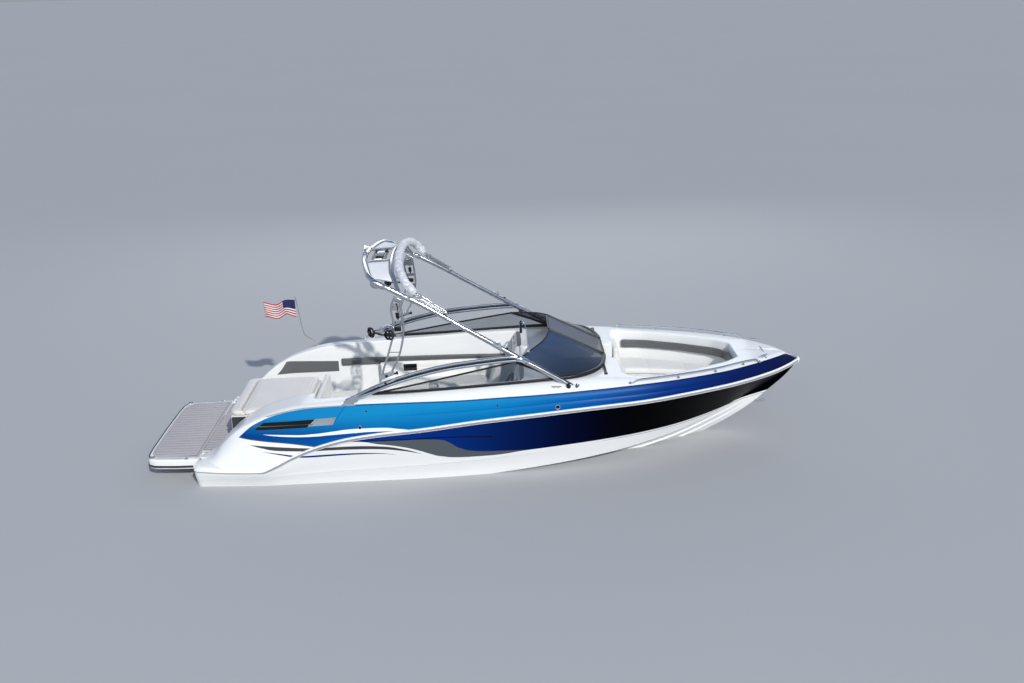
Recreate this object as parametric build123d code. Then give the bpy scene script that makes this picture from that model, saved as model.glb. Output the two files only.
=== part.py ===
from build123d import *
import os, math

os.makedirs("parts", exist_ok=True)

# A bow-rider speedboat afloat, in millimetres. +X forward, +Y to port, +Z up.
# The origin is on the waterline, on the centre line, at the foot of the transom.

# ---------------------------------------------------------------- main sizes
SEAM = 2.0                 # gap between hull and deck mouldings, behind the rub rail
SOLE_Z = 250.0             # top of the cockpit liner, under the floor panel
FLOOR_T = 12.0
FZ = SOLE_Z + FLOOR_T
PASSAGE_Z = 290.0          # floor of the port walk-through to the platform
BOW_WELL_Z = 450.0
BOW_SEAT_Z = 720.0         # liner under the bow cushions
CUSHION_T = 90.0
PLATFORM_TOP = 300.0
PAD = (-760.0, 440.0)      # starboard and port sides of the sun pad
TOWER_TUBE_R = 31.5
RAIL_R = 12.5
DOOR_HALF = 300.0          # half width of the walk-through

# ---------------------------------------------------------------- sections
# columns: x, keel_z, chine_y, chine_z, rub_y, rub_z, edge_y, edge_z, crown_y, crown_z
#  keel, chine and rub rail bound the hull; rub, deck edge and crown bound the deck
STATIONS = [
    (0,    -456, 1128, -73, 1232, 255,  970,  269,  930,  272),
    (350,  -456, 1142, -89, 1274, 240, 1054,  518, 1010,  524),
    (700,  -456, 1153, -100, 1308, 242, 1138, 813, 1080,  828),
    (1000, -456, 1156, -103, 1327, 280, 1187, 943, 1120,  962),
    (1450, -456, 1155, -100, 1345, 515, 1219, 1048, 1140, 1070),
    (2000, -456, 1151, -92, 1361, 672, 1245, 1076, 1130, 1110),
    (3000, -456, 1131, -55, 1363, 766, 1263, 1081, 1110, 1165),
    (4000, -456, 1065, 30,  1346, 875, 1268, 1114, 1095, 1215),
    (5000, -431, 930,  120, 1271, 934, 1198, 1137, 1010, 1235),
    (5800, -313, 718,  223, 1146, 961, 1076, 1154,  960, 1175),
    (6500, -70,  433,  365, 923,  983,  864, 1151,  760, 1172),
    (7100, 258,  117,  523, 650,  980,  571, 1154,  480, 1176),
    (7500, 575,  30,   695, 384,  990,  250, 1129,  190, 1160),
    (7720, 777,  12,   849, 186,  999,   70, 1103,   50, 1130),
    (7860, 954,  6,    975, 43,  1003,   20, 1085,   14, 1096),
]


def section(x, pts):
    return Wire.make_polygon([Vector(x, y, z) for y, z in pts], close=True)


def mirrored(half):
    """half: (y, z) points from the centre outwards, the first and last on the centre line."""
    return half + [(-y, z) for y, z in reversed(half[1:-1])]


def loft_rows(rows):
    return Solid.make_loft([section(x, mirrored(h)) for x, h in rows], True)


def box(x0, x1, y0, y1, z0, z1):
    return Solid.make_box(x1 - x0, y1 - y0, z1 - z0, Plane(Vector(x0, y0, z0)))


def plan_prism(pts, z0, z1):
    """A prism over a plan outline of (x, y) points."""
    w = Wire.make_polygon([Vector(x, y, z0) for x, y in pts], close=True)
    return Solid.extrude(Face(w), Vector(0, 0, z1 - z0))


def plan_both(half, z0, z1):
    return plan_prism(half + [(x, -y) for x, y in reversed(half)], z0, z1)


def side_prism(pts, y0, y1):
    """A prism over a side outline of (x, z) points."""
    w = Wire.make_polygon([Vector(x, y0, z) for x, z in pts], close=True)
    return Solid.extrude(Face(w), Vector(0, y1 - y0, 0))


def ball(p, r):
    return Solid.make_sphere(r, Plane(Vector(*p)), -90, 90, 360)


def rod(a, b, r):
    a, b = Vector(*a), Vector(*b)
    return Solid.make_cylinder(r, (b - a).length, Plane(origin=a, z_dir=(b - a).normalized()))


def one(s):
    """The single solid of a boolean's result."""
    return s if isinstance(s, Solid) else max(s.solids(), key=lambda q: q.volume)


def tube(pts, r):
    """Round bar along straight runs, with a ball at each bend."""
    pieces = [rod(pts[i], pts[i + 1], r) for i in range(len(pts) - 1)]
    pieces += [ball(p, r) for p in pts[1:-1]]
    return one(pieces[0].fuse(*pieces[1:])) if len(pieces) > 1 else pieces[0]


def flip(s):
    return s.mirror(Plane.XZ)


def both(s):
    return [s, flip(s)]


def save(name, *solids):
    flat = []
    for s in solids:
        flat.extend(s if isinstance(s, (list, tuple)) else [s])
    parts = []
    for s in flat:
        parts.extend(s.solids())
    if len(parts) == 1:
        export_step(parts[0], f"parts/{name}.step")
    else:
        export_step(Compound(parts), f"parts/{name}.step")


def pane(pts, t=5.0, inset=0.955):
    """A flat sheet through three or four corner points, drawn in from its frame."""
    v = [Vector(*q) for q in pts]
    c = Vector(0, 0, 0)
    for q in v:
        c = c + q * (1.0 / len(v))
    n = (v[1] - v[0]).cross(v[2] - v[0]).normalized()
    flat = []
    for q in v:
        q = c + (q - c) * inset
        flat.append(q - n * ((q - c).dot(n)))
    return Solid.extrude(Face(Wire.make_polygon(flat, close=True)), n * t)


def strip(outline, outer, inner, z0, z1):
    """A strip that follows a wall outline of (x, y), between two insets from it."""
    return plan_prism([(x, y - outer) for x, y in outline] + [(x, y - inner) for x, y in reversed(outline)], z0, z1)


def beyond(p, d, size=400):
    """A block that fills the space beyond the plane through p square to d."""
    pl = Plane(origin=p, z_dir=d)
    corners = [pl.from_local_coords(Vector(u, v, 0)) for u, v in ((-size, -size), (size, -size), (size, size), (-size, size))]
    return Solid.extrude(Face(Wire.make_polygon(corners, close=True)), d * size)


# ---------------------------------------------------------------- hull and deck
hull = loft_rows([(s[0], [(0, s[1]), (s[2], s[3]), (s[4], s[5]), (0, s[5])]) for s in STATIONS])
deck = loft_rows([(s[0], [(0, s[5] + SEAM), (s[4], s[5] + SEAM), (s[6], s[7]), (s[8], s[9]), (0, s[9])]) for s in STATIONS])

# plan outlines of the wells, columns x, y
COCKPIT_HALF = [(1440, 980), (2500, 1010), (3300, 1000), (4150, 950)]
BOW_HALF = [(5420, 900), (5900, 840), (6400, 640), (6800, 430), (7000, 250)]
BOW_WELL_HALF = [(5420, 330), (5900, 300), (6400, 190), (6640, 60)]
PASSAGE = [(-50, 430), (1500, 430), (1500, 985), (900, 1000), (420, 930), (-50, 880)]

CUTS = [
    plan_both(COCKPIT_HALF, SOLE_Z, 1600),
    box(4000, 5500, -DOOR_HALF, DOOR_HALF, SOLE_Z, 1600),
    plan_prism(PASSAGE, PASSAGE_Z, 1600),
    plan_both(BOW_HALF, BOW_SEAT_Z, 1600),
    plan_both(BOW_WELL_HALF, BOW_WELL_Z, 1600),
    box(-60, 1500, PAD[0], PAD[1], PLATFORM_TOP + 10, 1600),
    box(320, 1340, -440, 400, -260, 700),
    box(4100, 4760, -930, -350, SOLE_Z, 800),
    box(4100, 4760, 350, 930, SOLE_Z, 800),
]
# troughs in the hull moulding, which the dash bases and the bow seat base stand in
CONSOLE_HALF = [(4130, 962), (4760, 952), (5418, 800)]
TROUGH_HALF = [(5422, 780), (5900, 640), (6400, 380), (6660, 200)]
loft = hull
for c in CUTS:
    hull = hull - c
    deck = deck - c
hull = hull - plan_both(CONSOLE_HALF, SOLE_Z, 1600) - plan_both(TROUGH_HALF, BOW_WELL_Z - 50, 1600)
for y in (50, -110):
    deck = deck - box(7078, 7102, y, y + 60, 1140, 1400)
deck = deck - box(7110, 7380, -130, 130, 1020, 1400) - box(7090, 7400, -150, 150, 1144, 1400)
save("hull", hull)
save("deck", deck)

# moulded bases under the dash, hollow for the legs, and under the bow seats
base = plan_prism([(4152, DOOR_HALF), (4152, 950), (4760, 948), (5414, 797), (5414, DOOR_HALF)], SOLE_Z + 2, 1000)
base = one(one(one(base) & loft) - box(4100, 4760, 350, 930, SOLE_Z, 800))
save("console_bases", both(base))
seat = plan_both([(5426, 777), (5899, 638), (6398, 379), (6655, 201)], BOW_WELL_Z - 48, BOW_SEAT_Z)
seat = seat - plan_both(BOW_WELL_HALF, BOW_WELL_Z, 1600) - box(5400, 5500, -DOOR_HALF, DOOR_HALF, SOLE_Z, 1600)
save("bow_seat_base", one(seat))

# rub rail: a lofted bar over the seam, one each side
rail_rows = []
for s in STATIONS[:-1] + [(7868, 0, 0, 0, 34, 1003)]:
    x, ry, rz = s[0], s[4] + 1.5, s[5] + 1
    t = 12 if x < 900 else 24
    rail_rows.append(section(x, [(ry, rz - t), (ry + t, rz - t * 0.5), (ry + t, rz + t * 0.5), (ry, rz + t)]))
save("rub_rail", both(Solid.make_loft(rail_rows, True)))
save("stem_cap", box(7870, 7900, -30, 30, 955, 1030))

# ---------------------------------------------------------------- swim platform
PLAT_HALF = [(-3, 985), (-300, 980), (-560, 958), (-640, 915), (-680, 820), (-695, 600), (-700, 0)]
plat = plan_prism(PLAT_HALF + [(x, -y) for x, y in reversed(PLAT_HALF[:-1])], 160, PLATFORM_TOP)
plat = plat - plan_prism([(0, 820), (-540, 790), (-600, 560), (-600, -560), (-540, -790), (0, -820)], 100, 245)
save("swim_platform", plat)
PAD_HALF = [(-8, 915), (-520, 893), (-560, 870), (-622, 800), (-648, 700), (-656, 560), (-658, 0)]
save("platform_decking", plan_prism(PAD_HALF + [(x, -y) for x, y in reversed(PAD_HALF[:-1])], PLATFORM_TOP, PLATFORM_TOP + 6),
     box(4, 410, -735, 425, PLATFORM_TOP + 10, PLATFORM_TOP + 16), box(4, 1380, 455, 870, PASSAGE_Z, PASSAGE_Z + 6))
save("platform_cleats", [box(-632, -562, s * 900 - 20, s * 900 + 20, PLATFORM_TOP, PLATFORM_TOP + 22) for s in (-1, 1)])

# ---------------------------------------------------------------- floor and engine
FLOOR_HALF = [(1450, 970), (2500, 1000), (3300, 990), (4140, 940), (4140, 290), (5480, 290)]
save("cockpit_floor", plan_both(FLOOR_HALF, SOLE_Z, FZ))
save("bow_floor", plan_both([(5500, 315), (5900, 288), (6380, 182), (6600, 60)], BOW_WELL_Z, BOW_WELL_Z + FLOOR_T))
save("engine_block", box(520, 1290, -350, 350, -200, 560))

# engine box: low walls round the bay, which the clamshell lid closes on
engine_box = box(434, 1400, PAD[0] + 10, PAD[1] - 2, 310, 450) - box(500, 1330, -440, 400, 300, 500)
engine_box = one(engine_box.fuse(box(322, 500, -438, 398, 286, 310)))        # sill over the bay's aft end
save("engine_box", engine_box)
HATCH_SIDE = [(420, 456), (420, 770), (1395, 770), (1395, 456)]          # columns x, z
HATCH_INNER = [(446, 440), (446, 746), (1370, 746), (1370, 440)]
BOLSTER_SIDE = [(410, 771), (528, 771), (528, 850), (430, 850), (402, 832), (396, 800)]
PAD_SIDE = [(534, 771), (1390, 771), (1390, 850), (534, 850)]
lid = one(side_prism(HATCH_SIDE, PAD[0] + 12, PAD[1] - 2) - side_prism(HATCH_INNER, PAD[0] + 37, PAD[1] - 27))
lid = one(lid.fuse(rod((420, -620, 452), (420, -540, 452), 6.5), rod((420, 220, 452), (420, 300, 452), 6.5)))
save("engine_hatch_lid", lid)
save("sun_pad", side_prism(PAD_SIDE, PAD[0] + 12, PAD[1] - 2))
save("aft_bolster", side_prism(BOLSTER_SIDE, PAD[0] + 12, PAD[1] - 2))

# ---------------------------------------------------------------- cockpit furniture
# columns of each side outline: x, z
save("bench_base", side_prism([(1452, FZ), (1900, FZ), (1940, 520), (1452, 520)], -960, 425))
save("aft_bench", side_prism([(1560, 521), (1980, 521), (1980, 640), (1560, 620)], -938, 425),
     side_prism([(1452, 521), (1555, 521), (1530, 890), (1452, 890)], -932, 425))
save("port_lounge_base", box(2150, 3700, 480, 930, FZ, 500))
save("port_lounge", box(2150, 3700, 470, 840, 501, 620), box(2150, 3700, 843, 925, 501, 850),
     side_prism([(3705, 501), (3850, 501), (3900, 860), (3790, 860)], 480, 900))
COAMING = [(1560, 983), (2500, 1010), (3300, 1000), (4000, 959)]
save("coaming_pads", both(strip(COAMING, 4, 42, 770, 900)))
post = rod((3200, -600, FZ), (3200, -600, FZ + 300), 60).fuse(rod((3200, -600, FZ), (3200, -600, FZ + 20), 170), box(3050, 3380, -760, -440, FZ + 300, FZ + 330))
save("helm_pedestal", post)
SEAT_SIDE = [(2880, FZ + 331), (3480, FZ + 331), (3490, FZ + 460), (3045, FZ + 450), (3060, FZ + 820), (2950, FZ + 820)]
save("helm_seat", side_prism(SEAT_SIDE, -850, -350))
# dash pods on the forward face of the cockpit
POD_SIDE = [(4070, 802), (4148, 802), (4148, 1205), (4120, 1205), (4050, 1040)]
save("helm_console", side_prism(POD_SIDE, -930, -320))
save("port_console", side_prism(POD_SIDE, 320, 930))
FACE = Vector(-0.9205, 0, 0.3906)          # outward normal of the upper dash face
save("gauges", [Solid.make_cylinder(40, 12, Plane(origin=Vector(4092, y, 1140) + FACE * 1.5, z_dir=FACE)) for y in (-850, -745)])
save("throttle", box(3930, 4049, -900, -875, 820, 850).fuse(box(3930, 3955, -900, -875, 820, 980), rod((3942, -905, 985), (3942, -865, 985), 18)))

# ---------------------------------------------------------------- bow cockpit
BOW_SEAT = [(5440, 885), (5900, 826), (6400, 628), (6790, 420), (6980, 236)]
WELL_CLEAR = [(5400, 345), (5910, 315), (6415, 202), (6665, 60)]
save("bow_cushions", plan_both(BOW_SEAT, BOW_SEAT_Z + 1, BOW_SEAT_Z + CUSHION_T) - plan_both(WELL_CLEAR, 600, 1000))
save("bow_backrests", both(side_prism([(5430, 812), (5560, 812), (5500, 1130), (5430, 1130)], 340, 830)))
BOW_WALL = [(5600, 877), (5900, 838), (6400, 640), (6800, 429), (6960, 282)]
save("bow_side_pads", both(strip(BOW_WALL, 5, 45, 905, 1085)), box(6958, 6994, -226, 226, 905, 1085))
save("anchor_hatch", one(box(7096, 7394, -144, 144, 1149.5, 1161).fuse(rod((7096, -104, 1161), (7096, -56, 1161), 5), rod((7096, 56, 1161), (7096, 104, 1161), 5))))

# ---------------------------------------------------------------- windshield
FR = 14.0
BASE_LINE = [(2300, -1105, 1160), (3400, -1100, 1198), (4590, -1052, 1254), (4830, -1002, 1262), (5060, -840, 1268), (5190, -600, 1270), (5235, -330, 1272)]
TOP_LINE = [(4050, -1000, 1470), (4250, -800, 1535), (4440, -600, 1590), (4520, -330, 1640)]
bars = [rod(BASE_LINE[i], BASE_LINE[i + 1], FR) for i in range(6)] + [rod(TOP_LINE[i], TOP_LINE[i + 1], FR) for i in range(3)]
bars += [rod(BASE_LINE[a], TOP_LINE[b], FR) for a, b in ((0, 0), (2, 0), (6, 3))]
bars += [ball(p, FR + 0.5) for p in BASE_LINE + TOP_LINE]
frame = one(bars[0].fuse(*bars[1:]) - deck)
save("windshield_frame", both(frame))
PANES = [
    ((BASE_LINE[0], BASE_LINE[2], TOP_LINE[0]), 0.90),
    ((BASE_LINE[2], BASE_LINE[4], TOP_LINE[1], TOP_LINE[0]), 0.93),
    ((BASE_LINE[4], BASE_LINE[6], TOP_LINE[3], TOP_LINE[1]), 0.93),
]
save("windshield_glass", [both(one(pane(p, 5.0, k) - frame)) for p, k in PANES][0],
     [both(one(pane(p, 5.0, k) - frame)) for p, k in PANES][1], [both(one(pane(p, 5.0, k) - frame)) for p, k in PANES][2])

# opening centre panel
DOOR_W = 283.0
DOOR = [(5240, -DOOR_W, 1282), (5240, DOOR_W, 1282), (4524, DOOR_W, 1646), (4524, -DOOR_W, 1646)]
door = one(tube(DOOR + [DOOR[0]], 11.0).fuse(ball(DOOR[0], 11.0)))
slope = (Vector(*DOOR[2]) - Vector(*DOOR[1])).normalized()
for d in (150, 590):                # hinge barrels on the port edge
    p = Vector(*DOOR[1]) + Vector(0, 15, 0) + slope * d
    door = one(door.fuse(rod(tuple(p), tuple(p + slope * 60), 6)))
save("windshield_door_frame", door)
save("windshield_door_glass", one(pane(DOOR, 5.0, 0.97) - door))
# mirror on its bracket
mirror_rod = tube([(4236, -812, 1545), (4218, -720, 1860), (4172, -560, 1850)], 7)
save("rear_view_mirror", one(one(mirror_rod.fuse(box(4140, 4172, -620, -420, 1700, 1880))) - frame))

# ---------------------------------------------------------------- tower
FOOT = (4800, -1120, 1150)
ELBOW = (4185, -1085, 1512)
FOLD = (3853, -1062, 1712)          # the leg parts here
leg_dir = (Vector(*FOLD) - Vector(*ELBOW)).normalized()
up_dir = Vector(-leg_dir.Z, 0, leg_dir.X).normalized() * -1.0
hinge = Vector(*FOLD) + up_dir * (TOWER_TUBE_R + 18)
HINGE = (round(hinge.X, 2), round(hinge.Z, 2))
print("tower hinge x, z:", HINGE, "axis +Y")


def ear(y0, t, d):
    """A hinge ear from the pin down to the tube that runs along d."""
    c = Vector(hinge.X, y0, hinge.Z)
    a = c + d * 50 - up_dir * 30
    b = c + d * 12 - up_dir * 30
    pts = [c + up_dir * 12, c + up_dir * 5 + d * 13, a, b, c - up_dir * 12]
    s = Solid.extrude(Face(Wire.make_polygon(pts, close=True)), Vector(0, t, 0))
    return s.fuse(Solid.make_cylinder(13, t, Plane(origin=c, z_dir=Vector(0, 1, 0))))


low = tube([FOOT, ELBOW, FOLD], TOWER_TUBE_R) - beyond(Vector(*FOLD) - leg_dir * 3.0, leg_dir)
low = one(low).fuse(ear(FOLD[1] - 24, 9, leg_dir * -1), ear(FOLD[1] + 15, 9, leg_dir * -1), rod((hinge.X, FOLD[1] - 24, hinge.Z), (hinge.X, FOLD[1] + 24, hinge.Z), 8), box(4730, 4880, -1165, -1075, 1150, 1190))
low = one(one(low) - deck)
low = one(low - frame)
save("tower_legs", both(low))

BRACE = [(1960, -1218, 1108), (2540, -1200, 1335), (3200, -1150, 1484), (4060, -1100, 1554), (4170, -1088, 1548)]   # columns x, y, z
BRACE_W, BRACE_H = 20.0, 46.0
brace = Solid.make_loft([section(x, [(y - BRACE_W, z - BRACE_H), (y + BRACE_W, z - BRACE_H), (y + BRACE_W, z + BRACE_H), (y - BRACE_W, z + BRACE_H)]) for x, y, z in BRACE], True)
brace = one(brace.fuse(box(1935, 2060, -1245, -1188, 1080, 1112)) - deck)
brace = one(brace - low)
save("rear_braces", both(brace))

# the folding part: the main hoop, which starts as the two legs, and a lighter hoop ahead of it, columns x, y, z
LEG_UP = [FOLD, (3410, -1040, 1982), (2963, -1010, 2254), (2439, -982, 2530), (2345, -920, 2588), (2292, -725, 2612), (2207, -280, 2628), (2194, 0, 2631)]
leg_up_dir = (Vector(*LEG_UP[1]) - Vector(*FOLD)).normalized()
arch = [rod(LEG_UP[i], LEG_UP[i + 1], TOWER_TUBE_R) for i in range(7)] + [ball(p, TOWER_TUBE_R) for p in LEG_UP[1:7]]
half = one(arch[0].fuse(*arch[1:]))
half = one(half - beyond(Vector(*FOLD) + leg_up_dir * 3.0, leg_up_dir * -1))
half = one(half.fuse(one(ear(FOLD[1] - 8, 16, leg_up_dir)) - rod((hinge.X, FOLD[1] - 30, hinge.Z), (hinge.X, FOLD[1] + 30, hinge.Z), 8.06)))
half = one(half - rod((hinge.X, FOLD[1] - 30, hinge.Z), (hinge.X, FOLD[1] + 30, hinge.Z), 8.06))
main_arch = one(half.fuse(flip(half), ball(LEG_UP[7], TOWER_TUBE_R)))
save("tower_arch", main_arch)
FRONT = [(2764, -1003, 2360), (2695, -980, 2405), (2642, -880, 2530), (2603, -750, 2588), (2567, -400, 2638), (2552, 0, 2650)]
front = [rod(FRONT[i], FRONT[i + 1], 25) for i in range(5)] + [ball(p, 25) for p in FRONT[1:5]]
front = one(front[0].fuse(*front[1:]))
front = one(front.fuse(flip(front), ball(FRONT[5], 25)))
front = one(front - main_arch)
save("front_hoop", front)
cross = []
for y in (-320, 320):
    cross.append(one(one(rod((2213, y, 2626), (2561, y, 2640), 19) - main_arch) - front))
save("hoop_crossbars", cross)
roof = pane([(2262, -370, 2606), (2540, -370, 2616), (2592, -735, 2574), (2330, -850, 2578)], 6.0, 0.97)
roof = one(one(roof - main_arch) - front)
save("tower_gussets", both(roof))

# tow pin on top of the main hoop
save("tow_pin", one(rod((2195, 0, 2631), (2195, 0, 2690), 28).fuse(rod((2195, 0, 2690), (2195, 0, 2730), 16)) - main_arch))

# bowed struts from the hoop down to a latch on each brace
STRUT_AFT = [(2640, -1014, 2352), (2588, -1033, 2235), (2606, -1060, 2090), (2612, -1085, 1948), (2575, -1110, 1830), (2511, -1156, 1630), (2438, -1197, 1412)]
STRUT_FWD = [(2690, -1014, 2347), (2714, -1045, 2190), (2727, -1075, 1998), (2704, -1113, 1816), (2638, -1156, 1622), (2548, -1197, 1450)]
parts = [tube(STRUT_AFT, 13), tube(STRUT_FWD, 13)]
for x0, x1, y, z0, z1 in ((2590, 2714, -1044, 2190, 2290), (2606, 2725, -1064, 2055, 2095), (2608, 2728, -1085, 1895, 1930)):
    parts.append(box(x0, x1, y - 5, y + 5, z0, z1))
parts.append(pane([(2400, -1220, 1352), (2600, -1220, 1425), (2600, -1170, 1425), (2400, -1170, 1352)], 60.0, 1.0))
strut = one(parts[0].fuse(*parts[1:]) - main_arch)
strut = one(strut - front)
save("tower_struts", both(strut))

# board racks on the struts: two prongs each, with end knobs
rack = rod((2600, -1085, 1985), (2337, -1110, 1961), 10).fuse(rod((2600, -1090, 1985), (2566, -1215, 1956), 10), rod((2600, -1085, 1950), (2600, -1085, 2010), 16),
                                                              rod((2318, -1128, 1956), (2356, -1092, 1966), 68), rod((2566, -1238, 1956), (2566, -1192, 1956), 68))
rack = one(one(rack) - strut)
save("board_racks", both(rack))

# folded sun top in its boot, and its two pairs of stays
BOOT = [(2868, -966, 2392), (2777, -970, 2517), (2693, -770, 2620), (2652, -400, 2672), (2646, 0, 2692)]
boot = [rod(BOOT[i], BOOT[i + 1], 62) for i in range(4)] + [ball(p, 62) for p in BOOT[:4]]
boot = one(boot[0].fuse(*boot[1:]))
boot = one(boot.fuse(flip(boot), ball(BOOT[4], 62)))
boot = one(boot - front)
boot = one(boot - main_arch)
save("sun_top_boot", boot)
stays = []
for dy in (-20, 20):
    stays.append(rod((2890, -975 + dy, 2378), (3236, -1006 + dy, 2150), 8))
stays.append(box(3205, 3262, -1040, -972, 2108, 2165))
stay = one(stays[0].fuse(*stays[1:]) - main_arch)
stay = one(stay - boot)
save("sun_top_stays", both(stay))

# ---------------------------------------------------------------- deck fittings
RAIL = [(5480, -1085, 1140), (5560, -1068, 1205), (6100, -945, 1210), (6600, -780, 1210), (7000, -572, 1206), (7180, -485, 1200), (7240, -455, 1140)]
rail = [rod(RAIL[i], RAIL[i + 1], RAIL_R) for i in range(6)] + [ball(p, RAIL_R + 0.6) for p in RAIL[1:6]]
rail += [rod((x, y, 1130), (x, y, 1205), 9) for x, y in ((6100, -945), (6600, -780), (7000, -572))]
rail = one(rail[0].fuse(*rail[1:]) - deck)
save("bow_rails", both(rail))
cleats = []
for x, y, z in ((7330, 330, 1150), (4560, 1168, 1148)):
    c = rod((x - 70, y, z + 42), (x + 70, y, z + 42), 9).fuse(box(x - 30, x - 14, y - 9, y + 9, z - 20, z + 42), box(x + 14, x + 30, y - 9, y + 9, z - 20, z + 42))
    c = one(one(c) - deck)
    cleats += both(c)
save("cleats", cleats)
# towing eye on the stem and two eyes on the transom
EYE_R = 14.0
eye = rod((7440, -6, 420), (7440, 6, 420), 30).fuse(box(7380, 7440, -6, 6, 405, 460))
eye = one(one(eye) - rod((7440, -20, 420), (7440, 20, 420), EYE_R))
save("bow_eye", one(eye - hull))
seye = rod((-34, 844, 40), (-34, 856, 40), 30).fuse(box(-34, -1, 844, 856, 12, 68), box(-8, -1, 820, 880, 0, 80))
seye = one(one(seye) - rod((-34, 830, 40), (-34, 870, 40), EYE_R))
save("stern_eyes", both(seye))
# flag staff and flag on the port quarter
staff = tube([(1252, 1150, 1010), (1252, 1150, 1080), (1098, 1100, 1200), (1013, 1100, 1790)], 7)
staff = one(staff.fuse(rod((1252, 1150, 1010), (1252, 1150, 1055), 20)) - deck)
save("flag_staff", staff)
save("flag", box(545, 1003, 1082, 1118, 1470, 1768))
# side fittings: lamp and skin fittings on both sides, columns x, z, radius
fit = []
for x, z, r in ((4565, 985, 32), (2141, 820, 26), (3832, 1027, 14), (2225, 1004, 16)):
    f = one(rod((x, -1240 if z > 900 else -1290, z), (x, -1330 if z < 900 else -1312, z), r) - deck)
    fit += both(f)
save("side_fittings", fit)

# ---------------------------------------------------------------- stern drive
PX, PZ = -130.0, -140.0             # steering axis x, tilt axis z
mount = box(-15, 0, -180, 180, -340, 60)
mount = mount.fuse(box(PX, -15, -45, 45, PZ + 110, PZ + 140), box(PX, -15, -45, 45, PZ - 165, PZ - 135),
                   rod((PX, 0, PZ + 110), (PX, 0, PZ + 140), 45), rod((PX, 0, PZ - 165), (PX, 0, PZ - 135), 45))
mount = one(mount) - rod((PX, 0, PZ - 200), (PX, 0, PZ + 200), 12.05)
save("drive_mount", one(mount))
gimbal = box(PX - 45, PX + 45, -60, 60, PZ - 45, PZ + 45).fuse(rod((PX, 0, PZ - 165), (PX, 0, PZ + 140), 12), rod((PX, -100, PZ), (PX, 100, PZ), 14),
                                                                rod((PX, 0, PZ - 129), (PX, 0, PZ + 104), 22))
save("drive_gimbal", one(gimbal))
LEG_TOP = [(PX - 80, PZ + 20), (PX - 80, PZ - 90), (PX - 110, PZ - 110), (PX - 120, -455), (PX - 420, -455), (PX - 400, -300), (PX - 330, PZ - 60), (PX - 300, PZ + 15)]
drive = side_prism([(PX - 80, PZ + 18), (PX - 80, PZ - 60), (PX - 130, PZ - 110), (PX - 300, PZ - 110), (PX - 310, PZ - 10), (PX - 290, PZ + 18)], -98, 98)
drive = one(drive.fuse(side_prism([(PX - 130, PZ - 100), (PX - 120, -460), (PX - 400, -460), (PX - 300, PZ - 100)], -48, 48),
                   side_prism([(PX - 85, -460), (PX - 85, -474), (PX - 520, -474), (PX - 520, -460)], -120, 120),
                   side_prism([(PX - 125, -470), (PX - 135, -640), (PX - 390, -640), (PX - 350, -470)], -30, 30)))
TORP = [(PX - 90, 0), (PX - 110, 30), (PX - 170, 56), (PX - 380, 58), (PX - 400, 54)]
torp = Solid.revolve(Face(Wire.make_polygon([Vector(x, 0, r - 660) for x, r in TORP] + [Vector(PX - 400, 0, -660)], close=True)), 360, Axis(Vector(0, 0, -660), Vector(1, 0, 0)))
skeg = side_prism([(PX - 170, -700), (PX - 215, -890), (PX - 330, -890), (PX - 365, -700)], -9, 9)
drive = one(drive.fuse(torp, skeg, rod((PX - 400, 0, -660), (PX - 520, 0, -660), 14)))
for s in (-1, 1):
    y0, y1 = (66, 98) if s > 0 else (-98, -66)
    cheek = box(PX - 90, PX, y0, y1, PZ - 32, PZ + 18).fuse(rod((PX, y0, PZ), (PX, y1, PZ), 32))
    drive = one(drive.fuse(one(cheek)))
drive = one(drive - rod((PX, -110, PZ), (PX, 110, PZ), 14.05))
save("drive_leg", drive)

# propeller: hub and four blades
hub = rod((PX - 512, 0, -660), (PX - 406, 0, -660), 52)
hub = one(hub - rod((PX - 530, 0, -660), (PX - 400, 0, -660), 14.05))
blades = []
for k in range(4):
    w = [Vector(PX - 480, -18, -660 + 40), Vector(PX - 430, 30, -660 + 40), Vector(PX - 420, 80, -660 + 120), Vector(PX - 450, 40, -660 + 185), Vector(PX - 490, -30, -660 + 175), Vector(PX - 500, -55, -660 + 110)]
    n = Vector(0.72, -0.69, 0).normalized()
    c0 = Vector(PX - 460, 0, -660 + 100)
    w = [q - n * ((q - c0).dot(n)) for q in w]
    b = Solid.extrude(Face(Wire.make_polygon(w, close=True)), n * 6)
    blades.append(b.rotate(Axis(Vector(0, 0, -660), Vector(1, 0, 0)), 90 * k))
prop = one(hub.fuse(*blades) - rod((PX - 560, 0, -660), (PX - 380, 0, -660), 14.05))
save("propeller", prop)

# ---------------------------------------------------------------- steering wheel
WC = Vector(3965, -620, 1010)
WA = Vector(0.906, 0, -0.423)       # wheel axis, pointing forward and down into the dash
rim = Solid.make_torus(170, 15, Plane(origin=WC, z_dir=WA))
wp = Plane(origin=WC, z_dir=WA)
spokes = [rod(tuple(WC + WA * 12), tuple(wp.from_local_coords(Vector(168 * math.cos(a), 168 * math.sin(a), 0))), 9) for a in (math.pi / 2, math.pi * 7 / 6, math.pi * 11 / 6)]
hubw = Solid.make_cylinder(42, 30, Plane(origin=WC - WA * 8, z_dir=WA))
col = Solid.make_cylinder(18, 64, Plane(origin=WC + WA * 10, z_dir=WA))
save("steering_wheel", one(rim.fuse(hubw, col, *spokes)))
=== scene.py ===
import bpy, bmesh, math, random
import numpy as np
from mathutils import Vector, Matrix, noise
from mathutils.geometry import delaunay_2d_cdt


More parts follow.
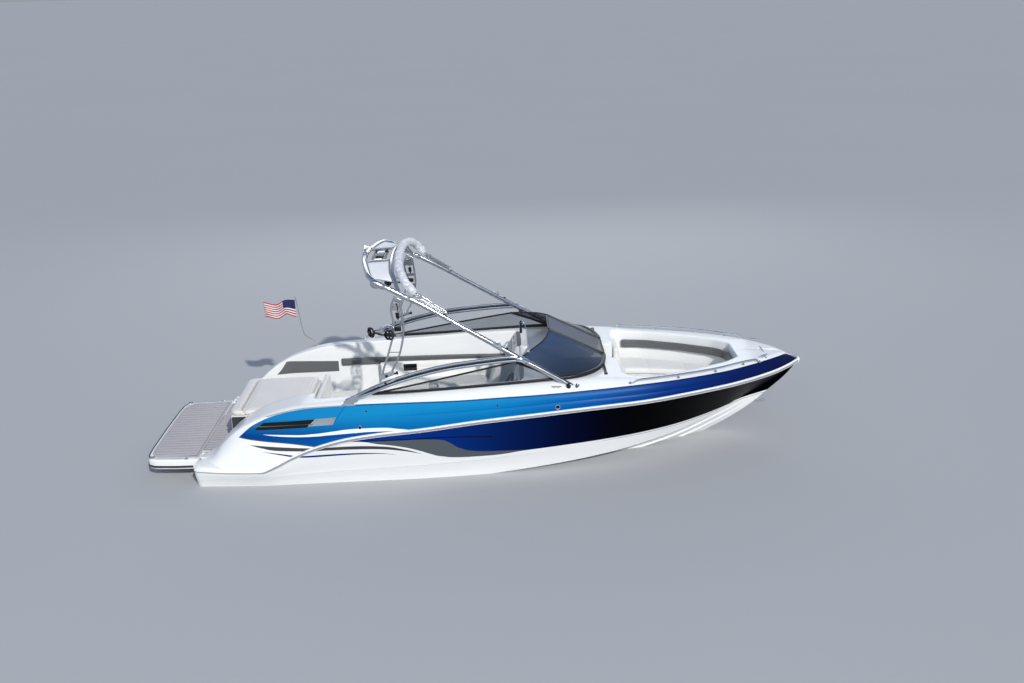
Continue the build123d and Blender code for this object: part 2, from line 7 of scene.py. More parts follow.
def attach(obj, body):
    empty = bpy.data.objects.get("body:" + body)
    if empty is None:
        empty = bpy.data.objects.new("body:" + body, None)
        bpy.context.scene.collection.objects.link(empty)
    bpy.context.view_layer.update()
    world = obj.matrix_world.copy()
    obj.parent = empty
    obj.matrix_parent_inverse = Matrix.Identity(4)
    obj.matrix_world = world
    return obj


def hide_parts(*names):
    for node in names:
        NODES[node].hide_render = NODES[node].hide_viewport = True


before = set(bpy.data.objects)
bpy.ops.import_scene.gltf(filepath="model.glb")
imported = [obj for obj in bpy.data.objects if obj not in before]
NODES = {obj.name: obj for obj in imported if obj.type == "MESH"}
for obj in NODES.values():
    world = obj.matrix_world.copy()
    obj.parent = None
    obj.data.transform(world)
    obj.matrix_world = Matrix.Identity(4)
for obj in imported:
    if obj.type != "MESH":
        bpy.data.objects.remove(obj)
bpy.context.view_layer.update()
random.seed(7)
rng = np.random.default_rng(7)
DONE = set()

# =====================================================================  camera
cam_data = bpy.data.cameras.new("cam")
cam = bpy.data.objects.new("cam", cam_data)
bpy.context.scene.collection.objects.link(cam)
R = Vector((0.99931341, -0.0218718, -0.02990529))
U = Vector((0.03546271, 0.33092772, 0.94298952))
F = Vector((0.01072839, 0.9434026, -0.33147614))
m = Matrix.Identity(4)
for i in range(3):
    m[i][0], m[i][1], m[i][2] = R[i], U[i], -F[i]
m[0][3], m[1][3], m[2][3] = 3.90073, -12.80246, 5.88962
cam.matrix_world = m
cam_data.sensor_fit = "HORIZONTAL"
cam_data.sensor_width = 36.0
cam_data.lens = 35.898
cam_data.clip_end = 3000
bpy.context.scene.camera = cam


# =====================================================================  curves in x
def pchip(pts):
    """Smooth monotone curve through (x, value) rows."""
    p = np.array(pts, float)
    x, y = p[:, 0], p[:, 1]
    h = np.diff(x)
    d = np.diff(y) / h
    mm = np.zeros(len(x))
    mm[0], mm[-1] = d[0], d[-1]
    for i in range(1, len(x) - 1):
        if d[i - 1] * d[i] > 0:
            w1, w2 = 2 * h[i] + h[i - 1], h[i] + 2 * h[i - 1]
            mm[i] = (w1 + w2) / (w1 / d[i - 1] + w2 / d[i])

    def f(q):
        q = np.clip(np.asarray(q, float), x[0], x[-1])
        i = np.clip(np.searchsorted(x, q) - 1, 0, len(x) - 2)
        t = (q - x[i]) / h[i]
        return ((1 + 2 * t) * (1 - t) ** 2 * y[i] + t * (1 - t) ** 2 * h[i] * mm[i]
                + t * t * (3 - 2 * t) * y[i + 1] + t * t * (t - 1) * h[i] * mm[i + 1])
    return f


RUB_Y = pchip([(0, 1.232), (1, 1.327), (2.5, 1.366), (4, 1.346), (5.5, 1.204), (6.7, .845), (7.4, .459), (7.7, .215), (7.88, .03)])
RUB_Z_PTS = [(0, .255), (.446, .238), (.86, .245), (1.05, .32), (1.29, .445), (1.604, .571), (1.989, .67), (2.369, .722), (2.872, .762), (3.566, .838), (4.13, .884), (4.885, .93), (5.614, .955), (6.161, .974), (6.734, .984), (7.5, .992), (7.9, 1.005)]
RUB_Z = pchip(RUB_Z_PTS)
EDGE_Y = pchip([(0, .970), (.3, 1.042), (1, 1.187), (2.5, 1.257), (4, 1.268), (5.5, 1.131), (6.7, .787), (7.3, .432), (7.60, .168), (7.70, .052), (7.76, .018), (7.88, .012)])
EDGE_Z_PTS = [(0, .272), (.2, .36), (.35, .52), (.528, .69), (.7, .813), (.85, .89), (1.0, .945), (1.22, 1.003), (1.44, 1.045), (1.76, 1.066), (2.1, 1.079), (2.64, 1.085), (3.2, 1.087), (4.0, 1.114), (5.1, 1.139), (5.8, 1.154), (6.9, 1.155), (7.3, 1.144), (7.6, 1.116), (7.70, 1.092), (7.78, 1.056), (7.84, 1.030), (7.88, 1.014)]
EDGE_Z = pchip(EDGE_Z_PTS)
CHINE_Y = pchip([(0, 1.128), (1, 1.154), (2.5, 1.144), (4, 1.063), (5, .928), (6, .648), (6.8, .286), (7.3, .06), (7.7, .016), (7.86, .007)])
CHINE_Z = pchip([(0, -.073), (1, -.102), (2.5, -.08), (4, .031), (5, .121), (6, .258), (6.8, .445), (7.3, .60), (7.7, .83), (7.86, .972)])
KEEL_Z = pchip([(0, -.455), (4.5, -.455), (5.5, -.371), (6.2, -.19), (6.8, .083), (7.2, .328), (7.5, .577), (7.75, .81), (7.86, .955)])


# =====================================================================  mesh helpers
def new_obj(name, verts, faces, mats=(), face_mats=None, smooth=True):
    me = bpy.data.meshes.new(name)
    me.from_pydata([tuple(map(float, v)) for v in verts], [], [tuple(map(int, f)) for f in faces])
    for q in mats:
        me.materials.append(q)
    if face_mats is not None:
        me.polygons.foreach_set("material_index", np.array(face_mats, np.int32))
    me.polygons.foreach_set("use_smooth", [smooth] * len(me.polygons))
    me.update()
    o = bpy.data.objects.new(name, me)
    bpy.context.scene.collection.objects.link(o)
    return o


def piece(o, body="boat", replaces=()):
    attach(o, body)
    if replaces:
        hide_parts(*([replaces] if isinstance(replaces, str) else replaces))
        DONE.update([replaces] if isinstance(replaces, str) else replaces)
    return o


def recalc(o, weld=1e-5):
    bm = bmesh.new()
    bm.from_mesh(o.data)
    if weld:
        bmesh.ops.remove_doubles(bm, verts=bm.verts, dist=weld)
    bmesh.ops.recalc_face_normals(bm, faces=bm.faces)
    bm.to_mesh(o.data)
    bm.free()
    return o


def sharp(o, deg=35):
    """Smooth shading broken at edges sharper than deg."""
    bm = bmesh.new()
    bm.from_mesh(o.data)
    for e in bm.edges:
        if len(e.link_faces) == 2 and e.calc_face_angle(0) > math.radians(deg):
            e.smooth = False
    for f in bm.faces:
        f.smooth = True
    bm.to_mesh(o.data)
    bm.free()
    return o


class Build:
    """Gathers several shapes into one mesh."""

    def __init__(self):
        self.v, self.f, self.m = [], [], []

    def add(self, verts, faces, mat=0):
        n = len(self.v)
        self.v.extend([tuple(map(float, q)) for q in verts])
        self.f.extend([tuple(int(i) + n for i in q) for q in faces])
        self.m.extend([mat] * len(faces))
        return self

    def mirror(self):
        """Adds the mirror image of everything gathered so far, across the centre plane."""
        n = len(self.v)
        fs, ms = list(self.f), list(self.m)
        self.v.extend([(x, -y, z) for x, y, z in self.v[:n]])
        self.f.extend([tuple(i + n for i in reversed(q)) for q in fs])
        self.m.extend(ms)
        return self

    def obj(self, name, mats, smooth=True):
        return new_obj(name, self.v, self.f, mats, self.m, smooth)


def resample(path, step, closed=False):
    """Points along a smooth curve through the path (centripetal Catmull-Rom)."""
    P = [Vector(p) for p in path]
    n = len(P)
    out = []
    segs = n if closed else n - 1
    for i in range(segs):
        p1, p2 = P[i], P[(i + 1) % n]
        p0 = P[(i - 1) % n] if (closed or i > 0) else p1 * 2 - p2
        p3 = P[(i + 2) % n] if (closed or i < n - 2) else p2 * 2 - p1
        t = [0.0]
        for a, b in ((p0, p1), (p1, p2), (p2, p3)):
            t.append(t[-1] + max((b - a).length, 1e-6) ** 0.5)
        k = max(1, int(round((p2 - p1).length / step)))
        for j in range(k):
            s = t[1] + (t[2] - t[1]) * j / k
            a1 = p0 * ((t[1] - s) / (t[1] - t[0])) + p1 * ((s - t[0]) / (t[1] - t[0]))
            a2 = p1 * ((t[2] - s) / (t[2] - t[1])) + p2 * ((s - t[1]) / (t[2] - t[1]))
            a3 = p2 * ((t[3] - s) / (t[3] - t[2])) + p3 * ((s - t[2]) / (t[3] - t[2]))
            b1 = a1 * ((t[2] - s) / (t[2] - t[0])) + a2 * ((s - t[0]) / (t[2] - t[0]))
            b2 = a2 * ((t[3] - s) / (t[3] - t[1])) + a3 * ((s - t[1]) / (t[3] - t[1]))
            out.append(b1 * ((t[2] - s) / (t[2] - t[1])) + b2 * ((s - t[1]) / (t[2] - t[1])))
    if not closed:
        out.append(P[-1].copy())
    return out


def sweep(path, profile, closed=False, up=None, cap=True, scale=None):
    """Profile (u, v) rows swept along path: u to the side, v up. Returns verts, faces."""
    P = [Vector(p) for p in path]
    n, k = len(P), len(profile)
    T = []
    for i in range(n):
        a = P[(i - 1) % n] if (closed or i > 0) else P[0]
        b = P[(i + 1) % n] if (closed or i < n - 1) else P[-1]
        T.append((b - a).normalized())
    V = []
    ref = Vector(up) if up is not None else None
    nrm = None
    for i in range(n):
        t = T[i]
        if ref is not None:
            s = t.cross(ref).normalized()
            w = s.cross(t).normalized()
        else:
            if nrm is None:
                q = Vector((0, 0, 1)) if abs(t.z) < 0.9 else Vector((1, 0, 0))
                s = t.cross(q).normalized()
            else:
                s = (nrm - t * nrm.dot(t)).normalized()
            nrm = s
            w = s.cross(t).normalized()
        sc = scale[i] if scale is not None else 1.0
        for u, v in profile:
            V.append(P[i] + s * (u * sc) + w * (v * sc))
    Fc = []
    rng_n = n if closed else n - 1
    for i in range(rng_n):
        a, b = i * k, ((i + 1) % n) * k
        for j in range(k):
            j2 = (j + 1) % k
            Fc.append((a + j, b + j, b + j2, a + j2))
    if cap and not closed:
        Fc.append(tuple(range(k)))
        Fc.append(tuple(reversed(range((n - 1) * k, n * k))))
    return V, Fc


def circle(r, n=14, r2=None):
    r2 = r if r2 is None else r2
    return [(r * math.cos(2 * math.pi * i / n), r2 * math.sin(2 * math.pi * i / n)) for i in range(n)]


def rrect(w, h, r, n=4):
    """Rounded rectangle outline of full width w and height h."""
    out = []
    for cx, cy, a0 in ((w / 2 - r, h / 2 - r, 0), (-w / 2 + r, h / 2 - r, 90), (-w / 2 + r, -h / 2 + r, 180), (w / 2 - r, -h / 2 + r, 270)):
        for i in range(n + 1):
            a = math.radians(a0 + 90 * i / n)
            out.append((cx + r * math.cos(a), cy + r * math.sin(a)))
    return out


def tube(path, r, n=14, step=None, smooth_path=True, closed=False):
    p = resample(path, step or 0.04, closed) if smooth_path else [Vector(q) for q in path]
    return sweep(p, circle(r, n), closed)


def lathe(center, axis, rows, n=24):
    """Rows of (distance along the axis, radius), turned about the axis. Returns verts, faces."""
    a = Vector(axis).normalized()
    q = Vector((0, 0, 1)) if abs(a.z) < 0.9 else Vector((1, 0, 0))
    u = a.cross(q).normalized()
    w = a.cross(u)
    c = Vector(center)
    V, Fc = [], []
    for h, r in rows:
        for i in range(n):
            t = 2 * math.pi * i / n
            V.append(c + a * h + (u * math.cos(t) + w * math.sin(t)) * r)
    for j in range(len(rows) - 1):
        for i in range(n):
            i2 = (i + 1) % n
            Fc.append((j * n + i, j * n + i2, (j + 1) * n + i2, (j + 1) * n + i))
    if rows[0][1] > 1e-6:
        Fc.append(tuple(reversed(range(n))))
    if rows[-1][1] > 1e-6:
        Fc.append(tuple(range((len(rows) - 1) * n, len(rows) * n)))
    return V, Fc


def rbox(x0, x1, y0, y1, z0, z1, r=0.01, seg=3):
    """A box with rounded edges. Returns verts, faces."""
    bm = bmesh.new()
    bmesh.ops.create_cube(bm, size=1.0)
    for v in bm.verts:
        v.co = Vector(((x0 + x1) / 2 + v.co.x * (x1 - x0), (y0 + y1) / 2 + v.co.y * (y1 - y0), (z0 + z1) / 2 + v.co.z * (z1 - z0)))
    bmesh.ops.bevel(bm, geom=list(bm.edges), offset=r, segments=seg, profile=0.5, affect="EDGES")
    V = [v.co.copy() for v in bm.verts]
    idx = {v: i for i, v in enumerate(bm.verts)}
    Fc = [tuple(idx[v] for v in f.verts) for f in bm.faces]
    bm.free()
    return V, Fc


def prism(pts, y0, y1, r=0.008, seg=3):
    """A side outline of (x, z) points between y0 and y1, edges rounded. Returns verts, faces."""
    bm = bmesh.new()
    lo = [bm.verts.new((x, y0, z)) for x, z in pts]
    hi = [bm.verts.new((x, y1, z)) for x, z in pts]
    n = len(pts)
    bm.faces.new(lo)
    bm.faces.new(list(reversed(hi)))
    for i in range(n):
        bm.faces.new((lo[i], hi[i], hi[(i + 1) % n], lo[(i + 1) % n]))
    bmesh.ops.recalc_face_normals(bm, faces=bm.faces)
    if r:
        es = [e for e in bm.edges if e.calc_face_angle(0) > 0.3]
        bmesh.ops.bevel(bm, geom=es, offset=r, segments=seg, profile=0.5, affect="EDGES", clamp_overlap=True)
    V = [v.co.copy() for v in bm.verts]
    idx = {v: i for i, v in enumerate(bm.verts)}
    Fc = [tuple(idx[v] for v in f.verts) for f in bm.faces]
    bm.free()
    return V, Fc


# =====================================================================  shader helpers
class Nodes:
    def __init__(self, name):
        self.mat = bpy.data.materials.new(name)
        self.mat.use_nodes = True
        self.t = self.mat.node_tree
        self.t.nodes.clear()
        self.out = self.t.nodes.new("ShaderNodeOutputMaterial")
        self.b = self.t.nodes.new("ShaderNodeBsdfPrincipled")
        self.t.links.new(self.b.outputs[0], self.out.inputs[0])
        self._co = None
        self._sep = None

    def n(self, kind):
        return self.t.nodes.new("ShaderNode" + kind)

    def link(self, a, b):
        self.t.links.new(a, b)

    def set(self, **kw):
        for k, v in kw.items():
            self.b.inputs[k.replace("_", " ")].default_value = v
        return self

    @property
    def co(self):
        if self._co is None:
            self._co = self.n("TexCoord").outputs["Object"]
        return self._co

    @property
    def xyz(self):
        if self._sep is None:
            s = self.n("SeparateXYZ")
            self.link(self.co, s.inputs[0])
            self._sep = s.outputs
        return self._sep

    def put(self, sock, v):
        if hasattr(v, "is_linked") or hasattr(v, "node"):
            self.link(v, sock)
        else:
            sock.default_value = v

    def math(self, op, a, b=0.0, c=0.0, clamp=False):
        q = self.n("Math")
        q.operation = op
        q.use_clamp = clamp
        self.put(q.inputs[0], a)
        self.put(q.inputs[1], b)
        self.put(q.inputs[2], c)
        return q.outputs[0]

    def noise(self, scale, detail=3.0, rough=0.55, vec=None, dims="3D", distortion=0.0):
        q = self.n("TexNoise")
        q.noise_dimensions = dims
        q.inputs["Scale"].default_value = scale
        q.inputs["Detail"].default_value = detail
        q.inputs["Roughness"].default_value = rough
        q.inputs["Distortion"].default_value = distortion
        self.link(vec if vec is not None else self.co, q.inputs["Vector"])
        return q.outputs["Fac"]

    def scaled(self, sx, sy, sz, rot=(0, 0, 0)):
        q = self.n("Mapping")
        q.inputs["Scale"].default_value = (sx, sy, sz)
        q.inputs["Rotation"].default_value = rot
        self.link(self.co, q.inputs["Vector"])
        return q.outputs[0]

    def ramp(self, fac, stops):
        q = self.n("ValToRGB")
        e = q.color_ramp.elements
        while len(e) > 1:
            e.remove(e[-1])
        e[0].position = stops[0][0]
        e[0].color = (*stops[0][1], 1) if len(stops[0][1]) == 3 else stops[0][1]
        for p, c in stops[1:]:
            k = e.new(p)
            k.color = (*c, 1) if len(c) == 3 else c
        self.put(q.inputs[0], fac)
        return q.outputs[0]

    def mix(self, fac, a, b):
        q = self.n("Mix")
        q.data_type = "RGBA"
        self.put(q.inputs[0], fac)
        for sock, v in ((q.inputs[6], a), (q.inputs[7], b)):
            if isinstance(v, tuple):
                sock.default_value = (*v, 1) if len(v) == 3 else v
            else:
                self.link(v, sock)
        return q.outputs[2]

    def color(self, v):
        if isinstance(v, tuple):
            self.b.inputs["Base Color"].default_value = (*v, 1)
        else:
            self.link(v, self.b.inputs["Base Color"])
        return self

    def rough(self, base, amount, scale, detail=3):
        v = self.math("MULTIPLY_ADD", self.noise(scale, detail), amount, base - amount / 2)
        self.link(v, self.b.inputs["Roughness"])
        return self

    def bump(self, height, strength=0.3, dist=0.002):
        q = self.n("Bump")
        q.inputs["Strength"].default_value = strength
        q.inputs["Distance"].default_value = dist
        self.link(height, q.inputs["Height"])
        self.link(q.outputs[0], self.b.inputs["Normal"])
        return self

    def curve_x(self, pts, coord=None):
        """z as a smooth function of x, through (x, z) rows."""
        x0, x1 = pts[0][0], pts[-1][0]
        zs = [p[1] for p in pts]
        z0, z1 = min(zs) - 0.02, max(zs) + 0.02
        mr = self.n("MapRange")
        mr.inputs["From Min"].default_value = x0
        mr.inputs["From Max"].default_value = x1
        self.link(coord if coord is not None else self.xyz[0], mr.inputs["Value"])
        fc = self.n("FloatCurve")
        cv = fc.mapping.curves[0]
        rows = [((x - x0) / (x1 - x0), (z - z0) / (z1 - z0)) for x, z in pts]
        cv.points[0].location = rows[0]
        cv.points[-1].location = rows[-1]
        for r_ in rows[1:-1]:
            cv.points.new(*r_)
        for p in cv.points:
            p.handle_type = "AUTO_CLAMPED"
        fc.mapping.update()
        self.link(mr.outputs[0], fc.inputs["Value"])
        return self.math("MULTIPLY_ADD", fc.outputs[0], z1 - z0, z0)

    def above(self, z, f, soft=0.0012):
        """1 where z is above f, 0 below, with a narrow soft edge."""
        d = self.math("SUBTRACT", z, f)
        return self.math("MULTIPLY_ADD", d, 1.0 / (2 * soft), 0.5, clamp=True)

    def both(self, *ms):
        out = ms[0]
        for q in ms[1:]:
            out = self.math("MULTIPLY", out, q)
        return out

    def inv(self, q):
        return self.math("SUBTRACT", 1.0, q)


def lin(r, g, b):
    """sRGB 0..1 to linear."""
    f = lambda c: c / 12.92 if c <= 0.04045 else ((c + 0.055) / 1.055) ** 2.4
    return (f(r), f(g), f(b))


# ---- the painted stripes: every row is (x, z) in metres on the boat's side
BAND_BOTTOM = [(1.70, .70), (1.80, .634), (1.95, .637), (2.355, .581), (2.632, .524), (2.849, .450), (2.975, .392), (3.12, .340), (3.352, .307), (3.658, .302), (4.198, .345), (4.703, .37), (5.109, .385), (5.635, .402), (6.1, .42), (6.678, .452), (7.1, .50), (7.443, .56), (7.9, .70)]
GREY_TOP = [(1.80, .60), (1.945, .628), (2.617, .626), (2.992, .616), (3.12, .60), (3.22, .55), (3.36, .447), (3.55, .388), (3.833, .366), (4.4, .34)]
BLACK_LINE = [(1.80, .632), (1.945, .636), (2.617, .634), (2.992, .64), (3.3, .632), (3.75, .605)]
SWOOSH_TOP = [(.754, .597), (1.106, .577), (1.507, .566), (1.979, .568), (2.352, .549), (2.63, .493), (2.86, .405)]
SWOOSH_LOW = [(.754, .594), (.90, .56), (1.103, .529), (1.505, .524), (1.974, .521), (2.349, .505), (2.628, .464), (2.86, .402)]
THIN_MID = [(.90, .515), (1.1, .487), (1.309, .459), (1.495, .444), (1.966, .451), (2.342, .439), (2.56, .405)]
THIN_W = [(.90, .0005), (1.2, .010), (1.6, .014), (2.1, .010), (2.56, .0005)]
BLUE_LOW = [(.60, .668), (1.017, .636), (1.319, .612), (1.70, .56)]
BLUE_TOP = [(.60, .664), (.64, .70), (.70, .752), (.775, .811), (.88, .872), (1.0, .928), (1.22, .994), (1.44, 1.036), (1.76, 1.06), (2.1, 1.075)]
WHITE_TOP = [(.93, .728), (1.326, .728), (1.55, .742), (1.781, .77), (2.082, .803), (2.38, .81), (2.617, .790), (2.95, .74)]
WHITE_LOW = [(.93, .726), (1.15, .708), (1.325, .704), (1.552, .711), (1.779, .73), (2.079, .752), (2.304, .764), (2.617, .765), (2.95, .735)]


def in_x(N, x0, x1):
    return N.both(N.above(N.xyz[0], x0, .003), N.inv(N.above(N.xyz[0], x1, .003)))


def stripes(N, base):
    """Adds the swooshes that cross both mouldings to a base colour."""
    z = N.xyz[2]
    s1 = N.both(N.above(z, N.curve_x(SWOOSH_LOW)), N.inv(N.above(z, N.curve_x(SWOOSH_TOP))), in_x(N, .754, 2.86))
    col = N.mix(s1, base, lin(.26, .27, .29))
    mid, w = N.curve_x(THIN_MID), N.curve_x(THIN_W)
    s2 = N.both(N.above(z, N.math("SUBTRACT", mid, w)), N.inv(N.above(z, N.math("ADD", mid, w))), in_x(N, .90, 2.56))
    edge = N.both(N.above(z, N.math("SUBTRACT", mid, N.math("MULTIPLY", w, 0.45))), N.inv(N.above(z, N.math("ADD", mid, w))), in_x(N, .90, 2.56))
    col = N.mix(s2, col, lin(.18, .20, .24))
    return N.mix(edge, col, lin(.05, .18, .52))


def gelcoat(name, white=(.93, .935, .93)):
    N = Nodes(name)
    N.set(Roughness=.20, Coat_Weight=.12, Coat_Roughness=.05, IOR=1.5, Specular_IOR_Level=.4)
    return N


def mat_hull():
    N = gelcoat("hull_paint")
    N.set(Coat_Weight=0.0, Specular_IOR_Level=.012)
    z, x = N.xyz[2], N.xyz[0]
    tint = N.noise(1.4, 2)
    white = N.mix(N.math("MULTIPLY", tint, .5), lin(.93, .935, .935), lin(.90, .91, .915))
    col = stripes(N, white)
    band = N.both(N.above(z, N.curve_x(BAND_BOTTOM)), N.above(x, 1.74, .003))
    f = N.n("MapRange")
    f.inputs["From Min"].default_value = 2.2
    f.inputs["From Max"].default_value = 5.6
    N.link(x, f.inputs["Value"])
    # navy paint that darkens to near black toward the bow; the near black is a painted reflection of dark water, not
    # the paint's own colour
    navy_and_painted_dark_reflection = N.ramp(f.outputs[0], [(0.0, lin(.03, .20, .56)), (.30, lin(.03, .17, .46)), (.52, lin(.02, .11, .32)), (.72, lin(.01, .04, .17)), (.88, lin(.004, .010, .055)), (1.0, lin(.004, .006, .016))])
    g = N.both(N.inv(N.above(z, N.curve_x(GREY_TOP), .006)), N.inv(N.above(x, 4.4, .02)))
    paint = N.mix(g, navy_and_painted_dark_reflection, lin(.33, .36, .38))
    bl = N.curve_x(BLACK_LINE)
    line = N.both(N.above(z, N.math("SUBTRACT", bl, .007)), N.inv(N.above(z, N.math("ADD", bl, .006))), in_x(N, 1.85, 3.75))
    paint = N.mix(line, paint, lin(.05, .06, .09))
    col = N.mix(band, col, paint)
    # a hair line under the band
    bb = N.curve_x(BAND_BOTTOM)
    pin = N.both(N.above(z, N.math("SUBTRACT", bb, .030)), N.inv(N.above(z, N.math("SUBTRACT", bb, .022))), N.above(x, 5.2, .2))
    col = N.mix(N.math("MULTIPLY", pin, .8), col, lin(.35, .36, .38))
    N.color(col)
    N.rough(.30, .05, 30)
    N.bump(N.noise(160, 2), .02, .0005)
    return N.mat


def mat_side():
    N = gelcoat("band_paint")
    N.set(Coat_Weight=.0, Specular_IOR_Level=.06)
    z, x = N.xyz[2], N.xyz[0]
    white = N.mix(N.math("MULTIPLY", N.noise(1.4, 2), .5), lin(.93, .935, .935), lin(.90, .91, .915))
    col = stripes(N, white)
    f = N.n("MapRange")
    f.inputs["From Min"].default_value = .6
    f.inputs["From Max"].default_value = 7.6
    N.link(x, f.inputs["Value"])
    # hi and lo are lit and shaded copies of the band's blue, both darker toward the bow; below they are blended by
    # height above the rub rail, so the top of the band is painted lighter and the part near the rail darker: painted
    # light over the blue paint
    hi = N.ramp(f.outputs[0], [(0, lin(.10, .46, .70)), (.22, lin(.06, .50, .71)), (.45, lin(.04, .50, .72)), (.60, lin(.0, .38, .65)), (.76, lin(.01, .20, .49)), (.88, lin(.01, .12, .36)), (1, lin(.01, .07, .26))])
    lo = N.ramp(f.outputs[0], [(0, lin(.01, .22, .50)), (.2, lin(.01, .34, .60)), (.45, lin(.0, .42, .66)), (.62, lin(.0, .31, .60)), (.76, lin(.01, .17, .44)), (.88, lin(.02, .10, .32)), (1, lin(.02, .06, .23))])
    rail = N.curve_x([(.6, .655), (1.05, .675), (1.604, .69), (1.989, .705), (2.369, .725), (2.872, .762), (3.566, .838), (4.13, .884), (4.885, .93), (5.614, .955), (6.734, .984), (7.9, 1.0)])
    t = N.math("MULTIPLY_ADD", N.math("SUBTRACT", z, rail), 4.6, -.15, clamp=True)
    blue = N.mix(t, lo, hi)
    b = N.both(N.above(z, N.curve_x(BLUE_LOW)), N.above(x, .604, .003))
    top = N.inv(N.above(z, N.curve_x(BLUE_TOP)))
    b = N.both(b, N.math("MAXIMUM", top, N.above(x, 2.09, .005)))
    w = N.both(N.above(z, N.curve_x(WHITE_LOW)), N.inv(N.above(z, N.curve_x(WHITE_TOP))), in_x(N, .93, 2.95))
    blue = N.mix(w, blue, lin(.90, .93, .95))
    under = N.curve_x(WHITE_LOW)
    sh = N.both(N.above(z, N.math("SUBTRACT", under, .040)), N.inv(N.above(z, under, .004)), in_x(N, 1.35, 2.7))
    blue = N.mix(N.math("MULTIPLY", sh, .55), blue, lin(.05, .20, .52))
    low = N.curve_x(BLUE_LOW)
    pin = N.both(N.inv(N.above(z, N.math("ADD", low, .010))), N.inv(N.above(x, 1.75)))
    blue = N.mix(pin, blue, lin(.30, .33, .37))
    col = N.mix(b, col, blue)
    # thin dark keyline along the top of the band, and the panel seam
    sx = N.curve_x([(.85, 1.795), (1.085, 1.98)], N.xyz[2])
    seam = N.both(N.above(x, N.math("SUBTRACT", sx, .0035)), N.inv(N.above(x, N.math("ADD", sx, .0035))), N.above(z, .852))
    col = N.mix(N.math("MULTIPLY", seam, .85), col, lin(.02, .10, .25))
    et = N.curve_x([(x_, z_) for x_, z_ in EDGE_Z_PTS if .9 <= x_ <= 7.66])
    key = N.both(N.above(z, N.math("SUBTRACT", et, .0095)), N.above(x, .93, .01), N.inv(N.above(x, 7.3, .05)))
    col = N.mix(N.math("MULTIPLY", key, .55), col, lin(.03, .10, .26))
    N.color(col)
    N.rough(.34, .05, 30)
    N.bump(N.noise(160, 2), .02, .0005)
    return N.mat


def mat_gel(name="gel_white", c1=(.93, .935, .93), c2=(.895, .90, .90)):
    N = gelcoat(name)
    N.color(N.mix(N.noise(2.2, 3), lin(*c1), lin(*c2)))
    N.rough(.22, .08, 24)
    N.bump(N.noise(220, 2), .03, .0005)
    return N.mat


def mat_nonskid(name="nonskid"):
    N = Nodes(name)
    vo = N.n("TexVoronoi")
    vo.inputs["Scale"].default_value = 260
    N.link(N.co, vo.inputs["Vector"])
    N.color(N.mix(N.noise(6, 3), lin(.90, .905, .90), lin(.86, .865, .86)))
    N.set(Roughness=.5)
    N.bump(vo.outputs["Distance"], .35, .0012)
    return N.mat


def mat_metal(name, col=(.86, .87, .89), rough=.18, amt=.1, scale=40, brushed=None):
    N = Nodes(name)
    N.set(Metallic=1.0)
    N.color(N.mix(N.noise(5, 3), lin(*col), lin(*(c * .93 for c in col))))
    N.rough(rough, amt, scale)
    if brushed:
        N.bump(N.noise(60, 3, vec=N.scaled(*brushed)), .08, .0006)
    else:
        N.bump(N.noise(90, 2), .015, .0005)
    return N.mat


def mat_plastic(name, col, rough=.4, scale=120, b=.12):
    N = Nodes(name)
    N.color(N.mix(N.noise(7, 3), lin(*col), lin(*(min(1, c * 1.18 + .01) for c in col))))
    N.rough(rough, .14, 50)
    N.bump(N.noise(scale, 4), b, .0008)
    return N.mat


def mat_vinyl(name, col=(.93, .925, .91), pleat=None, dark=.93):
    """Marine vinyl: fine leather grain, soft sheen, faint soiling; pleat = (axis, pitch) adds stitched channels."""
    N = Nodes(name)
    base = N.mix(N.noise(3.0, 4), lin(*col), lin(*(c * dark for c in col)))
    vo = N.n("TexVoronoi")
    vo.inputs["Scale"].default_value = 420
    N.link(N.co, vo.inputs["Vector"])
    h = N.math("MULTIPLY_ADD", N.noise(500, 3), .5, N.math("MULTIPLY", vo.outputs["Distance"], .8))
    h = N.math("MULTIPLY", h, .12)
    if pleat:
        ax, pitch, off = pleat
        ph = N.math("FRACT", N.math("MULTIPLY_ADD", N.xyz[ax], 1.0 / pitch, off))
        d = N.math("ABSOLUTE", N.math("SUBTRACT", ph, .5))
        groove = N.math("SMOOTH_MIN", N.math("MULTIPLY", N.math("SUBTRACT", .5, d), 9.0), 1.0, .4)
        h = N.math("ADD", h, N.math("MULTIPLY", groove, 1.4))
        # the bottom of each channel is painted darker: painted shade in the groove
        line = N.math("SUBTRACT", 1.0, N.math("MULTIPLY", N.math("SUBTRACT", .5, d), 28.0, clamp=True), clamp=True)
        base = N.mix(N.math("MULTIPLY", line, .30), base, lin(*(c * .62 for c in col)))
    N.color(base)
    N.rough(.42, .12, 60)
    N.set(Specular_IOR_Level=.45, Sheen_Weight=.06)
    N.bump(h, .5, .0022 if pleat else .0009)
    return N.mat


def mat_glass():
    N = Nodes("tint_glass")
    # the glass is painted lighter blue towards its top: painted reflection of the sky
    up = N.math("MULTIPLY_ADD", N.xyz[2], 2.6, -3.25, clamp=True)
    N.color(N.mix(up, lin(.045, .085, .17), lin(.16, .27, .42)))
    N.set(Roughness=.03, IOR=1.45, Transmission_Weight=.0, Alpha=.66, Coat_Weight=.7, Coat_Roughness=.02)
    N.bump(N.noise(3, 1), .01, .001)
    return N.mat


def mat_glass_clear():
    N = Nodes("side_glass")
    N.color(N.mix(N.noise(1.2, 2), lin(.20, .27, .33), lin(.15, .21, .27)))
    N.set(Roughness=.03, IOR=1.45, Alpha=.28, Coat_Weight=1.0, Coat_Roughness=.02)
    N.bump(N.noise(3, 1), .01, .001)
    return N.mat


def mat_mat():
    """Closed foam decking, warm grey, fine speckle."""
    N = Nodes("foam_decking")
    sp = N.noise(700, 2)
    c = N.mix(N.noise(4, 4), lin(.76, .74, .75), lin(.71, .69, .70))
    N.color(N.mix(N.math("MULTIPLY", sp, .35), c, lin(.60, .59, .60)))
    N.set(Roughness=.8)
    N.bump(N.noise(520, 3), .4, .0012)
    return N.mat


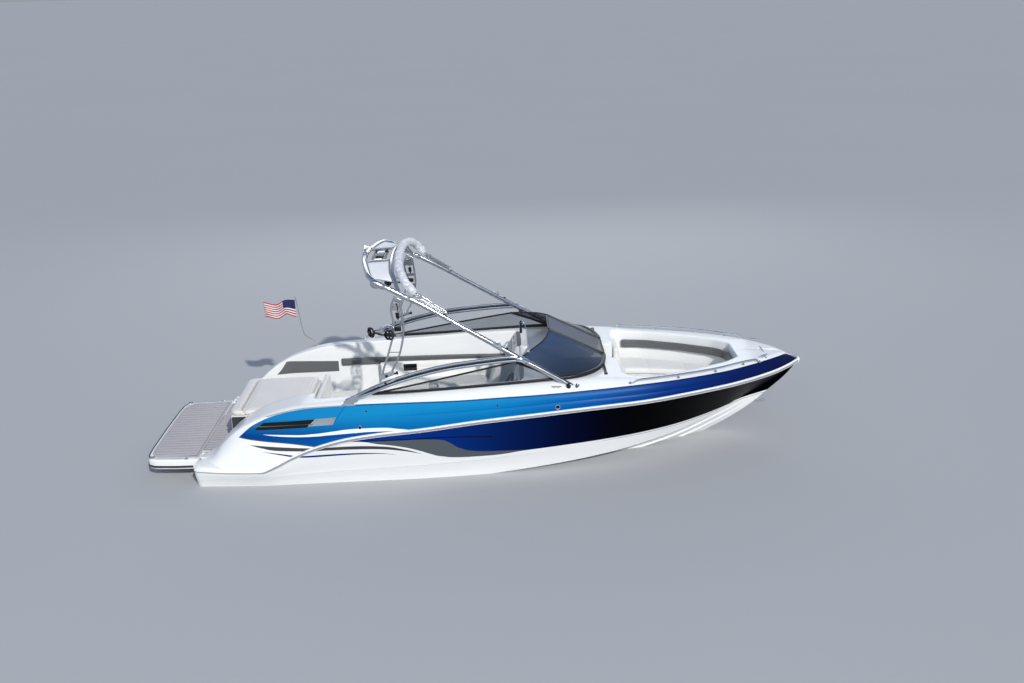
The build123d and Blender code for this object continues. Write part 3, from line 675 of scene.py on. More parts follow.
def mat_canvas():
    N = Nodes("boot_canvas")
    wx = N.n("TexWave")
    wx.inputs["Scale"].default_value = 320
    N.link(N.co, wx.inputs["Vector"])
    # the canvas is painted a darker bluish grey where the fold noise is low: painted shade in the folds
    fold = N.noise(34, 3, vec=N.scaled(.55, 1.3, .55), distortion=.6)
    N.color(N.mix(N.math("MULTIPLY_ADD", fold, 3.2, -1.35, clamp=True), lin(.74, .755, .79), lin(.93, .93, .94)))
    N.set(Roughness=.82, Sheen_Weight=.25)
    N.bump(N.math("ADD", N.math("MULTIPLY", wx.outputs["Fac"], .3), N.noise(60, 4)), .35, .0018)
    return N.mat


M = dict(
    hull=mat_hull(), side=mat_side(), gel=mat_gel(), nonskid=mat_nonskid(),
    liner=mat_gel("liner_white", (.915, .915, .90), (.88, .88, .87)),
    tower=mat_metal("tower_alloy", (.80, .81, .83), .16, .08, 30),
    chrome=mat_metal("chrome", (.90, .91, .92), .07, .05, 30),
    rail=mat_metal("rail_alloy", (.92, .92, .93), .30, .1, 40),
    railwhite=mat_plastic("rail_vinyl", (.93, .935, .935), .3, 90, .05),
    black=mat_plastic("black_trim", (.035, .036, .04), .35),
    rubber=mat_plastic("rubber", (.05, .05, .055), .7, 200, .3),
    grey=mat_plastic("grey_trim", (.42, .43, .45), .5),
    vinyl=mat_vinyl("vinyl_white"),
    vinyl_pleat=mat_vinyl("vinyl_pleated", pleat=(1, .115, .0)),
    vinyl_grey=mat_vinyl("vinyl_grey", (.38, .385, .39)),
    vinyl_sand=mat_vinyl("vinyl_sand", (.885, .865, .85)),
    glass=mat_glass(), sideglass=mat_glass_clear(), foam=mat_mat(), canvas=mat_canvas(),
    drive=mat_plastic("drive_paint", (.10, .105, .12), .25, 60, .05),
    prop=mat_metal("prop_steel", (.80, .80, .80), .14),
    engine=mat_plastic("engine_paint", (.12, .13, .15), .4),
    dial=mat_plastic("dial_face", (.92, .92, .92), .3),
    darkblue=mat_plastic("dark_housing", (.04, .07, .16), .25),
    canvas_dark=mat_plastic("webbing", (.10, .10, .11), .8),
)


# =====================================================================  hull and deck surfaces
CROWN_Y = pchip([(0, .93), (.35, 1.01), (.7, 1.08), (1, 1.12), (1.45, 1.14), (2, 1.13), (3, 1.11), (4, 1.095), (5, 1.01), (5.8, .96), (6.5, .76), (7.1, .48), (7.5, .19), (7.72, .04), (7.88, .005)])
CROWN_Z = pchip([(0, .272), (.2, .372), (.35, .53), (.528, .702), (.7, .826), (1.0, .962), (1.45, 1.07), (2, 1.108), (3, 1.163), (4, 1.213), (5, 1.235), (5.35, 1.220), (5.8, 1.178), (6.5, 1.172), (7.1, 1.172), (7.5, 1.152), (7.64, 1.130), (7.72, 1.098), (7.80, 1.056), (7.88, 1.018)])
STERN_R = .07


def corner_in(x):
    """How far the side draws in at the rounded stern corner."""
    x = np.asarray(x, float)
    r = STERN_R
    d = np.clip(r - x, 0, r)
    return r - np.sqrt(np.maximum(r * r - d * d, 0))


def rub_y(x):
    return RUB_Y(x) - corner_in(x)


def edge_y(x):
    return EDGE_Y(x) - corner_in(x) * .6


def xs_stations():
    a = np.array([0, .006, .014, .024, .036, .05, .066])
    b = np.arange(.09, 1.6, .035)
    c = np.arange(1.6, 6.4, .07)
    d = np.arange(6.4, 7.6, .04)
    e = np.array([7.6, 7.64, 7.68, 7.72, 7.76, 7.80, 7.83, 7.855, 7.875])
    return np.concatenate([a, b, c, d, e])


KNUCKLE_Z = pchip([(0, .118), (.30, .128), (1.17, .160), (1.94, .188), (2.83, .216), (3.21, .229), (4.4, .285), (5.4, .36)])


def hull_rows(x):
    """Outer hull profile at x from the keel to the rub rail, (y, z) rows."""
    kz, cy, cz = float(KEEL_Z(x)), float(CHINE_Y(x)) - float(corner_in(x)), float(CHINE_Z(x))
    ry, rz = float(rub_y(x)), float(RUB_Z(x))
    k = min(1.0, cy / .55)
    fl = .075 * k
    iy, iz = cy - fl, cz - .020 * k
    rows = []
    for t in np.linspace(0, 1, 9)[:-1]:
        pass
    marks = (.34, .66)
    sd = .018 * k * max(0.0, min(1.0, (6.9 - x) / 1.2))
    last = 0.0
    for mk in marks:
        for t in np.linspace(last, mk - .03, 4):
            rows.append((iy * t, kz + (iz - kz) * t))
        y0, z0 = iy * (mk - .03), kz + (iz - kz) * (mk - .03)
        y1, z1 = iy * (mk + .03), kz + (iz - kz) * (mk + .03)
        rows.append((y1 - .004, z0 - sd * .25))
        rows.append((y1, z0 - sd * .2 + .002))
        rows.append((y1, z1))
        last = mk + .03
    for t in np.linspace(last + .02, 1.0, 5):
        rows.append((iy * t, kz + (iz - kz) * t))
    rows.append((cy - .012 * k, cz - .012 * k))
    rows.append((cy - .003, cz - .008 * k))
    rows.append((cy, cz))
    # side: a soft knuckle above the chine, then a near flat side up to the rail
    kn = float(KNUCKLE_Z(x))
    kf = max(0.0, min(1.0, (5.0 - x) / 1.8))
    conc = .012 * max(0.0, min(1.0, (x - 4.6) / 1.5))
    dz = rz - cz
    tk = max(.1, min(.9, (kn - cz) / dz))
    pts = []
    for t in np.concatenate([np.linspace(.03, tk - .015, 5), [tk - .004, tk + .004], np.linspace(tk + .03, 1.0, 12)]):
        y = cy + (ry - cy) * t
        z = cz + dz * t
        off = 0.0
        if t < tk:
            off -= .010 * kf * math.sin(math.pi * min(1, t / tk)) 
            if t > tk - .01:
                off += .0
        else:
            off += .007 * kf * math.sin(math.pi * min(1.0, (t - tk) / max(.05, (1 - tk))))
            off += .005 * kf * max(0.0, 1 - (t - tk) / .06)
        off -= conc * math.sin(math.pi * t)
        pts.append((max(y + off, .004), z))
    return rows + pts


def build_hull():
    B = Build()
    xs = xs_stations()
    rows = [hull_rows(float(x)) for x in xs]
    k = len(rows[0])
    V = []
    for x, rr in zip(xs, rows):
        for (y, z) in rr:
            # the stem rakes: the ends lie on the drawn profile
            V.append((float(x), y, z))
    Fq = []
    for i in range(len(xs) - 1):
        for j in range(k - 1):
            a = i * k + j
            Fq.append((a, a + k, a + k + 1, a + 1))
    B.add(V, Fq)
    B.mirror()
    # transom
    n = k
    left = [(0.0, y, z) for y, z in rows[0]]
    right = [(0.0, -y, z) for y, z in rows[0]]
    ring = left + list(reversed(right[1:]))
    B.add(ring, [tuple(range(len(ring)))])
    # inner shelf that closes the hull under the rub rail
    xs2 = xs
    Vt, Ft = [], []
    for x in xs2:
        y = float(rub_y(x))
        Vt += [(float(x), y, float(RUB_Z(x))), (float(x), max(y - .05, 0), float(RUB_Z(x)))]
    for i in range(len(xs2) - 1):
        Ft.append((2 * i, 2 * i + 1, 2 * i + 3, 2 * i + 2))
    C = Build().add(Vt, Ft).mirror()
    B.add(C.v, C.f)
    o = B.obj("hull_shell", [M["hull"]])
    recalc(o, 2e-4)
    sharp(o, 24)
    return o


def crease_t(x):
    """Where the blue band's crease lies between rail and deck edge, and how strong it is."""
    cz = float(CREASE(x))
    t = (cz - float(RUB_Z(x))) / max(.02, float(EDGE_Z(x)) - float(RUB_Z(x)))
    w = max(0.0, min(1.0, (x - 2.15) / .7)) * max(0.0, min(1.0, (7.2 - x) / 1.3))
    return max(.25, min(.8, t)), w


CREASE = pchip([(1.6, .86), (2.2, .915), (2.64, .938), (3.2, .959), (3.95, .997), (4.7, 1.032), (5.27, 1.044), (6.2, 1.062), (7.0, 1.070), (7.6, 1.06)])


def band_rows(x):
    ry, rz = float(rub_y(x)), float(RUB_Z(x)) + .004
    ey, ez = float(edge_y(x)), float(EDGE_Z(x))
    tc, w = crease_t(x)
    q = max(0.0, min(1.0, (1.25 - x) / .9)) * max(0.0, min(1.0, (x + .02) / .35))
    bulge = .016 + .03 * q
    bow = max(0.0, min(1.0, (x - 6.6) / 1.0))
    bulge *= (1 - .6 * bow)
    L = math.hypot(ey - ry, ez - rz) + 1e-6
    ny, nz = (ez - rz) / L, (ry - ey) / L
    ts = list(np.linspace(0, tc - .045, 9)) + [tc - .028, tc - .016, tc - .006, tc + .006, tc + .018] + list(np.linspace(tc + .05, .965, 8))
    rr = []
    for t in ts:
        y, z = ry + (ey - ry) * t, rz + (ez - rz) * t
        o1 = bulge * math.sin(math.pi * t)
        if t < tc - .02:
            o2 = .010 * math.sin(math.pi * min(1.0, (t / (tc)))) + .010 * (t / tc)
        elif t < tc:
            o2 = .010 * (tc - t) / .02 + .000
        else:
            o2 = -.002 + .006 * math.sin(math.pi * (t - tc) / (1 - tc))
        off = o1 * (1 - .55 * w) + o2 * w
        rr.append((max(y + ny * off, .003), z + nz * off))
    # rounded top edge
    r = .016
    yt, zt = rr[-1]
    for a in (35, 65, 90):
        a = math.radians(a)
        rr.append((max(yt - (1 - math.cos(a)) * r * 1.3 - .0, .001), zt + (ez + .002 - zt) * math.sin(a)))
    return rr


def top_inner(x):
    """(y, z) where the band's rounded top ends and the deck top starts."""
    return band_rows(float(x))[-1]


def build_band():
    B = Build()
    xs = xs_stations()
    rows = [band_rows(float(x)) for x in xs]
    k = len(rows[0])
    V = [(float(x), y, z) for x, rr in zip(xs, rows) for (y, z) in rr]
    Fq = []
    for i in range(len(xs) - 1):
        for j in range(k - 1):
            a = i * k + j
            Fq.append((a, a + k, a + k + 1, a + 1))
    B.add(V, Fq)
    # closing face at the stern corner
    st = [(0.0, y, z) for y, z in rows[0]]
    B.add(st + [(0.0, rows[0][-1][0], .20), (0.0, rows[0][0][0], .20)], [tuple(range(len(st) + 2))])
    B.mirror()
    o = B.obj("deck_side", [M["side"]])
    recalc(o, 2e-4)
    sharp(o, 28)
    return o


def H(x, y):
    """Height of the deck moulding's top."""
    x = float(x)
    ay = abs(float(y))
    ey, ez = top_inner_cache(x)
    cy, cz = float(CROWN_Y(x)), float(CROWN_Z(x))
    cy = min(cy, ey - .012)
    t = (ey - ay) / max(ey - cy, .004)
    t = max(0.0, min(1.0, t))
    s = math.sin(t * math.pi / 2) ** .9
    return ez + (max(cz, ez) - ez) * s


_tic = {}


def top_inner_cache(x):
    k = round(x, 3)
    if k not in _tic:
        _tic[k] = top_inner(max(0.0, k))
    return _tic[k]


def fillet(pts, r_of):
    """Plan outline with its corners rounded; r_of gives one radius per point (0 keeps it)."""
    out = []
    n = len(pts)
    for i in range(n):
        p = Vector(pts[i][:2])
        if i in (0, n - 1) or r_of[i] <= 0:
            out.append(tuple(p))
            continue
        a, b = Vector(pts[i - 1][:2]), Vector(pts[i + 1][:2])
        u, v = (a - p), (b - p)
        lu, lv = u.length, v.length
        u.normalize()
        v.normalize()
        ang = math.acos(max(-1, min(1, u.dot(v))))
        if ang > math.pi - .02:
            out.append(tuple(p))
            continue
        d = min(r_of[i] / math.tan(ang / 2), lu * .48, lv * .48)
        r = d * math.tan(ang / 2)
        bis = (u + v).normalized()
        c = p + bis * (r / math.sin(ang / 2))
        s, e = p + u * d, p + v * d
        a0 = math.atan2(s.y - c.y, s.x - c.x)
        a1 = math.atan2(e.y - c.y, e.x - c.x)
        da = (a1 - a0 + math.pi) % (2 * math.pi) - math.pi
        k = max(2, int(abs(da) / math.radians(11)))
        for j in range(k + 1):
            t = a0 + da * j / k
            out.append((c.x + r * math.cos(t), c.y + r * math.sin(t)))
    return out


def densify(pts, step):
    out = []
    for i in range(len(pts) - 1):
        a, b = Vector(pts[i]), Vector(pts[i + 1])
        k = max(1, int(math.ceil((b - a).length / step)))
        for j in range(k):
            out.append(tuple(a + (b - a) * (j / k)))
    out.append(tuple(pts[-1]))
    return out


def inside(poly, x, y):
    c = False
    n = len(poly)
    j = n - 1
    for i in range(n):
        xi, yi = poly[i]
        xj, yj = poly[j]
        if (yi > y) != (yj > y) and x < (xj - xi) * (y - yi) / (yj - yi) + xi:
            c = not c
        j = i
    return c


def inside_np(poly, P):
    P = np.asarray(P)
    c = np.zeros(len(P), bool)
    n = len(poly)
    j = n - 1
    for i in range(n):
        xi, yi = poly[i]
        xj, yj = poly[j]
        if yi != yj:
            hit = ((yi > P[:, 1]) != (yj > P[:, 1])) & (P[:, 0] < (xj - xi) * (P[:, 1] - yi) / (yj - yi) + xi)
            c ^= hit
        j = i
    return c


def near_np(poly, P, closed=True):
    """Distance of each point to the outline."""
    P = np.asarray(P)
    best = np.full(len(P), 1e9)
    n = len(poly)
    for i in range(n if closed else n - 1):
        a, b = np.array(poly[i]), np.array(poly[(i + 1) % n])
        ab = b - a
        L = (ab ** 2).sum() + 1e-12
        t = np.clip(((P - a) @ ab) / L, 0, 1)
        d = np.linalg.norm(P - (a + t[:, None] * ab), axis=1)
        best = np.minimum(best, d)
    return best


def fill(outline, holes, step, zf):
    """Triangles over a plan outline less its holes; zf(x, y) gives the height."""
    pts, edges = [], []
    for loop in [outline] + holes:
        n0 = len(pts)
        pts += [Vector(p) for p in loop]
        edges += [(n0 + i, n0 + (i + 1) % len(loop)) for i in range(len(loop))]
    o = np.array(outline)
    gx = np.arange(o[:, 0].min(), o[:, 0].max(), step)
    gy = np.arange(o[:, 1].min(), o[:, 1].max(), step)
    G = np.array([(x + (step * .5 if j % 2 else 0), y) for j, y in enumerate(gy) for x in gx])
    keep = inside_np(outline, G) & (near_np(outline, G) > step * .45)
    for h in holes:
        keep &= ~inside_np(h, G) & (near_np(h, G) > step * .45)
    pts += [Vector(p) for p in G[keep]]
    vs, es, fs, *_ = delaunay_2d_cdt(pts, edges, [], 0, 1e-6)
    cen = np.array([[sum(vs[i].x for i in f) / len(f), sum(vs[i].y for i in f) / len(f)] for f in fs])
    ok = inside_np(outline, cen)
    for h in holes:
        ok &= ~inside_np(h, cen)
    V = [(v.x, v.y, zf(v.x, v.y)) for v in vs]
    return V, [tuple(f) for f, k in zip(fs, ok) if k]


def lip(line, r, zb, zf, side=1, n=5, closed=False, inner=None):
    """Rounded lip and wall down from the deck along a plan line. zb: bottom height, or a list.
    side=1 puts the well to the right of the line's direction."""
    L = [Vector(p) for p in line]
    m_ = len(L)
    V, Fc = [], []
    k = n + 2
    for i in range(m_):
        a = L[(i - 1) % m_] if (closed or i > 0) else L[i]
        b = L[(i + 1) % m_] if (closed or i < m_ - 1) else L[i]
        t = (b - a).normalized()
        nr = Vector((t.y, -t.x)) * side
        h = zf(L[i].x, L[i].y)
        bot = zb[i] if isinstance(zb, (list, tuple)) else zb
        for j in range(n + 1):
            an = math.pi / 2 * j / n
            q = L[i] + nr * (r * math.sin(an))
            V.append((q.x, q.y, h - r + r * math.cos(an)))
        q = L[i] + nr * r
        V.append((q.x, q.y, bot))
    for i in range(m_ if closed else m_ - 1):
        a, b = i * k, ((i + 1) % m_) * k
        for j in range(k - 1):
            Fc.append((a + j, b + j, b + j + 1, a + j + 1))
    return V, Fc


LIP = .022
X_END = 7.70


def outer_line(y_sign=1):
    xs = list(np.arange(0, 7.0, .05)) + list(np.arange(7.0, X_END + .001, .025))
    return [(float(x), y_sign * top_inner_cache(float(x))[0]) for x in xs]


# inner edge of the deck, port half, from the bow's centre line aft; columns x, y, corner radius
INNER_BOW = [(7.02, 0, 0), (7.02, .27, .10), (6.82, .452, .35), (6.41, .662, .6), (5.91, .862, .6), (5.40, .925, .16), (5.40, .28, .07),
             (4.17, .28, .06), (4.17, .972, .10), (3.3, 1.022, .8), (2.5, 1.032, .8), (1.5, 1.007, .6)]
INNER_PORT = INNER_BOW + [(.9, 1.022, .5), (.42, .952, .5), (0, .905, 0)]
INNER_STBD = INNER_BOW[:-1] + [(1.52, 1.007, .12), (1.52, .782, .06), (0, .782, 0)]


def inner_line(rows):
    pts = fillet([(r[0], r[1]) for r in rows], [r[2] for r in rows])
    return densify(pts, .035)


def wall_foot(x, y):
    """Height where the moulding's wall ends below a point of the inner line."""
    if x < 1.46:
        return .30
    if x < 4.10:
        return .252
    if x < 4.19 and abs(y) > .33:
        return .78
    if x < 5.36:
        return .252
    return .70


def build_deck():
    B = Build()
    for sgn, rows in ((1, INNER_PORT), (-1, INNER_STBD)):
        inner = inner_line(rows)
        outer = outer_line(1)
        loop = outer + [(X_END + .012, 0.0)] + inner
        V, Fc = fill(loop, [], .034, H)
        nV, nF = lip(inner, LIP, [wall_foot(*p) for p in inner], H, side=-1)
        C = Build().add(V, Fc).add(nV, nF)
        vs = [(x, y * sgn, z) for x, y, z in C.v]
        B.add(vs, C.f if sgn > 0 else [tuple(reversed(f)) for f in C.f])
    # cap at the stem between the last fill row and the bow's point
    xs = [X_END + .0, 7.74, 7.78, 7.82, 7.85, 7.875]
    top = [top_inner_cache(x) for x in xs]
    V, Fc = [], []
    for x, (y, z) in zip(xs, top):
        V += [(x, y, z), (x, 0, z + .004), (x, -y, z)]
    for i in range(len(xs) - 1):
        a = 3 * i
        Fc += [(a, a + 3, a + 4, a + 1), (a + 1, a + 4, a + 5, a + 2)]
    B.add(V, Fc)
    o = B.obj("deck_top", [M["gel"]])
    recalc(o, 3e-4)
    sharp(o, 38)
    return o


def quad(B, a, b, c, d, mat=0, nu=1, nv=1):
    """A flat or ruled patch through four corners."""
    a, b, c, d = map(Vector, (a, b, c, d))
    V = []
    for i in range(nu + 1):
        for j in range(nv + 1):
            u, v = i / nu, j / nv
            V.append((a * (1 - u) + b * u) * (1 - v) + (d * (1 - u) + c * u) * v)
    Fc = [(i * (nv + 1) + j, (i + 1) * (nv + 1) + j, (i + 1) * (nv + 1) + j + 1, i * (nv + 1) + j + 1) for i in range(nu) for j in range(nv)]
    B.add(V, Fc, mat)


def build_liner():
    """Floors, the footwells under the dash, the walk-through, the bow seat bases."""
    B = Build()
    # cockpit sole under the floor panel, and its side walls meet the deck's walls
    sole = fillet([(1.46, -.985), (2.5, -1.012), (3.3, -1.002), (4.15, -.952), (4.15, .952), (3.3, 1.002), (2.5, 1.012), (1.46, .985)], [0] * 8)
    V, Fc = fill(densify(sole + [sole[0]], .12)[:-1], [], .12, lambda x, y: .251)
    B.add(V, Fc)
    quad(B, (4.14, -.302, .251), (5.50, -.302, .251), (5.50, .302, .251), (4.14, .302, .251))
    for s in (1, -1):
        # footwells
        y0, y1 = .35 * s, .93 * s
        x0, x1, z0, z1 = 4.14, 4.76, .251, .80
        quad(B, (x0, y0, z0), (x1, y0, z0), (x1, y1, z0), (x0, y1, z0))
        quad(B, (x0, y0, z1), (x1, y0, z1), (x1, y1, z1), (x0, y1, z1))
        quad(B, (x1, y0, z0), (x1, y1, z0), (x1, y1, z1), (x1, y0, z1))
        quad(B, (x0, y0, z0), (x1, y0, z0), (x1, y0, z1), (x0, y0, z1))
        quad(B, (x0, y1, z0), (x1, y1, z0), (x1, y1, z1), (x0, y1, z1))
        quad(B, (4.15, .302 * s, z0), (4.15, y0, z0), (4.15, y0, z1), (4.15, .302 * s, z1))
        quad(B, (4.15, .955 * s, z0), (4.15, y1, z0), (4.15, y1, z1), (4.15, .955 * s, z1))
        # bow seat base: shelf and the wall down to the well
        wall = fillet([(5.42, .902), (5.9, .842), (6.4, .642), (6.8, .432), (7.0, .252), (7.0, 0)], [0, .6, .6, .35, .1, 0])
        well = fillet([(5.42, .302), (5.9, .300), (6.4, .190), (6.62, .075), (6.66, 0)], [0, .5, .3, .06, 0])
        loop = densify([(x, y) for x, y in wall], .08) + densify([(x, y) for x, y in reversed(well)], .08)
        V, Fc = fill(loop, [], .08, lambda x, y: .722)
        B.add([(x, y * s, z) for x, y, z in V], Fc if s > 0 else [tuple(reversed(f)) for f in Fc])
        dw = densify(well, .05)
        nV, nF = lip(dw, .010, .45, lambda x, y: .722, side=1, n=3)
        B.add([(x, y * s, z) for x, y, z in nV], nF if s > 0 else [tuple(reversed(f)) for f in nF])
        quad(B, (5.38, .302 * s, .25), (5.50, .302 * s, .25), (5.50, .302 * s, .722), (5.38, .302 * s, .722))
    # bow well floor under its mat, and the step up to it
    well = [(5.49, .312), (5.9, .300), (6.4, .190), (6.66, .03)]
    wl = densify(well, .08)
    loop = wl + [(x, -y) for x, y in reversed(wl)]
    V, Fc = fill(loop, [], .08, lambda x, y: .451)
    B.add(V, Fc)
    quad(B, (5.49, -.31, .25), (5.49, .31, .25), (5.49, .31, .451), (5.49, -.31, .451))
    # stern: the ledge under the sun pad, the passage floor, the transom's top
    quad(B, (0, -.79, .309), (1.47, -.79, .309), (1.47, .44, .309), (0, .44, .309))
    quad(B, (0, .43, .291), (1.47, .43, .291), (1.47, 1.0, .291), (0, .885, .291))
    quad(B, (0, .44, .291), (1.47, .44, .291), (1.47, .44, .309), (0, .44, .309))
    quad(B, (0, -1.1, .20), (0, 1.1, .20), (0, 1.1, .291), (0, -1.1, .291))
    quad(B, (0.0, -.79, .291), (0.0, .44, .291), (0.0, .44, .309), (0.0, -.79, .309))
    # bulkheads between the sole and the stern ledges
    quad(B, (1.452, -1.0, .25), (1.452, 1.0, .25), (1.452, 1.0, .31), (1.452, -1.0, .31))
    o = B.obj("liner", [M["liner"]])
    recalc(o, 2e-4)
    sharp(o, 40)
    return o


def build_rail():
    """Rub rail: white vinyl with a satin insert; each strip of the profile has its own vertices."""
    B = Build()
    xs = [float(x) for x in xs_stations() if x > .004]
    kinds = (0, 0, 2, 1, 1, 1, 2, 0, 0, 0)
    for sgn in (1, -1):
        rows = []
        for x in xs:
            g = max(0.0, min(1.0, (x - .82) / .22))
            h = .011 + .013 * g
            d = .010 + .012 * g
            ry, rz = float(rub_y(x)) + .001, float(RUB_Z(x)) + .001
            pr = [(-.004, -h), (d * .8, -h), (d * .92, -h * .72), (d * .72, -h * .58), (d * .84, -h * .40), (d * .90, -h * .10), (d * .84, h * .16), (d * .74, h * .26), (d, h * .36), (d * .92, h * .86), (-.004, h * 1.02)]
            rows.append([(x, max(ry + a, .002) * sgn, rz + b) for a, b in pr])
        for j in range(len(rows[0]) - 1):
            V = []
            for r_ in rows:
                V += [r_[j], r_[j + 1]]
            Fc = [((2 * i, 2 * i + 2, 2 * i + 3, 2 * i + 1) if sgn < 0 else (2 * i, 2 * i + 1, 2 * i + 3, 2 * i + 2)) for i in range(len(rows) - 1)]
            B.add(V, Fc, kinds[j])
        for e in (0, -1):
            B.add(rows[e], [tuple(range(len(rows[e])))], 0)
    return B.obj("rub_rail_trim", [M["railwhite"], M["rail"], M["grey"]])


# =====================================================================  more materials
def mat_panelmesh():
    """White moulded roof panel with a fine woven texture."""
    N = Nodes("roof_panel_white")
    w1, w2 = N.n("TexWave"), N.n("TexWave")
    w1.inputs["Scale"].default_value = 60
    w2.inputs["Scale"].default_value = 60
    w2.bands_direction = "Y"
    N.link(N.co, w1.inputs["Vector"])
    N.link(N.co, w2.inputs["Vector"])
    wv = N.math("MULTIPLY", w1.outputs["Fac"], w2.outputs["Fac"])
    N.color(N.mix(N.math("MULTIPLY", wv, .5), lin(.92, .925, .93), lin(.80, .81, .83)))
    N.set(Roughness=.5)
    N.bump(wv, .4, .0012)
    return N.mat


def mat_flag(name, col):
    N = Nodes(name)
    w1 = N.n("TexWave")
    w1.inputs["Scale"].default_value = 500
    N.link(N.co, w1.inputs["Vector"])
    N.color(N.mix(N.noise(14, 3), lin(*col), lin(*(c * .86 for c in col))))
    N.set(Roughness=.8, Sheen_Weight=.15)
    N.bump(w1.outputs["Fac"], .2, .0006)
    return N.mat


M.update(
    panelmesh=mat_panelmesh(),
    console=mat_plastic("console_grey", (.70, .705, .71), .4, 200, .1),
    glossblack=mat_plastic("gloss_black", (.02, .021, .024), .12, 60, .02),
    red=mat_plastic("red_trim", (.60, .04, .04), .35),
    vinyl_seam=mat_vinyl("vinyl_piping", (.80, .80, .79)),
    groove=mat_plastic("groove_dark", (.24, .235, .245), .8),
    darkgrey=mat_plastic("dark_grey_trim", (.16, .165, .175), .5),
    midgrey=mat_gel("gel_grey", (.40, .405, .41), (.37, .375, .38)),
    flag_red=mat_flag("flag_red", (.68, .08, .12)), flag_white=mat_flag("flag_white", (.93, .92, .92)), flag_blue=mat_flag("flag_blue", (.07, .11, .34)),
)
# =====================================================================  shared shapes
def mir(pts):
    return [(p[0], -p[1], p[2]) for p in pts]


def hoop(half):
    """A path from starboard to the centre line, carried on to port."""
    h = [Vector(p) for p in half]
    return h + [Vector((p.x, -p.y, p.z)) for p in reversed(h[:-1])]


def slab(outline, z0, z1, r=.02, n=4, rb=None, zf=None):
    """A plate over a plan outline with rounded top and bottom edges. Returns verts, faces."""
    P = [Vector(p) for p in outline]
    m_ = len(P)
    area = sum(P[i].x * P[(i + 1) % m_].y - P[(i + 1) % m_].x * P[i].y for i in range(m_))
    if area < 0:
        P.reverse()
    N = []
    for i in range(m_):
        a, b = (P[i] - P[i - 1]).normalized(), (P[(i + 1) % m_] - P[i]).normalized()
        na, nb = Vector((-a.y, a.x)), Vector((-b.y, b.x))
        q = na + nb
        q = q.normalized() if q.length > 1e-6 else na
        N.append(q / max(.5, q.dot(na)))
    rb = r if rb is None else rb
    rows = [(rb * (1 - math.sin(math.pi / 2 * j / n)), z0 + rb * (1 - math.cos(math.pi / 2 * j / n))) for j in range(n + 1)] if rb > 0 else [(0, z0)]
    rows += [(r * (1 - math.cos(math.pi / 2 * j / n)), z1 - r * (1 - math.sin(math.pi / 2 * j / n))) for j in range(n + 1)] if r > 0 else [(0, z1)]
    V = []
    for ins, z in rows:
        for p, q in zip(P, N):
            w = p + q * ins
            V.append((w.x, w.y, z))
    Fc = []
    for k in range(len(rows) - 1):
        for i in range(m_):
            i2 = (i + 1) % m_
            Fc.append((k * m_ + i, k * m_ + i2, (k + 1) * m_ + i2, (k + 1) * m_ + i))
    Fc.append(tuple(reversed(range(m_))))
    Fc.append(tuple((len(rows) - 1) * m_ + i for i in range(m_)))
    return V, Fc


def round_loop(pts, r, step=None):
    """A closed plan outline with its corners rounded by r (one value or one per point)."""
    rr = r if isinstance(r, (list, tuple)) else [r] * len(pts)
    n = len(pts)
    out = []
    for i in range(n):
        seg = fillet([pts[i - 1], pts[i], pts[(i + 1) % n]], [0, rr[i], 0])
        out += seg[1:-1] if rr[i] > 0 else [tuple(pts[i])]
    if step:
        out = densify(out + [out[0]], step)[:-1]
    return out


def thick(grid, t):
    """A sheet of grid points made t thick to the side of its normal. Returns verts, faces."""
    G = [[Vector(p) for p in row] for row in grid]
    a, b = len(G), len(G[0])
    V, W = [], []
    for i in range(a):
        for j in range(b):
            du = G[min(i + 1, a - 1)][j] - G[max(i - 1, 0)][j]
            dv = G[i][min(j + 1, b - 1)] - G[i][max(j - 1, 0)]
            n = du.cross(dv)
            if n.length < 1e-9:
                k = min(max(i, 1), a - 2)
                n = (G[min(k + 1, a - 1)][j] - G[k - 1][j]).cross(G[k][min(j + 1, b - 1)] - G[k][max(j - 1, 0)])
            n = n.normalized() if n.length > 1e-12 else Vector((0, 0, 1))
            V.append(G[i][j])
            W.append(G[i][j] + n * t)
    o = a * b
    Fc = []
    for i in range(a - 1):
        for j in range(b - 1):
            p, q, r_, s = i * b + j, (i + 1) * b + j, (i + 1) * b + j + 1, i * b + j + 1
            Fc.append((s, r_, q, p))
            Fc.append((o + p, o + q, o + r_, o + s))
    rim = [i * b for i in range(a)] + [(a - 1) * b + j for j in range(1, b)] + [i * b + b - 1 for i in range(a - 2, -1, -1)] + [j for j in range(b - 2, 0, -1)]
    for k in range(len(rim)):
        p, q = rim[k], rim[(k + 1) % len(rim)]
        Fc.append((p, q, o + q, o + p))
    return V + W, Fc


def at_len(path, n):
    """n points evenly spaced along a path."""
    P = [Vector(p) for p in path]
    d = [0.0]
    for i in range(1, len(P)):
        d.append(d[-1] + (P[i] - P[i - 1]).length)
    out, k = [], 0
    for j in range(n):
        s = d[-1] * j / (n - 1)
        while k < len(P) - 2 and d[k + 1] < s:
            k += 1
        t = (s - d[k]) / max(1e-9, d[k + 1] - d[k])
        out.append(P[k] + (P[k + 1] - P[k]) * t)
    return out


def bolt(B, p, axis, r=.008, h=.006, mat=0, n=12):
    V, Fc = lathe(p, axis, [(0, r), (h * .6, r), (h, r * .7), (h, 0)], n)
    B.add(V, Fc, mat)


def disc(B, p, axis, r, h, mat=0, n=28, dome=.3):
    """A turned cap with a soft edge."""
    V, Fc = lathe(p, axis, [(-.002, r), (h * .55, r), (h * .9, r * .93), (h, r * .8), (h * (1 + dome * .4), r * .4), (h * (1 + dome * .5), 0)], n)
    B.add(V, Fc, mat)


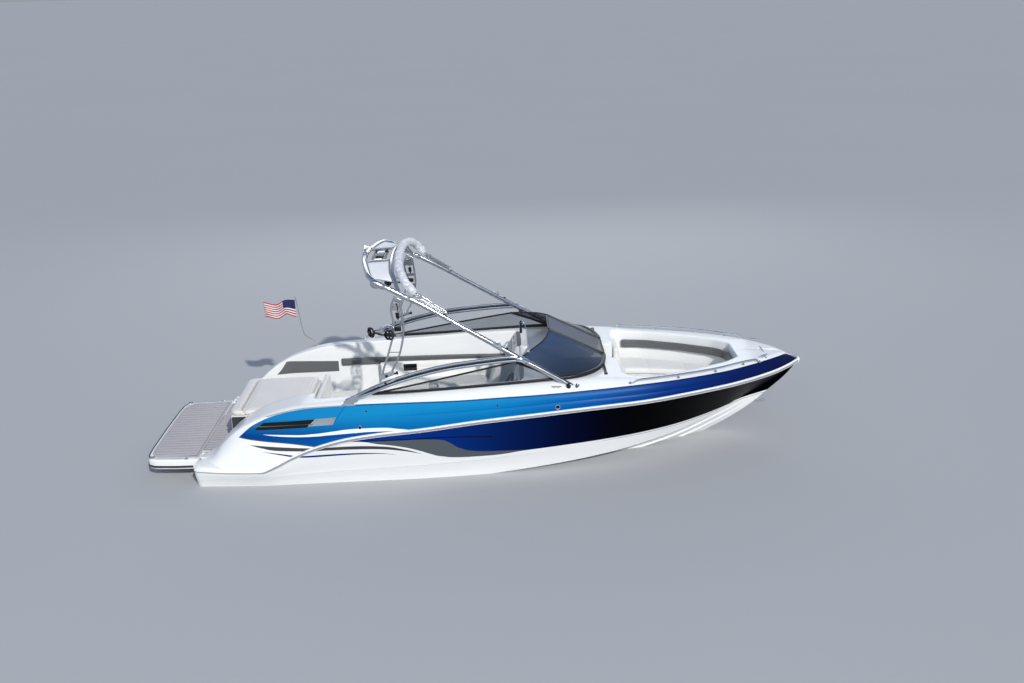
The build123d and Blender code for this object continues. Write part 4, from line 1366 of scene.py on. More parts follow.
# =====================================================================  tower
HINGE = Vector((3.87854, 0, 1.7544))
ARCH = [(3.8515, -1.0619, 1.7131), (3.63, -1.051, 1.848), (3.410, -1.040, 1.982), (3.19, -1.025, 2.12), (2.963, -1.010, 2.254), (2.70, -.996, 2.396), (2.505, -.986, 2.502), (2.400, -.962, 2.560), (2.338, -.90, 2.593), (2.292, -.725, 2.612), (2.245, -.48, 2.624), (2.207, -.24, 2.629), (2.194, 0, 2.631)]
LEG = [(4.800, -1.120, 1.150), (4.60, -1.108, 1.268), (4.40, -1.098, 1.388), (4.185, -1.085, 1.512), (4.02, -1.073, 1.611), (3.8556, -1.0623, 1.7107)]
LEG_DIR = (Vector(LEG[-1]) - Vector(LEG[-2])).normalized()


def ear_shape(B, y0, t, d, mat=0):
    up = Vector((.51, 0, .86)).normalized()
    c = Vector((HINGE.x, y0, HINGE.z))
    pts = []
    for k in range(9):
        a = math.radians(-20 + 220 * k / 8)
        q = up * math.cos(math.radians(90) - a) * .013 + d * math.cos(a) * .013
        pts.append(c + q)
    pts = [c + up * .0135, c + up * .010 + d * .009, c + d * .0135 + up * .002, c + d * .050 - up * .030, c + d * .012 - up * .034, c - d * .012 - up * .004, c - d * .0125 + up * .005]
    lo = [(p.x, y0, p.z) for p in pts]
    hi = [(p.x, y0 + t, p.z) for p in pts]
    n = len(pts)
    B.add(lo + hi, [tuple(range(n)), tuple(reversed(range(n, 2 * n)))] + [(i, (i + 1) % n, n + (i + 1) % n, n + i) for i in range(n)], mat)


def foot_block(B, p, mat):
    V, Fc = rbox(p[0] - .055, p[0] + .075, p[1] - .040, p[1] + .040, p[2] - .004, p[2] + .020, .009)
    B.add(V, Fc, mat)


def build_legs():
    B = Build()
    path = resample(LEG, .03)
    V, Fc = sweep(path, circle(.0315, 20))
    B.add(V, Fc, 0)
    # slim channel strip along the outer upper face of the leg
    off = [p + Vector((.010, -.022, .022)) for p in path[3:-3]]
    V, Fc = sweep(off, rrect(.014, .010, .003, 2), up=(0, 0, 1))
    B.add(V, Fc, 1)
    # foot: clevis plate on the deck, a boss and a black hand knob
    f = Vector((4.800, -1.120, 1.150))
    V, Fc = slab(round_loop([(4.70, -1.168), (4.90, -1.164), (4.90, -1.076), (4.70, -1.080)], .035), 1.140, 1.166, .008, 3)
    B.add(V, Fc, 2)
    V, Fc = lathe((4.818, -1.120, 1.160), (0, 0, 1), [(-.01, .045), (.012, .045), (.030, .036), (.040, .028)], 24)
    B.add(V, Fc, 2)
    V, Fc = lathe((4.812, -1.165, 1.184), (0, 1, 0), [(0, .018), (.004, .022), (.086, .022), (.090, .018)], 20)
    B.add(V, Fc, 2)
    for y in (-1.172, -1.074):
        V, Fc = lathe((4.812, y, 1.184), (0, 1, 0), [(-.004, .012), (.004, .012)], 14)
        B.add(V, Fc, 1)
    V, Fc = lathe((4.70, -1.150, 1.186), (.35, -.25, .2), [(-.03, .010), (.0, .012), (.004, .030), (.012, .034), (.022, .034), (.030, .028), (.031, 0)], 22)
    B.add(V, Fc, 1)
    V, Fc = lathe((4.735, -1.130, 1.150), (-.6, -.3, .75), [(-.01, .014), (.05, .012)], 14)
    B.add(V, Fc, 2)
    for x in (4.722, 4.878):
        for y in (-1.150, -1.095):
            bolt(B, (x, y, 1.165), (0, 0, 1), .009, .006, 2)
    # collar at the fold, the hinge's outer ears and its pin
    a = Vector(LEG[-1])
    V, Fc = lathe(a - LEG_DIR * .062, LEG_DIR, [(0, .0315), (.002, .0355), (.058, .0355), (.060, .0315)], 22)
    B.add(V, Fc, 2)
    for y in (-1.086, -1.047):
        ear_shape(B, y, .009, -LEG_DIR, 2)
    V, Fc = lathe((HINGE.x, -1.0875, HINGE.z), (0, 1, 0), [(0, .0078), (.051, .0078)], 14)
    B.add(V, Fc, 2)
    for y, s in ((-1.086, -1), (-1.038, 1)):
        V, Fc = lathe((HINGE.x, y, HINGE.z), (0, s, 0), [(0, .012), (.004, .012), (.006, .009), (.006, 0)], 14)
        B.add(V, Fc, 2)
    # clamp where the leg, the brace and the windshield meet
    c = Vector((4.185, -1.085, 1.512))
    d = (Vector(LEG[2]) - Vector(LEG[3])).normalized()
    V, Fc = lathe(c - d * .055, d, [(0, .0315), (.003, .037), (.107, .037), (.110, .0315)], 22)
    B.add(V, Fc, 2)
    V, Fc = rbox(4.168, 4.232, -1.080, -1.030, 1.466, 1.492, .006)
    B.add(V, Fc, 1)
    V, Fc = lathe((4.200, -1.120, 1.494), (0, -1, .1), [(-.02, .012), (0, .012), (.006, .009)], 14)
    B.add(V, Fc, 1)
    # spring pin on the upper side of the leg
    V, Fc = lathe((3.965, -1.070, 1.665), (.5, 0, .86), [(-.012, .010), (.006, .010), (.018, .013), (.026, .011), (.027, 0)], 14)
    B.add(V, Fc, 1)
    B.mirror()
    o = B.obj("tower_lower_legs", [M["tower"], M["black"], M["chrome"]])
    recalc(o, 0)
    return sharp(o, 38)


BRACE = [(1.985, -1.2165, 1.122), (2.25, -1.209, 1.226), (2.54, -1.200, 1.335), (2.86, -1.176, 1.420), (3.20, -1.150, 1.484), (3.62, -1.124, 1.528), (4.00, -1.104, 1.552), (4.150, -1.092, 1.540)]


def build_braces():
    B = Build()
    path = resample(BRACE, .04)
    ups, dns = [], []
    for i, p in enumerate(path):
        t = (path[min(i + 1, len(path) - 1)] - path[max(i - 1, 0)]).normalized()
        n = Vector((-t.z, 0, t.x)).normalized()
        g = min(1.0, (p.x - 1.95) / .35, (4.22 - p.x) / .20)
        g = max(.35, g)
        ups.append(p + n * .0255 * g + Vector((0, .004, 0)))
        dns.append(p - n * .0245 * g)
    for q, r in ((ups, .0195), (dns, .0205)):
        V, Fc = sweep(q, circle(r, 16))
        B.add(V, Fc, 0)
    mid = [(a + b) / 2 for a, b in zip(ups, dns)][3:-2]
    V, Fc = sweep(mid, rrect(.006, .030, .002, 2), up=(0, 1, 0))
    B.add(V, Fc, 1)
    # cast end pieces
    V, Fc = lathe((4.13, -1.096, 1.546), (1, .1, -.12), [(-.06, .010), (-.045, .034), (.0, .040), (.03, .036), (.045, .02), (.046, 0)], 20)
    B.add([(x, y, 1.546 + (z - 1.546) * 1.05) for x, y, z in V], Fc, 2)
    pts = [(2.115, 1.212), (2.030, 1.172), (1.952, 1.118), (1.940, 1.098), (1.965, 1.084), (2.06, 1.090), (2.135, 1.122)]
    V, Fc = prism(pts, -1.238, -1.194, .010)
    B.add(V, Fc, 2)
    V, Fc = slab(round_loop([(1.93, -1.248), (2.08, -1.244), (2.08, -1.186), (1.93, -1.190)], .02), 1.070, 1.092, .006, 3)
    B.add(V, Fc, 2)
    # latch saddle under the strut's foot
    V, Fc = prism([(2.40, 1.296), (2.60, 1.369), (2.592, 1.392), (2.392, 1.319)], -1.226, -1.176, .006)
    B.add(V, Fc, 2)
    V, Fc = lathe((2.478, -1.226, 1.345), (0, -1, 0), [(0, .014), (.012, .014), (.016, .010)], 16)
    B.add(V, Fc, 1)
    B.mirror()
    o = B.obj("brace_tubes", [M["tower"], M["black"], M["chrome"]])
    recalc(o, 0)
    return sharp(o, 38)


def build_arch():
    B = Build()
    path = hoop(resample(ARCH, .028))
    V, Fc = sweep(path, circle(.0315, 20))
    B.add(V, Fc, 0)
    for s in (1, -1):
        off = [Vector((p.x + .012, (p.y - .021) * s, p.z + .020)) for p in resample(ARCH, .028)[3:36]]
        V, Fc = sweep(off, rrect(.012, .008, .0025, 2), up=(0, 0, 1))
        B.add(V, Fc, 1)
    C = Build()
    a = Vector(ARCH[0])
    d = (Vector(ARCH[1]) - a).normalized()
    V, Fc = lathe(a + d * .002, d, [(0, .0315), (.002, .0355), (.058, .0355), (.060, .0315)], 22)
    C.add(V, Fc, 2)
    ear_shape(C, -1.0700, .016, d, 2)
    # cast knuckle at the aft bend
    V, Fc = lathe((2.452, -.986, 2.522), (-.86, .10, .46), [(-.085, .030), (-.06, .037), (-.01, .043), (.03, .046), (.06, .043), (.085, .034)], 22)
    C.add(V, Fc, 0)
    V, Fc = prism([(2.470, 2.520), (2.440, 2.470), (2.375, 2.478), (2.352, 2.520), (2.360, 2.575), (2.41, 2.57)], -1.004, -.960, .012)
    C.add(V, Fc, 0)
    # socket where the lighter hoop joins
    V, Fc = lathe((2.775, -1.003, 2.354), (-.86, .03, .5), [(-.055, .0315), (-.045, .037), (.045, .037), (.055, .0315)], 22)
    C.add(V, Fc, 2)
    C.mirror()
    B.add(C.v, C.f)
    B.m[-len(C.f):] = C.m
    # tow pin's saddle
    V, Fc = lathe((2.194, 0, 2.631), (0, 1, 0), [(-.05, .033), (-.045, .038), (.045, .038), (.05, .033)], 22)
    B.add(V, Fc, 2)
    o = B.obj("tower_main_hoop", [M["tower"], M["black"], M["chrome"]])
    recalc(o, 0)
    return sharp(o, 38)


FRONT = [(2.770, -1.003, 2.357), (2.720, -.992, 2.385), (2.672, -.945, 2.452), (2.640, -.875, 2.534), (2.603, -.750, 2.588), (2.583, -.58, 2.618), (2.566, -.38, 2.640), (2.555, -.18, 2.648), (2.552, 0, 2.650)]


def build_front_hoop():
    B = Build()
    V, Fc = sweep(hoop(resample(FRONT, .026)), circle(.025, 18))
    B.add(V, Fc, 0)
    o = B.obj("tower_front_hoop", [M["tower"]])
    recalc(o, 0)
    return sharp(o, 38)


def build_cross():
    B = Build()
    for y in (-.32, .32):
        V, Fc = sweep(resample([(2.238, y, 2.6275), (2.40, y, 2.640), (2.540, y, 2.640)], .03), rrect(.040, .034, .010, 4), up=(0, 0, 1))
        B.add(V, Fc, 0)
        for x in (2.242, 2.530):
            V, Fc = lathe((x, y, 2.632), (1, 0, 0), [(-.014, .024), (-.011, .028), (.011, .028), (.014, .024)], 18)
            B.add(V, Fc, 1)
        # grab strap and speaker bracket between the bars
        V, Fc = rbox(2.30, 2.335, y - .012, y + .012, 2.585, 2.624, .005)
        B.add(V, Fc, 2)
        V, Fc = rbox(2.42, 2.455, y - .012, y + .012, 2.585, 2.624, .005)
        B.add(V, Fc, 2)
    for x in (2.300, 2.455):
        V, Fc = sweep([(x, y, 2.600 + .012 * (1 - (y / .33) ** 2)) for y in np.linspace(-.31, .31, 13)], rrect(.030, .016, .006, 3), up=(0, 0, 1))
        B.add(V, Fc, 2)
    for y in (-.19, 0.0, .19):
        V, Fc = rbox(2.325, 2.430, y - .055, y + .055, 2.592, 2.632, .014)
        B.add(V, Fc, 1 if y else 2)
    # mast light on its short arm
    V, Fc = lathe((2.205, .45, 2.632), (-1, 0, .12), [(0, .012), (.040, .012), (.045, .022), (.075, .022), (.080, .016), (.081, 0)], 18)
    B.add(V, Fc, 3)
    o = B.obj("tower_cross_members", [M["tower"], M["chrome"], M["black"], M["railwhite"]])
    recalc(o, 0)
    return sharp(o, 38)


def build_roof():
    """Two laced white mesh panels between the hoops, dipping a little toward their middles."""
    B = Build()
    fa = at_len(resample(ARCH, .02), 400)
    ff = at_len(resample(FRONT, .02), 300)
    A = [p for p in fa if -.93 <= p.y <= -.355 and p.x < 2.42]
    Fh = [p for p in ff if -.90 <= p.y <= -.355 and p.x < 2.66]
    A, Fh = at_len(A, 19), at_len(Fh, 19)
    top, nu = [], 13
    for i in range(19):
        a, b = A[i], Fh[i]
        d = (b - a).normalized()
        s = i / 18
        pull = .012 * math.sin(math.pi * s)
        a2, b2 = a + d * (.0315 + .006), b - d * (.025 + .006)
        row = []
        for j in range(nu):
            t = j / (nu - 1)
            p = a2 + (b2 - a2) * t
            p.z += -.012 * math.sin(math.pi * t) * math.sin(math.pi * s) + .002
            row.append(p)
        top.append(row)
    V, Fc = thick(top, .004)
    B.add(V, Fc, 0)
    # hem cords along both long edges
    for col in (0, -1):
        V, Fc = sweep([r[col] + Vector((0, 0, .002)) for r in top], circle(.0055, 8))
        B.add(V, Fc, 1)
    for row in (top[0], top[-1]):
        V, Fc = sweep([p + Vector((0, 0, .002)) for p in row], circle(.0055, 8))
        B.add(V, Fc, 1)
    # lacing loops round the hoops
    for i in range(1, 18, 2):
        for e, hp, r in ((0, A[i], .0315), (-1, Fh[i], .025)):
            q = top[i][e]
            c = (q + hp) / 2
            d = (q - hp).normalized()
            V, Fc = sweep([q - d * .004, c + Vector((0, 0, .006)), hp + d * (r * .95)], rrect(.014, .003, .001, 1), up=(0, 0, 1))
            B.add(V, Fc, 1)
    B.mirror()
    o = B.obj("roof_panels", [M["panelmesh"], M["grey"]])
    recalc(o, 0)
    return sharp(o, 40)


def build_tow_pin():
    B = Build()
    V, Fc = lathe((2.195, 0, 2.655), (0, 0, 1), [(0, .030), (.010, .030), (.016, .028), (.030, .028), (.035, .022), (.035, .0158), (.0735, .0158), (.075, .0145), (.075, 0)], 26)
    B.add(V, Fc, 0)
    o = B.obj("tow_pin_turned", [M["chrome"]])
    recalc(o, 0)
    return sharp(o, 38)


ST_AFT = [(2.652, -1.010, 2.368), (2.610, -1.020, 2.310), (2.588, -1.033, 2.235), (2.592, -1.046, 2.16), (2.606, -1.062, 2.080), (2.612, -1.085, 1.948), (2.575, -1.110, 1.830), (2.511, -1.156, 1.630), (2.462, -1.184, 1.500), (2.446, -1.196, 1.425)]
ST_FWD = [(2.700, -1.010, 2.352), (2.710, -1.030, 2.260), (2.719, -1.052, 2.150), (2.728, -1.075, 1.998), (2.722, -1.092, 1.915), (2.704, -1.113, 1.816), (2.674, -1.138, 1.705), (2.632, -1.158, 1.600), (2.575, -1.182, 1.500), (2.555, -1.196, 1.455)]


def strut_y(z):
    return float(np.interp(z, [1.43, 1.63, 1.82, 1.95, 2.1, 2.24, 2.36], [-1.197, -1.156, -1.112, -1.084, -1.060, -1.034, -1.012]))


def build_struts():
    B = Build()
    A, Fw = resample(ST_AFT, .022), resample(ST_FWD, .022)
    for q in (A, Fw):
        V, Fc = sweep(q, circle(.0125, 14))
        B.add(V, Fc, 0)
    def xa(z):
        return float(np.interp(-z, [-p.z for p in A], [p.x for p in A]))
    def xf(z):
        return float(np.interp(-z, [-p.z for p in Fw], [p.x for p in Fw]))
    # web plates between the two rods
    for z0, z1, mat in ((2.205, 2.290, 0), (2.045, 2.085, 0), (1.885, 1.925, 0), (1.700, 1.712, 0)):
        zs = np.linspace(z0, z1, 4)
        g = [[Vector((xa(z) + .004 + (xf(z) - xa(z) - .008) * u, strut_y(z), z)) for z in zs] for u in np.linspace(0, 1, 5)]
        V, Fc = thick(g, .006)
        B.add(V, Fc, mat)
    for z in (2.250, 2.063, 1.905):
        for x in (xa(z) + .025, xf(z) - .025):
            bolt(B, (x, strut_y(z) - .004, z), (0, -1, 0), .007, .006, 1)
    # dark adjusting gear between the rods
    V, Fc = lathe((2.662, -1.048, 2.145), (.1, .05, -1), [(-.035, .010), (-.030, .022), (.030, .022), (.035, .010), (.055, .008)], 18)
    B.add(V, Fc, 1)
    V, Fc = rbox(2.622, 2.700, -1.090, -1.068, 1.955, 2.010, .006)
    B.add(V, Fc, 1)
    V, Fc = sweep(resample([(2.655, -1.046, 2.30), (2.668, -1.045, 2.24), (2.665, -1.045, 2.19)], .02), circle(.006, 8))
    B.add(V, Fc, 1)
    # foot: a chrome latch over the brace
    V, Fc = prism([(2.408, 1.372), (2.598, 1.441), (2.590, 1.484), (2.560, 1.490), (2.428, 1.442), (2.400, 1.414)], -1.216, -1.178, .010)
    B.add(V, Fc, 2)
    V, Fc = lathe((2.497, -1.220, 1.432), (0, -1, 0), [(-.004, .018), (.006, .018), (.010, .013), (.010, 0)], 18)
    B.add(V, Fc, 1)
    V, Fc = lathe((2.600, -1.197, 1.452), (.9, 0, .32), [(-.01, .012), (.012, .012), (.020, .022), (.034, .022), (.038, .014), (.039, 0)], 16)
    B.add(V, Fc, 1)
    # collar under the hoop
    V, Fc = prism([(2.622, 2.372), (2.720, 2.340), (2.722, 2.300), (2.690, 2.290), (2.612, 2.320)], -1.026, -.996, .008)
    B.add(V, Fc, 0)
    B.mirror()
    o = B.obj("tower_side_struts", [M["tower"], M["black"], M["chrome"]])
    recalc(o, 0)
    return sharp(o, 38)


def star_knob(B, c, axis, r, h, mat):
    """A thick wheel with spokes: rim, hub and six arms."""
    a = Vector(axis).normalized()
    q = Vector((0, 0, 1)) if abs(a.z) < .9 else Vector((1, 0, 0))
    u = a.cross(q).normalized()
    w = a.cross(u)
    c = Vector(c)
    ring = [c + (u * math.cos(t) + w * math.sin(t)) * (r - .011 + .003 * math.cos(6 * t)) for t in np.linspace(0, 2 * math.pi, 49)[:-1]]
    V, Fc = sweep(ring, circle(.0105, 10), closed=True)
    B.add([Vector(p) + a * ((Vector(p) - c).dot(a) * (h / .021 - 1) * .9) for p in V], Fc, mat)
    V, Fc = lathe(c, a, [(-h * .5, .014), (-h * .46, .018), (h * .46, .018), (h * .5, .014), (h * .52, 0)], 16)
    B.add(V, Fc, mat)
    for k in range(6):
        t = math.pi / 6 + k * math.pi / 3
        d = u * math.cos(t) + w * math.sin(t)
        V, Fc = sweep([c + d * .012, c + d * (r - .012)], rrect(.012, h * .55, .003, 2), up=tuple(a))
        B.add(V, Fc, mat)


def build_racks():
    B = Build()
    hubs = ((Vector((2.337, -1.108, 1.961)), Vector((.82, .54, .08))), (Vector((2.566, -1.214, 1.956)), Vector((.30, .95, .05))))
    root = Vector((2.602, -1.092, 1.985))
    for c, ax in hubs:
        star_knob(B, c, ax, .066, .046, 0)
    # silver fork from the strut to both wheels, and the black cradle arms
    for dz in (.020, -.020):
        V, Fc = sweep(resample([root + Vector((.0, 0, dz)), (2.50, -1.105, 1.990 + dz), (2.40, -1.110, 1.972 + dz * .7), hubs[0][0] + Vector((.030, .016, dz * .4))], .02), rrect(.010, .016, .003, 2), up=(0, 0, 1))
        B.add(V, Fc, 1)
        V, Fc = sweep(resample([root + Vector((.0, 0, dz)), (2.592, -1.150, 1.982 + dz), hubs[1][0] + Vector((.006, .026, dz * .4))], .02), rrect(.010, .016, .003, 2), up=(0, 0, 1))
        B.add(V, Fc, 1)
    V, Fc = sweep(resample([(2.375, -1.095, 1.955), (2.46, -1.130, 1.935), (2.545, -1.180, 1.945)], .02), rrect(.030, .016, .005, 3), up=(0, 0, 1))
    B.add(V, Fc, 0)
    V, Fc = rbox(2.592, 2.622, -1.112, -1.066, 1.945, 2.022, .006)
    B.add(V, Fc, 1)
    V, Fc = sweep(resample([(2.603, -1.085, 2.02), (2.53, -1.09, 2.045), (2.455, -1.10, 2.020), (2.44, -1.105, 1.985)], .015), circle(.0045, 8))
    B.add(V, Fc, 1)
    for p in ((2.607, -1.113, 1.965), (2.607, -1.113, 2.002)):
        bolt(B, p, (0, -1, 0), .007, .006, 2)
    B.mirror()
    o = B.obj("board_rack_forks", [M["black"], M["tower"], M["chrome"]])
    recalc(o, 0)
    return sharp(o, 38)


def build_stays():
    B = Build()
    a0, b0 = Vector((2.885, -.972, 2.381)), Vector((3.236, -1.004, 2.148))
    d = (b0 - a0).normalized()
    n = Vector((-d.z, 0, d.x)).normalized()
    for s in (1, -1):
        a, b = a0 + n * .017 * s, b0 + n * .012 * s
        V, Fc = sweep([a, (a + b) / 2, b], rrect(.012, .018, .004, 3), up=tuple(n))
        B.add(V, Fc, 0)
    c = a0 + d * .075
    V, Fc = sweep([c - n * .036, c + n * .036], rrect(.030, .026, .006, 3), up=(0, 1, 0))
    B.add(V, Fc, 1)
    V, Fc = lathe(c + Vector((0, -.016, 0)), (0, -1, 0), [(0, .011), (.010, .011), (.014, .007), (.014, 0)], 14)
    B.add(V, Fc, 1)
    V, Fc = lathe((3.236, -1.040, 2.135), (0, 1, 0), [(0, .020), (.004, .026), (.060, .026), (.064, .020)], 20)
    B.add(V, Fc, 1)
    V, Fc = lathe((3.236, -1.044, 2.135), (0, -1, 0), [(0, .010), (.008, .010), (.011, .006), (.011, 0)], 12)
    B.add(V, Fc, 2)
    B.mirror()
    # a dark grey plate along the port pair is painted shade, standing in for the shade on their inner faces
    a, b = Vector((2.905, .966, 2.372)), Vector((3.190, .992, 2.182))
    V, Fc = sweep([a, (a + b) / 2 + Vector((0, 0, .004)), b], rrect(.006, .040, .002, 2), up=tuple(n))
    B.add(V, Fc, 3)
    o = B.obj("sun_top_stay_bars", [M["tower"], M["chrome"], M["black"], M["grey"]])
    recalc(o, 0)
    return sharp(o, 38)
# =====================================================================  windshield
W_BASE = [(2.300, -1.105, 1.160), (2.70, -1.106, 1.172), (3.30, -1.100, 1.193), (3.85, -1.092, 1.220), (4.30, -1.078, 1.242), (4.590, -1.050, 1.254), (4.830, -1.000, 1.262), (5.000, -.905, 1.267), (5.120, -.770, 1.269), (5.190, -.600, 1.271), (5.225, -.440, 1.272), (5.237, -.328, 1.273)]
W_SIDE = [(2.300, -1.105, 1.162), (2.75, -1.090, 1.242), (3.30, -1.060, 1.341), (3.75, -1.025, 1.420), (4.060, -.995, 1.474)]
W_TOP = [(4.060, -.995, 1.474), (4.160, -.905, 1.505), (4.255, -.795, 1.536), (4.350, -.690, 1.564), (4.432, -.580, 1.590), (4.490, -.450, 1.617), (4.521, -.328, 1.642)]
DOOR_PTS = [(5.240, -.283, 1.282), (5.240, .283, 1.282), (4.524, .283, 1.646), (4.524, -.283, 1.646)]


def split_base():
    P = resample(W_BASE, .02)
    k = min(range(len(P)), key=lambda i: (P[i] - Vector(W_BASE[5])).length)
    return P[:k + 1], P[k:]


def build_glass_front():
    B = Build()
    base, top = at_len(split_base()[1], 25), at_len(resample(W_TOP, .02), 25)
    g = []
    for i in range(25):
        a, b = base[i], top[i]
        row = []
        for j in range(9):
            t = j / 8
            p = a + (b - a) * t
            s = math.sin(math.pi * t) * .012
            p += Vector((.4, -.35, .8)).normalized() * s
            row.append(p)
        g.append(row)
    V, Fc = thick(g, .005)
    B.add(V, Fc, 0)
    B.mirror()
    o = B.obj("windshield_panes", [M["glass"]])
    recalc(o, 1e-6)
    return sharp(o, 40)


def build_glass_side():
    B = Build()
    base, top = at_len(split_base()[0], 30), at_len(resample(W_SIDE, .02), 30)
    g = []
    for i in range(1, 30):
        a, b = base[i], top[i]
        g.append([a + (b - a) * (j / 6) for j in range(7)])
    V, Fc = thick(g, .005)
    B.add(V, Fc, 0)
    B.mirror()
    o = B.obj("windshield_side_panes", [M["sideglass"]])
    recalc(o, 1e-6)
    return sharp(o, 40)


def build_shield_frame():
    B = Build()
    base = resample(W_BASE, .025)
    sc = []
    for p in base:
        sc.append(.74 + .26 * max(0.0, min(1.0, (p.x - 4.2) / .7)))
    V, Fc = sweep(base, [(u * 1.0, v) for u, v in rrect(.044, .048, .012, 3)], up=(0, 0, 1), scale=sc)
    B.add(V, Fc, 0)
    # satin strip outside the side gasket
    low = [p + Vector((0, -.014, -.012)) for p in base if p.x < 4.75]
    V, Fc = sweep(low, rrect(.010, .010, .003, 2), up=(0, 0, 1))
    B.add(V, Fc, 1)
    V, Fc = sweep(resample(W_SIDE, .03), rrect(.018, .022, .006, 3), up=(0, 0, 1))
    B.add(V, Fc, 0)
    V, Fc = sweep(resample(W_TOP, .03), rrect(.020, .018, .006, 3), up=(0, 0, 1))
    B.add(V, Fc, 0)
    # corner post between side and front, and the post beside the door
    V, Fc = sweep([Vector(W_BASE[5]), (Vector(W_BASE[5]) + Vector(W_TOP[0])) / 2 + Vector((.004, -.006, .006)), Vector(W_TOP[0])], rrect(.030, .022, .007, 3), up=(0, 1, 0))
    B.add(V, Fc, 0)
    for p, r in ((W_TOP[0], .015),):
        V, Fc = lathe(p, (0, 0, 1), [(-r, 0), (-r * .7, r * .7), (0, r), (r * .7, r * .7), (r, 0)], 12)
        B.add(V, Fc, 0)
    # aft end caps and small stay from the gasket to the deck
    V, Fc = lathe((2.318, -1.105, 1.163), (-1, 0, -.03), [(-.01, .013), (.02, .014), (.045, .010), (.055, 0)], 14)
    B.add(V, Fc, 0)
    V, Fc = sweep([(5.196, -.630, 1.268), (5.204, -.70, 1.252), (5.206, -.80, 1.2425), (5.200, -.880, 1.2380)], rrect(.026, .012, .004, 2), up=(0, 0, 1))
    B.add(V, Fc, 0)
    V, Fc = slab(round_loop([(5.182, -.905), (5.222, -.905), (5.222, -.855), (5.182, -.855)], .01), 1.2195, 1.2435, .004, 2)
    B.add(V, Fc, 0)
    B.mirror()
    # posts beside the door; the one on its hinge side stands clear of the opened stile
    for y, w in ((-.324, .038), (.338, .026)):
        post = [Vector((q[0], y, q[2])) for q in (W_BASE[-1], W_TOP[-1])]
        V, Fc = sweep(post, rrect(w, .026, .006, 3), up=(.45, 0, .89))
        B.add(V, Fc, 0)
        for q in post:
            r = min(.015, w / 2 - .001)
            V, Fc = lathe(q, (0, 0, 1), [(-r, 0), (-r * .7, r * .7), (0, r), (r * .7, r * .7), (r, 0)], 12)
            B.add(V, Fc, 0)
    o = B.obj("windshield_gasket", [M["black"], M["tower"]])
    recalc(o, 0)
    return sharp(o, 40)


def build_door():
    B = Build()
    loop = [Vector(p) for p in DOOR_PTS]
    n = Vector((.4532, 0, .8914))
    e = (loop[3] - loop[0]).normalized()
    path = []
    for i in range(4):
        p, a, b = loop[i], loop[i - 1], loop[(i + 1) % 4]
        u, v = (a - p).normalized(), (b - p).normalized()
        for k in range(6):
            t = k / 5
            path.append(p + u * .035 * (1 - t) ** 2 + v * .035 * t ** 2)
    full = []
    for i in range(len(path)):
        q, w = path[i], path[(i + 1) % len(path)]
        k = max(1, int((w - q).length / .06))
        full += [q + (w - q) * (j / k) for j in range(k)]
    V, Fc = sweep(full, rrect(.030, .020, .006, 3), closed=True, up=tuple(n))
    B.add(V, Fc, 0)
    for d in (.150, .590):
        p = loop[1] + Vector((0, .015, 0)) + e * d
        V, Fc = lathe(p, e, [(0, .0055), (.002, .0068), (.058, .0068), (.060, .0055)], 14)
        B.add(V, Fc, 1)
    # pull latch inside the starboard edge
    p = loop[0] + Vector((0, .034, 0)) + e * .34 - n * .016
    V, Fc = sweep([p - e * .03, p + e * .03], rrect(.020, .012, .004, 2), up=tuple(n))
    B.add(V, Fc, 1)
    o = B.obj("door_frame_bent", [M["black"], M["chrome"]])
    recalc(o, 0)
    o = sharp(o, 40)
    c = sum(loop, Vector()) / 4
    q = [c + (p - c) * .975 for p in loop]
    g = []
    for i in range(13):
        a, b = q[0] + (q[1] - q[0]) * (i / 12), q[3] + (q[2] - q[3]) * (i / 12)
        g.append([a + (b - a) * (j / 10) for j in range(11)])
    V, Fc = thick(g, .005)
    w = new_obj("door_pane", V, Fc, [M["glass"]])
    recalc(w, 1e-6)
    return o, sharp(w, 40)


def build_mirror():
    B = Build()
    arm = resample([(4.236, -.812, 1.535), (4.228, -.770, 1.66), (4.220, -.735, 1.80), (4.205, -.690, 1.846), (4.180, -.600, 1.850)], .02)
    V, Fc = sweep(arm, rrect(.016, .010, .004, 3), up=(1, 0, 0))
    B.add(V, Fc, 1)
    V, Fc = rbox(4.222, 4.252, -.835, -.790, 1.512, 1.548, .006)
    B.add(V, Fc, 1)
    outline = round_loop([(-.62, 1.706), (-.42, 1.706), (-.42, 1.874), (-.62, 1.874)], .034)
    V, Fc = slab(outline, 4.140, 4.172, .010, 4)
    B.add([(z, x, y) for x, y, z in V], Fc, 0)
    inner = round_loop([(-.61, 1.716), (-.43, 1.716), (-.43, 1.864), (-.61, 1.864)], .028)
    V, Fc = slab(inner, 4.1375, 4.1405, .001, 1)
    B.add([(z, x, y) for x, y, z in V], Fc, 1)
    V, Fc = lathe((4.168, -.585, 1.850), (1, 0, 0), [(-.004, .016), (.010, .016), (.016, .010), (.016, 0)], 14)
    B.add(V, Fc, 1)
    o = B.obj("mirror_head", [M["darkblue"], M["chrome"]])
    recalc(o, 0)
    return sharp(o, 38)


# =====================================================================  helm
FACE = Vector((-.9205, 0, .3906))


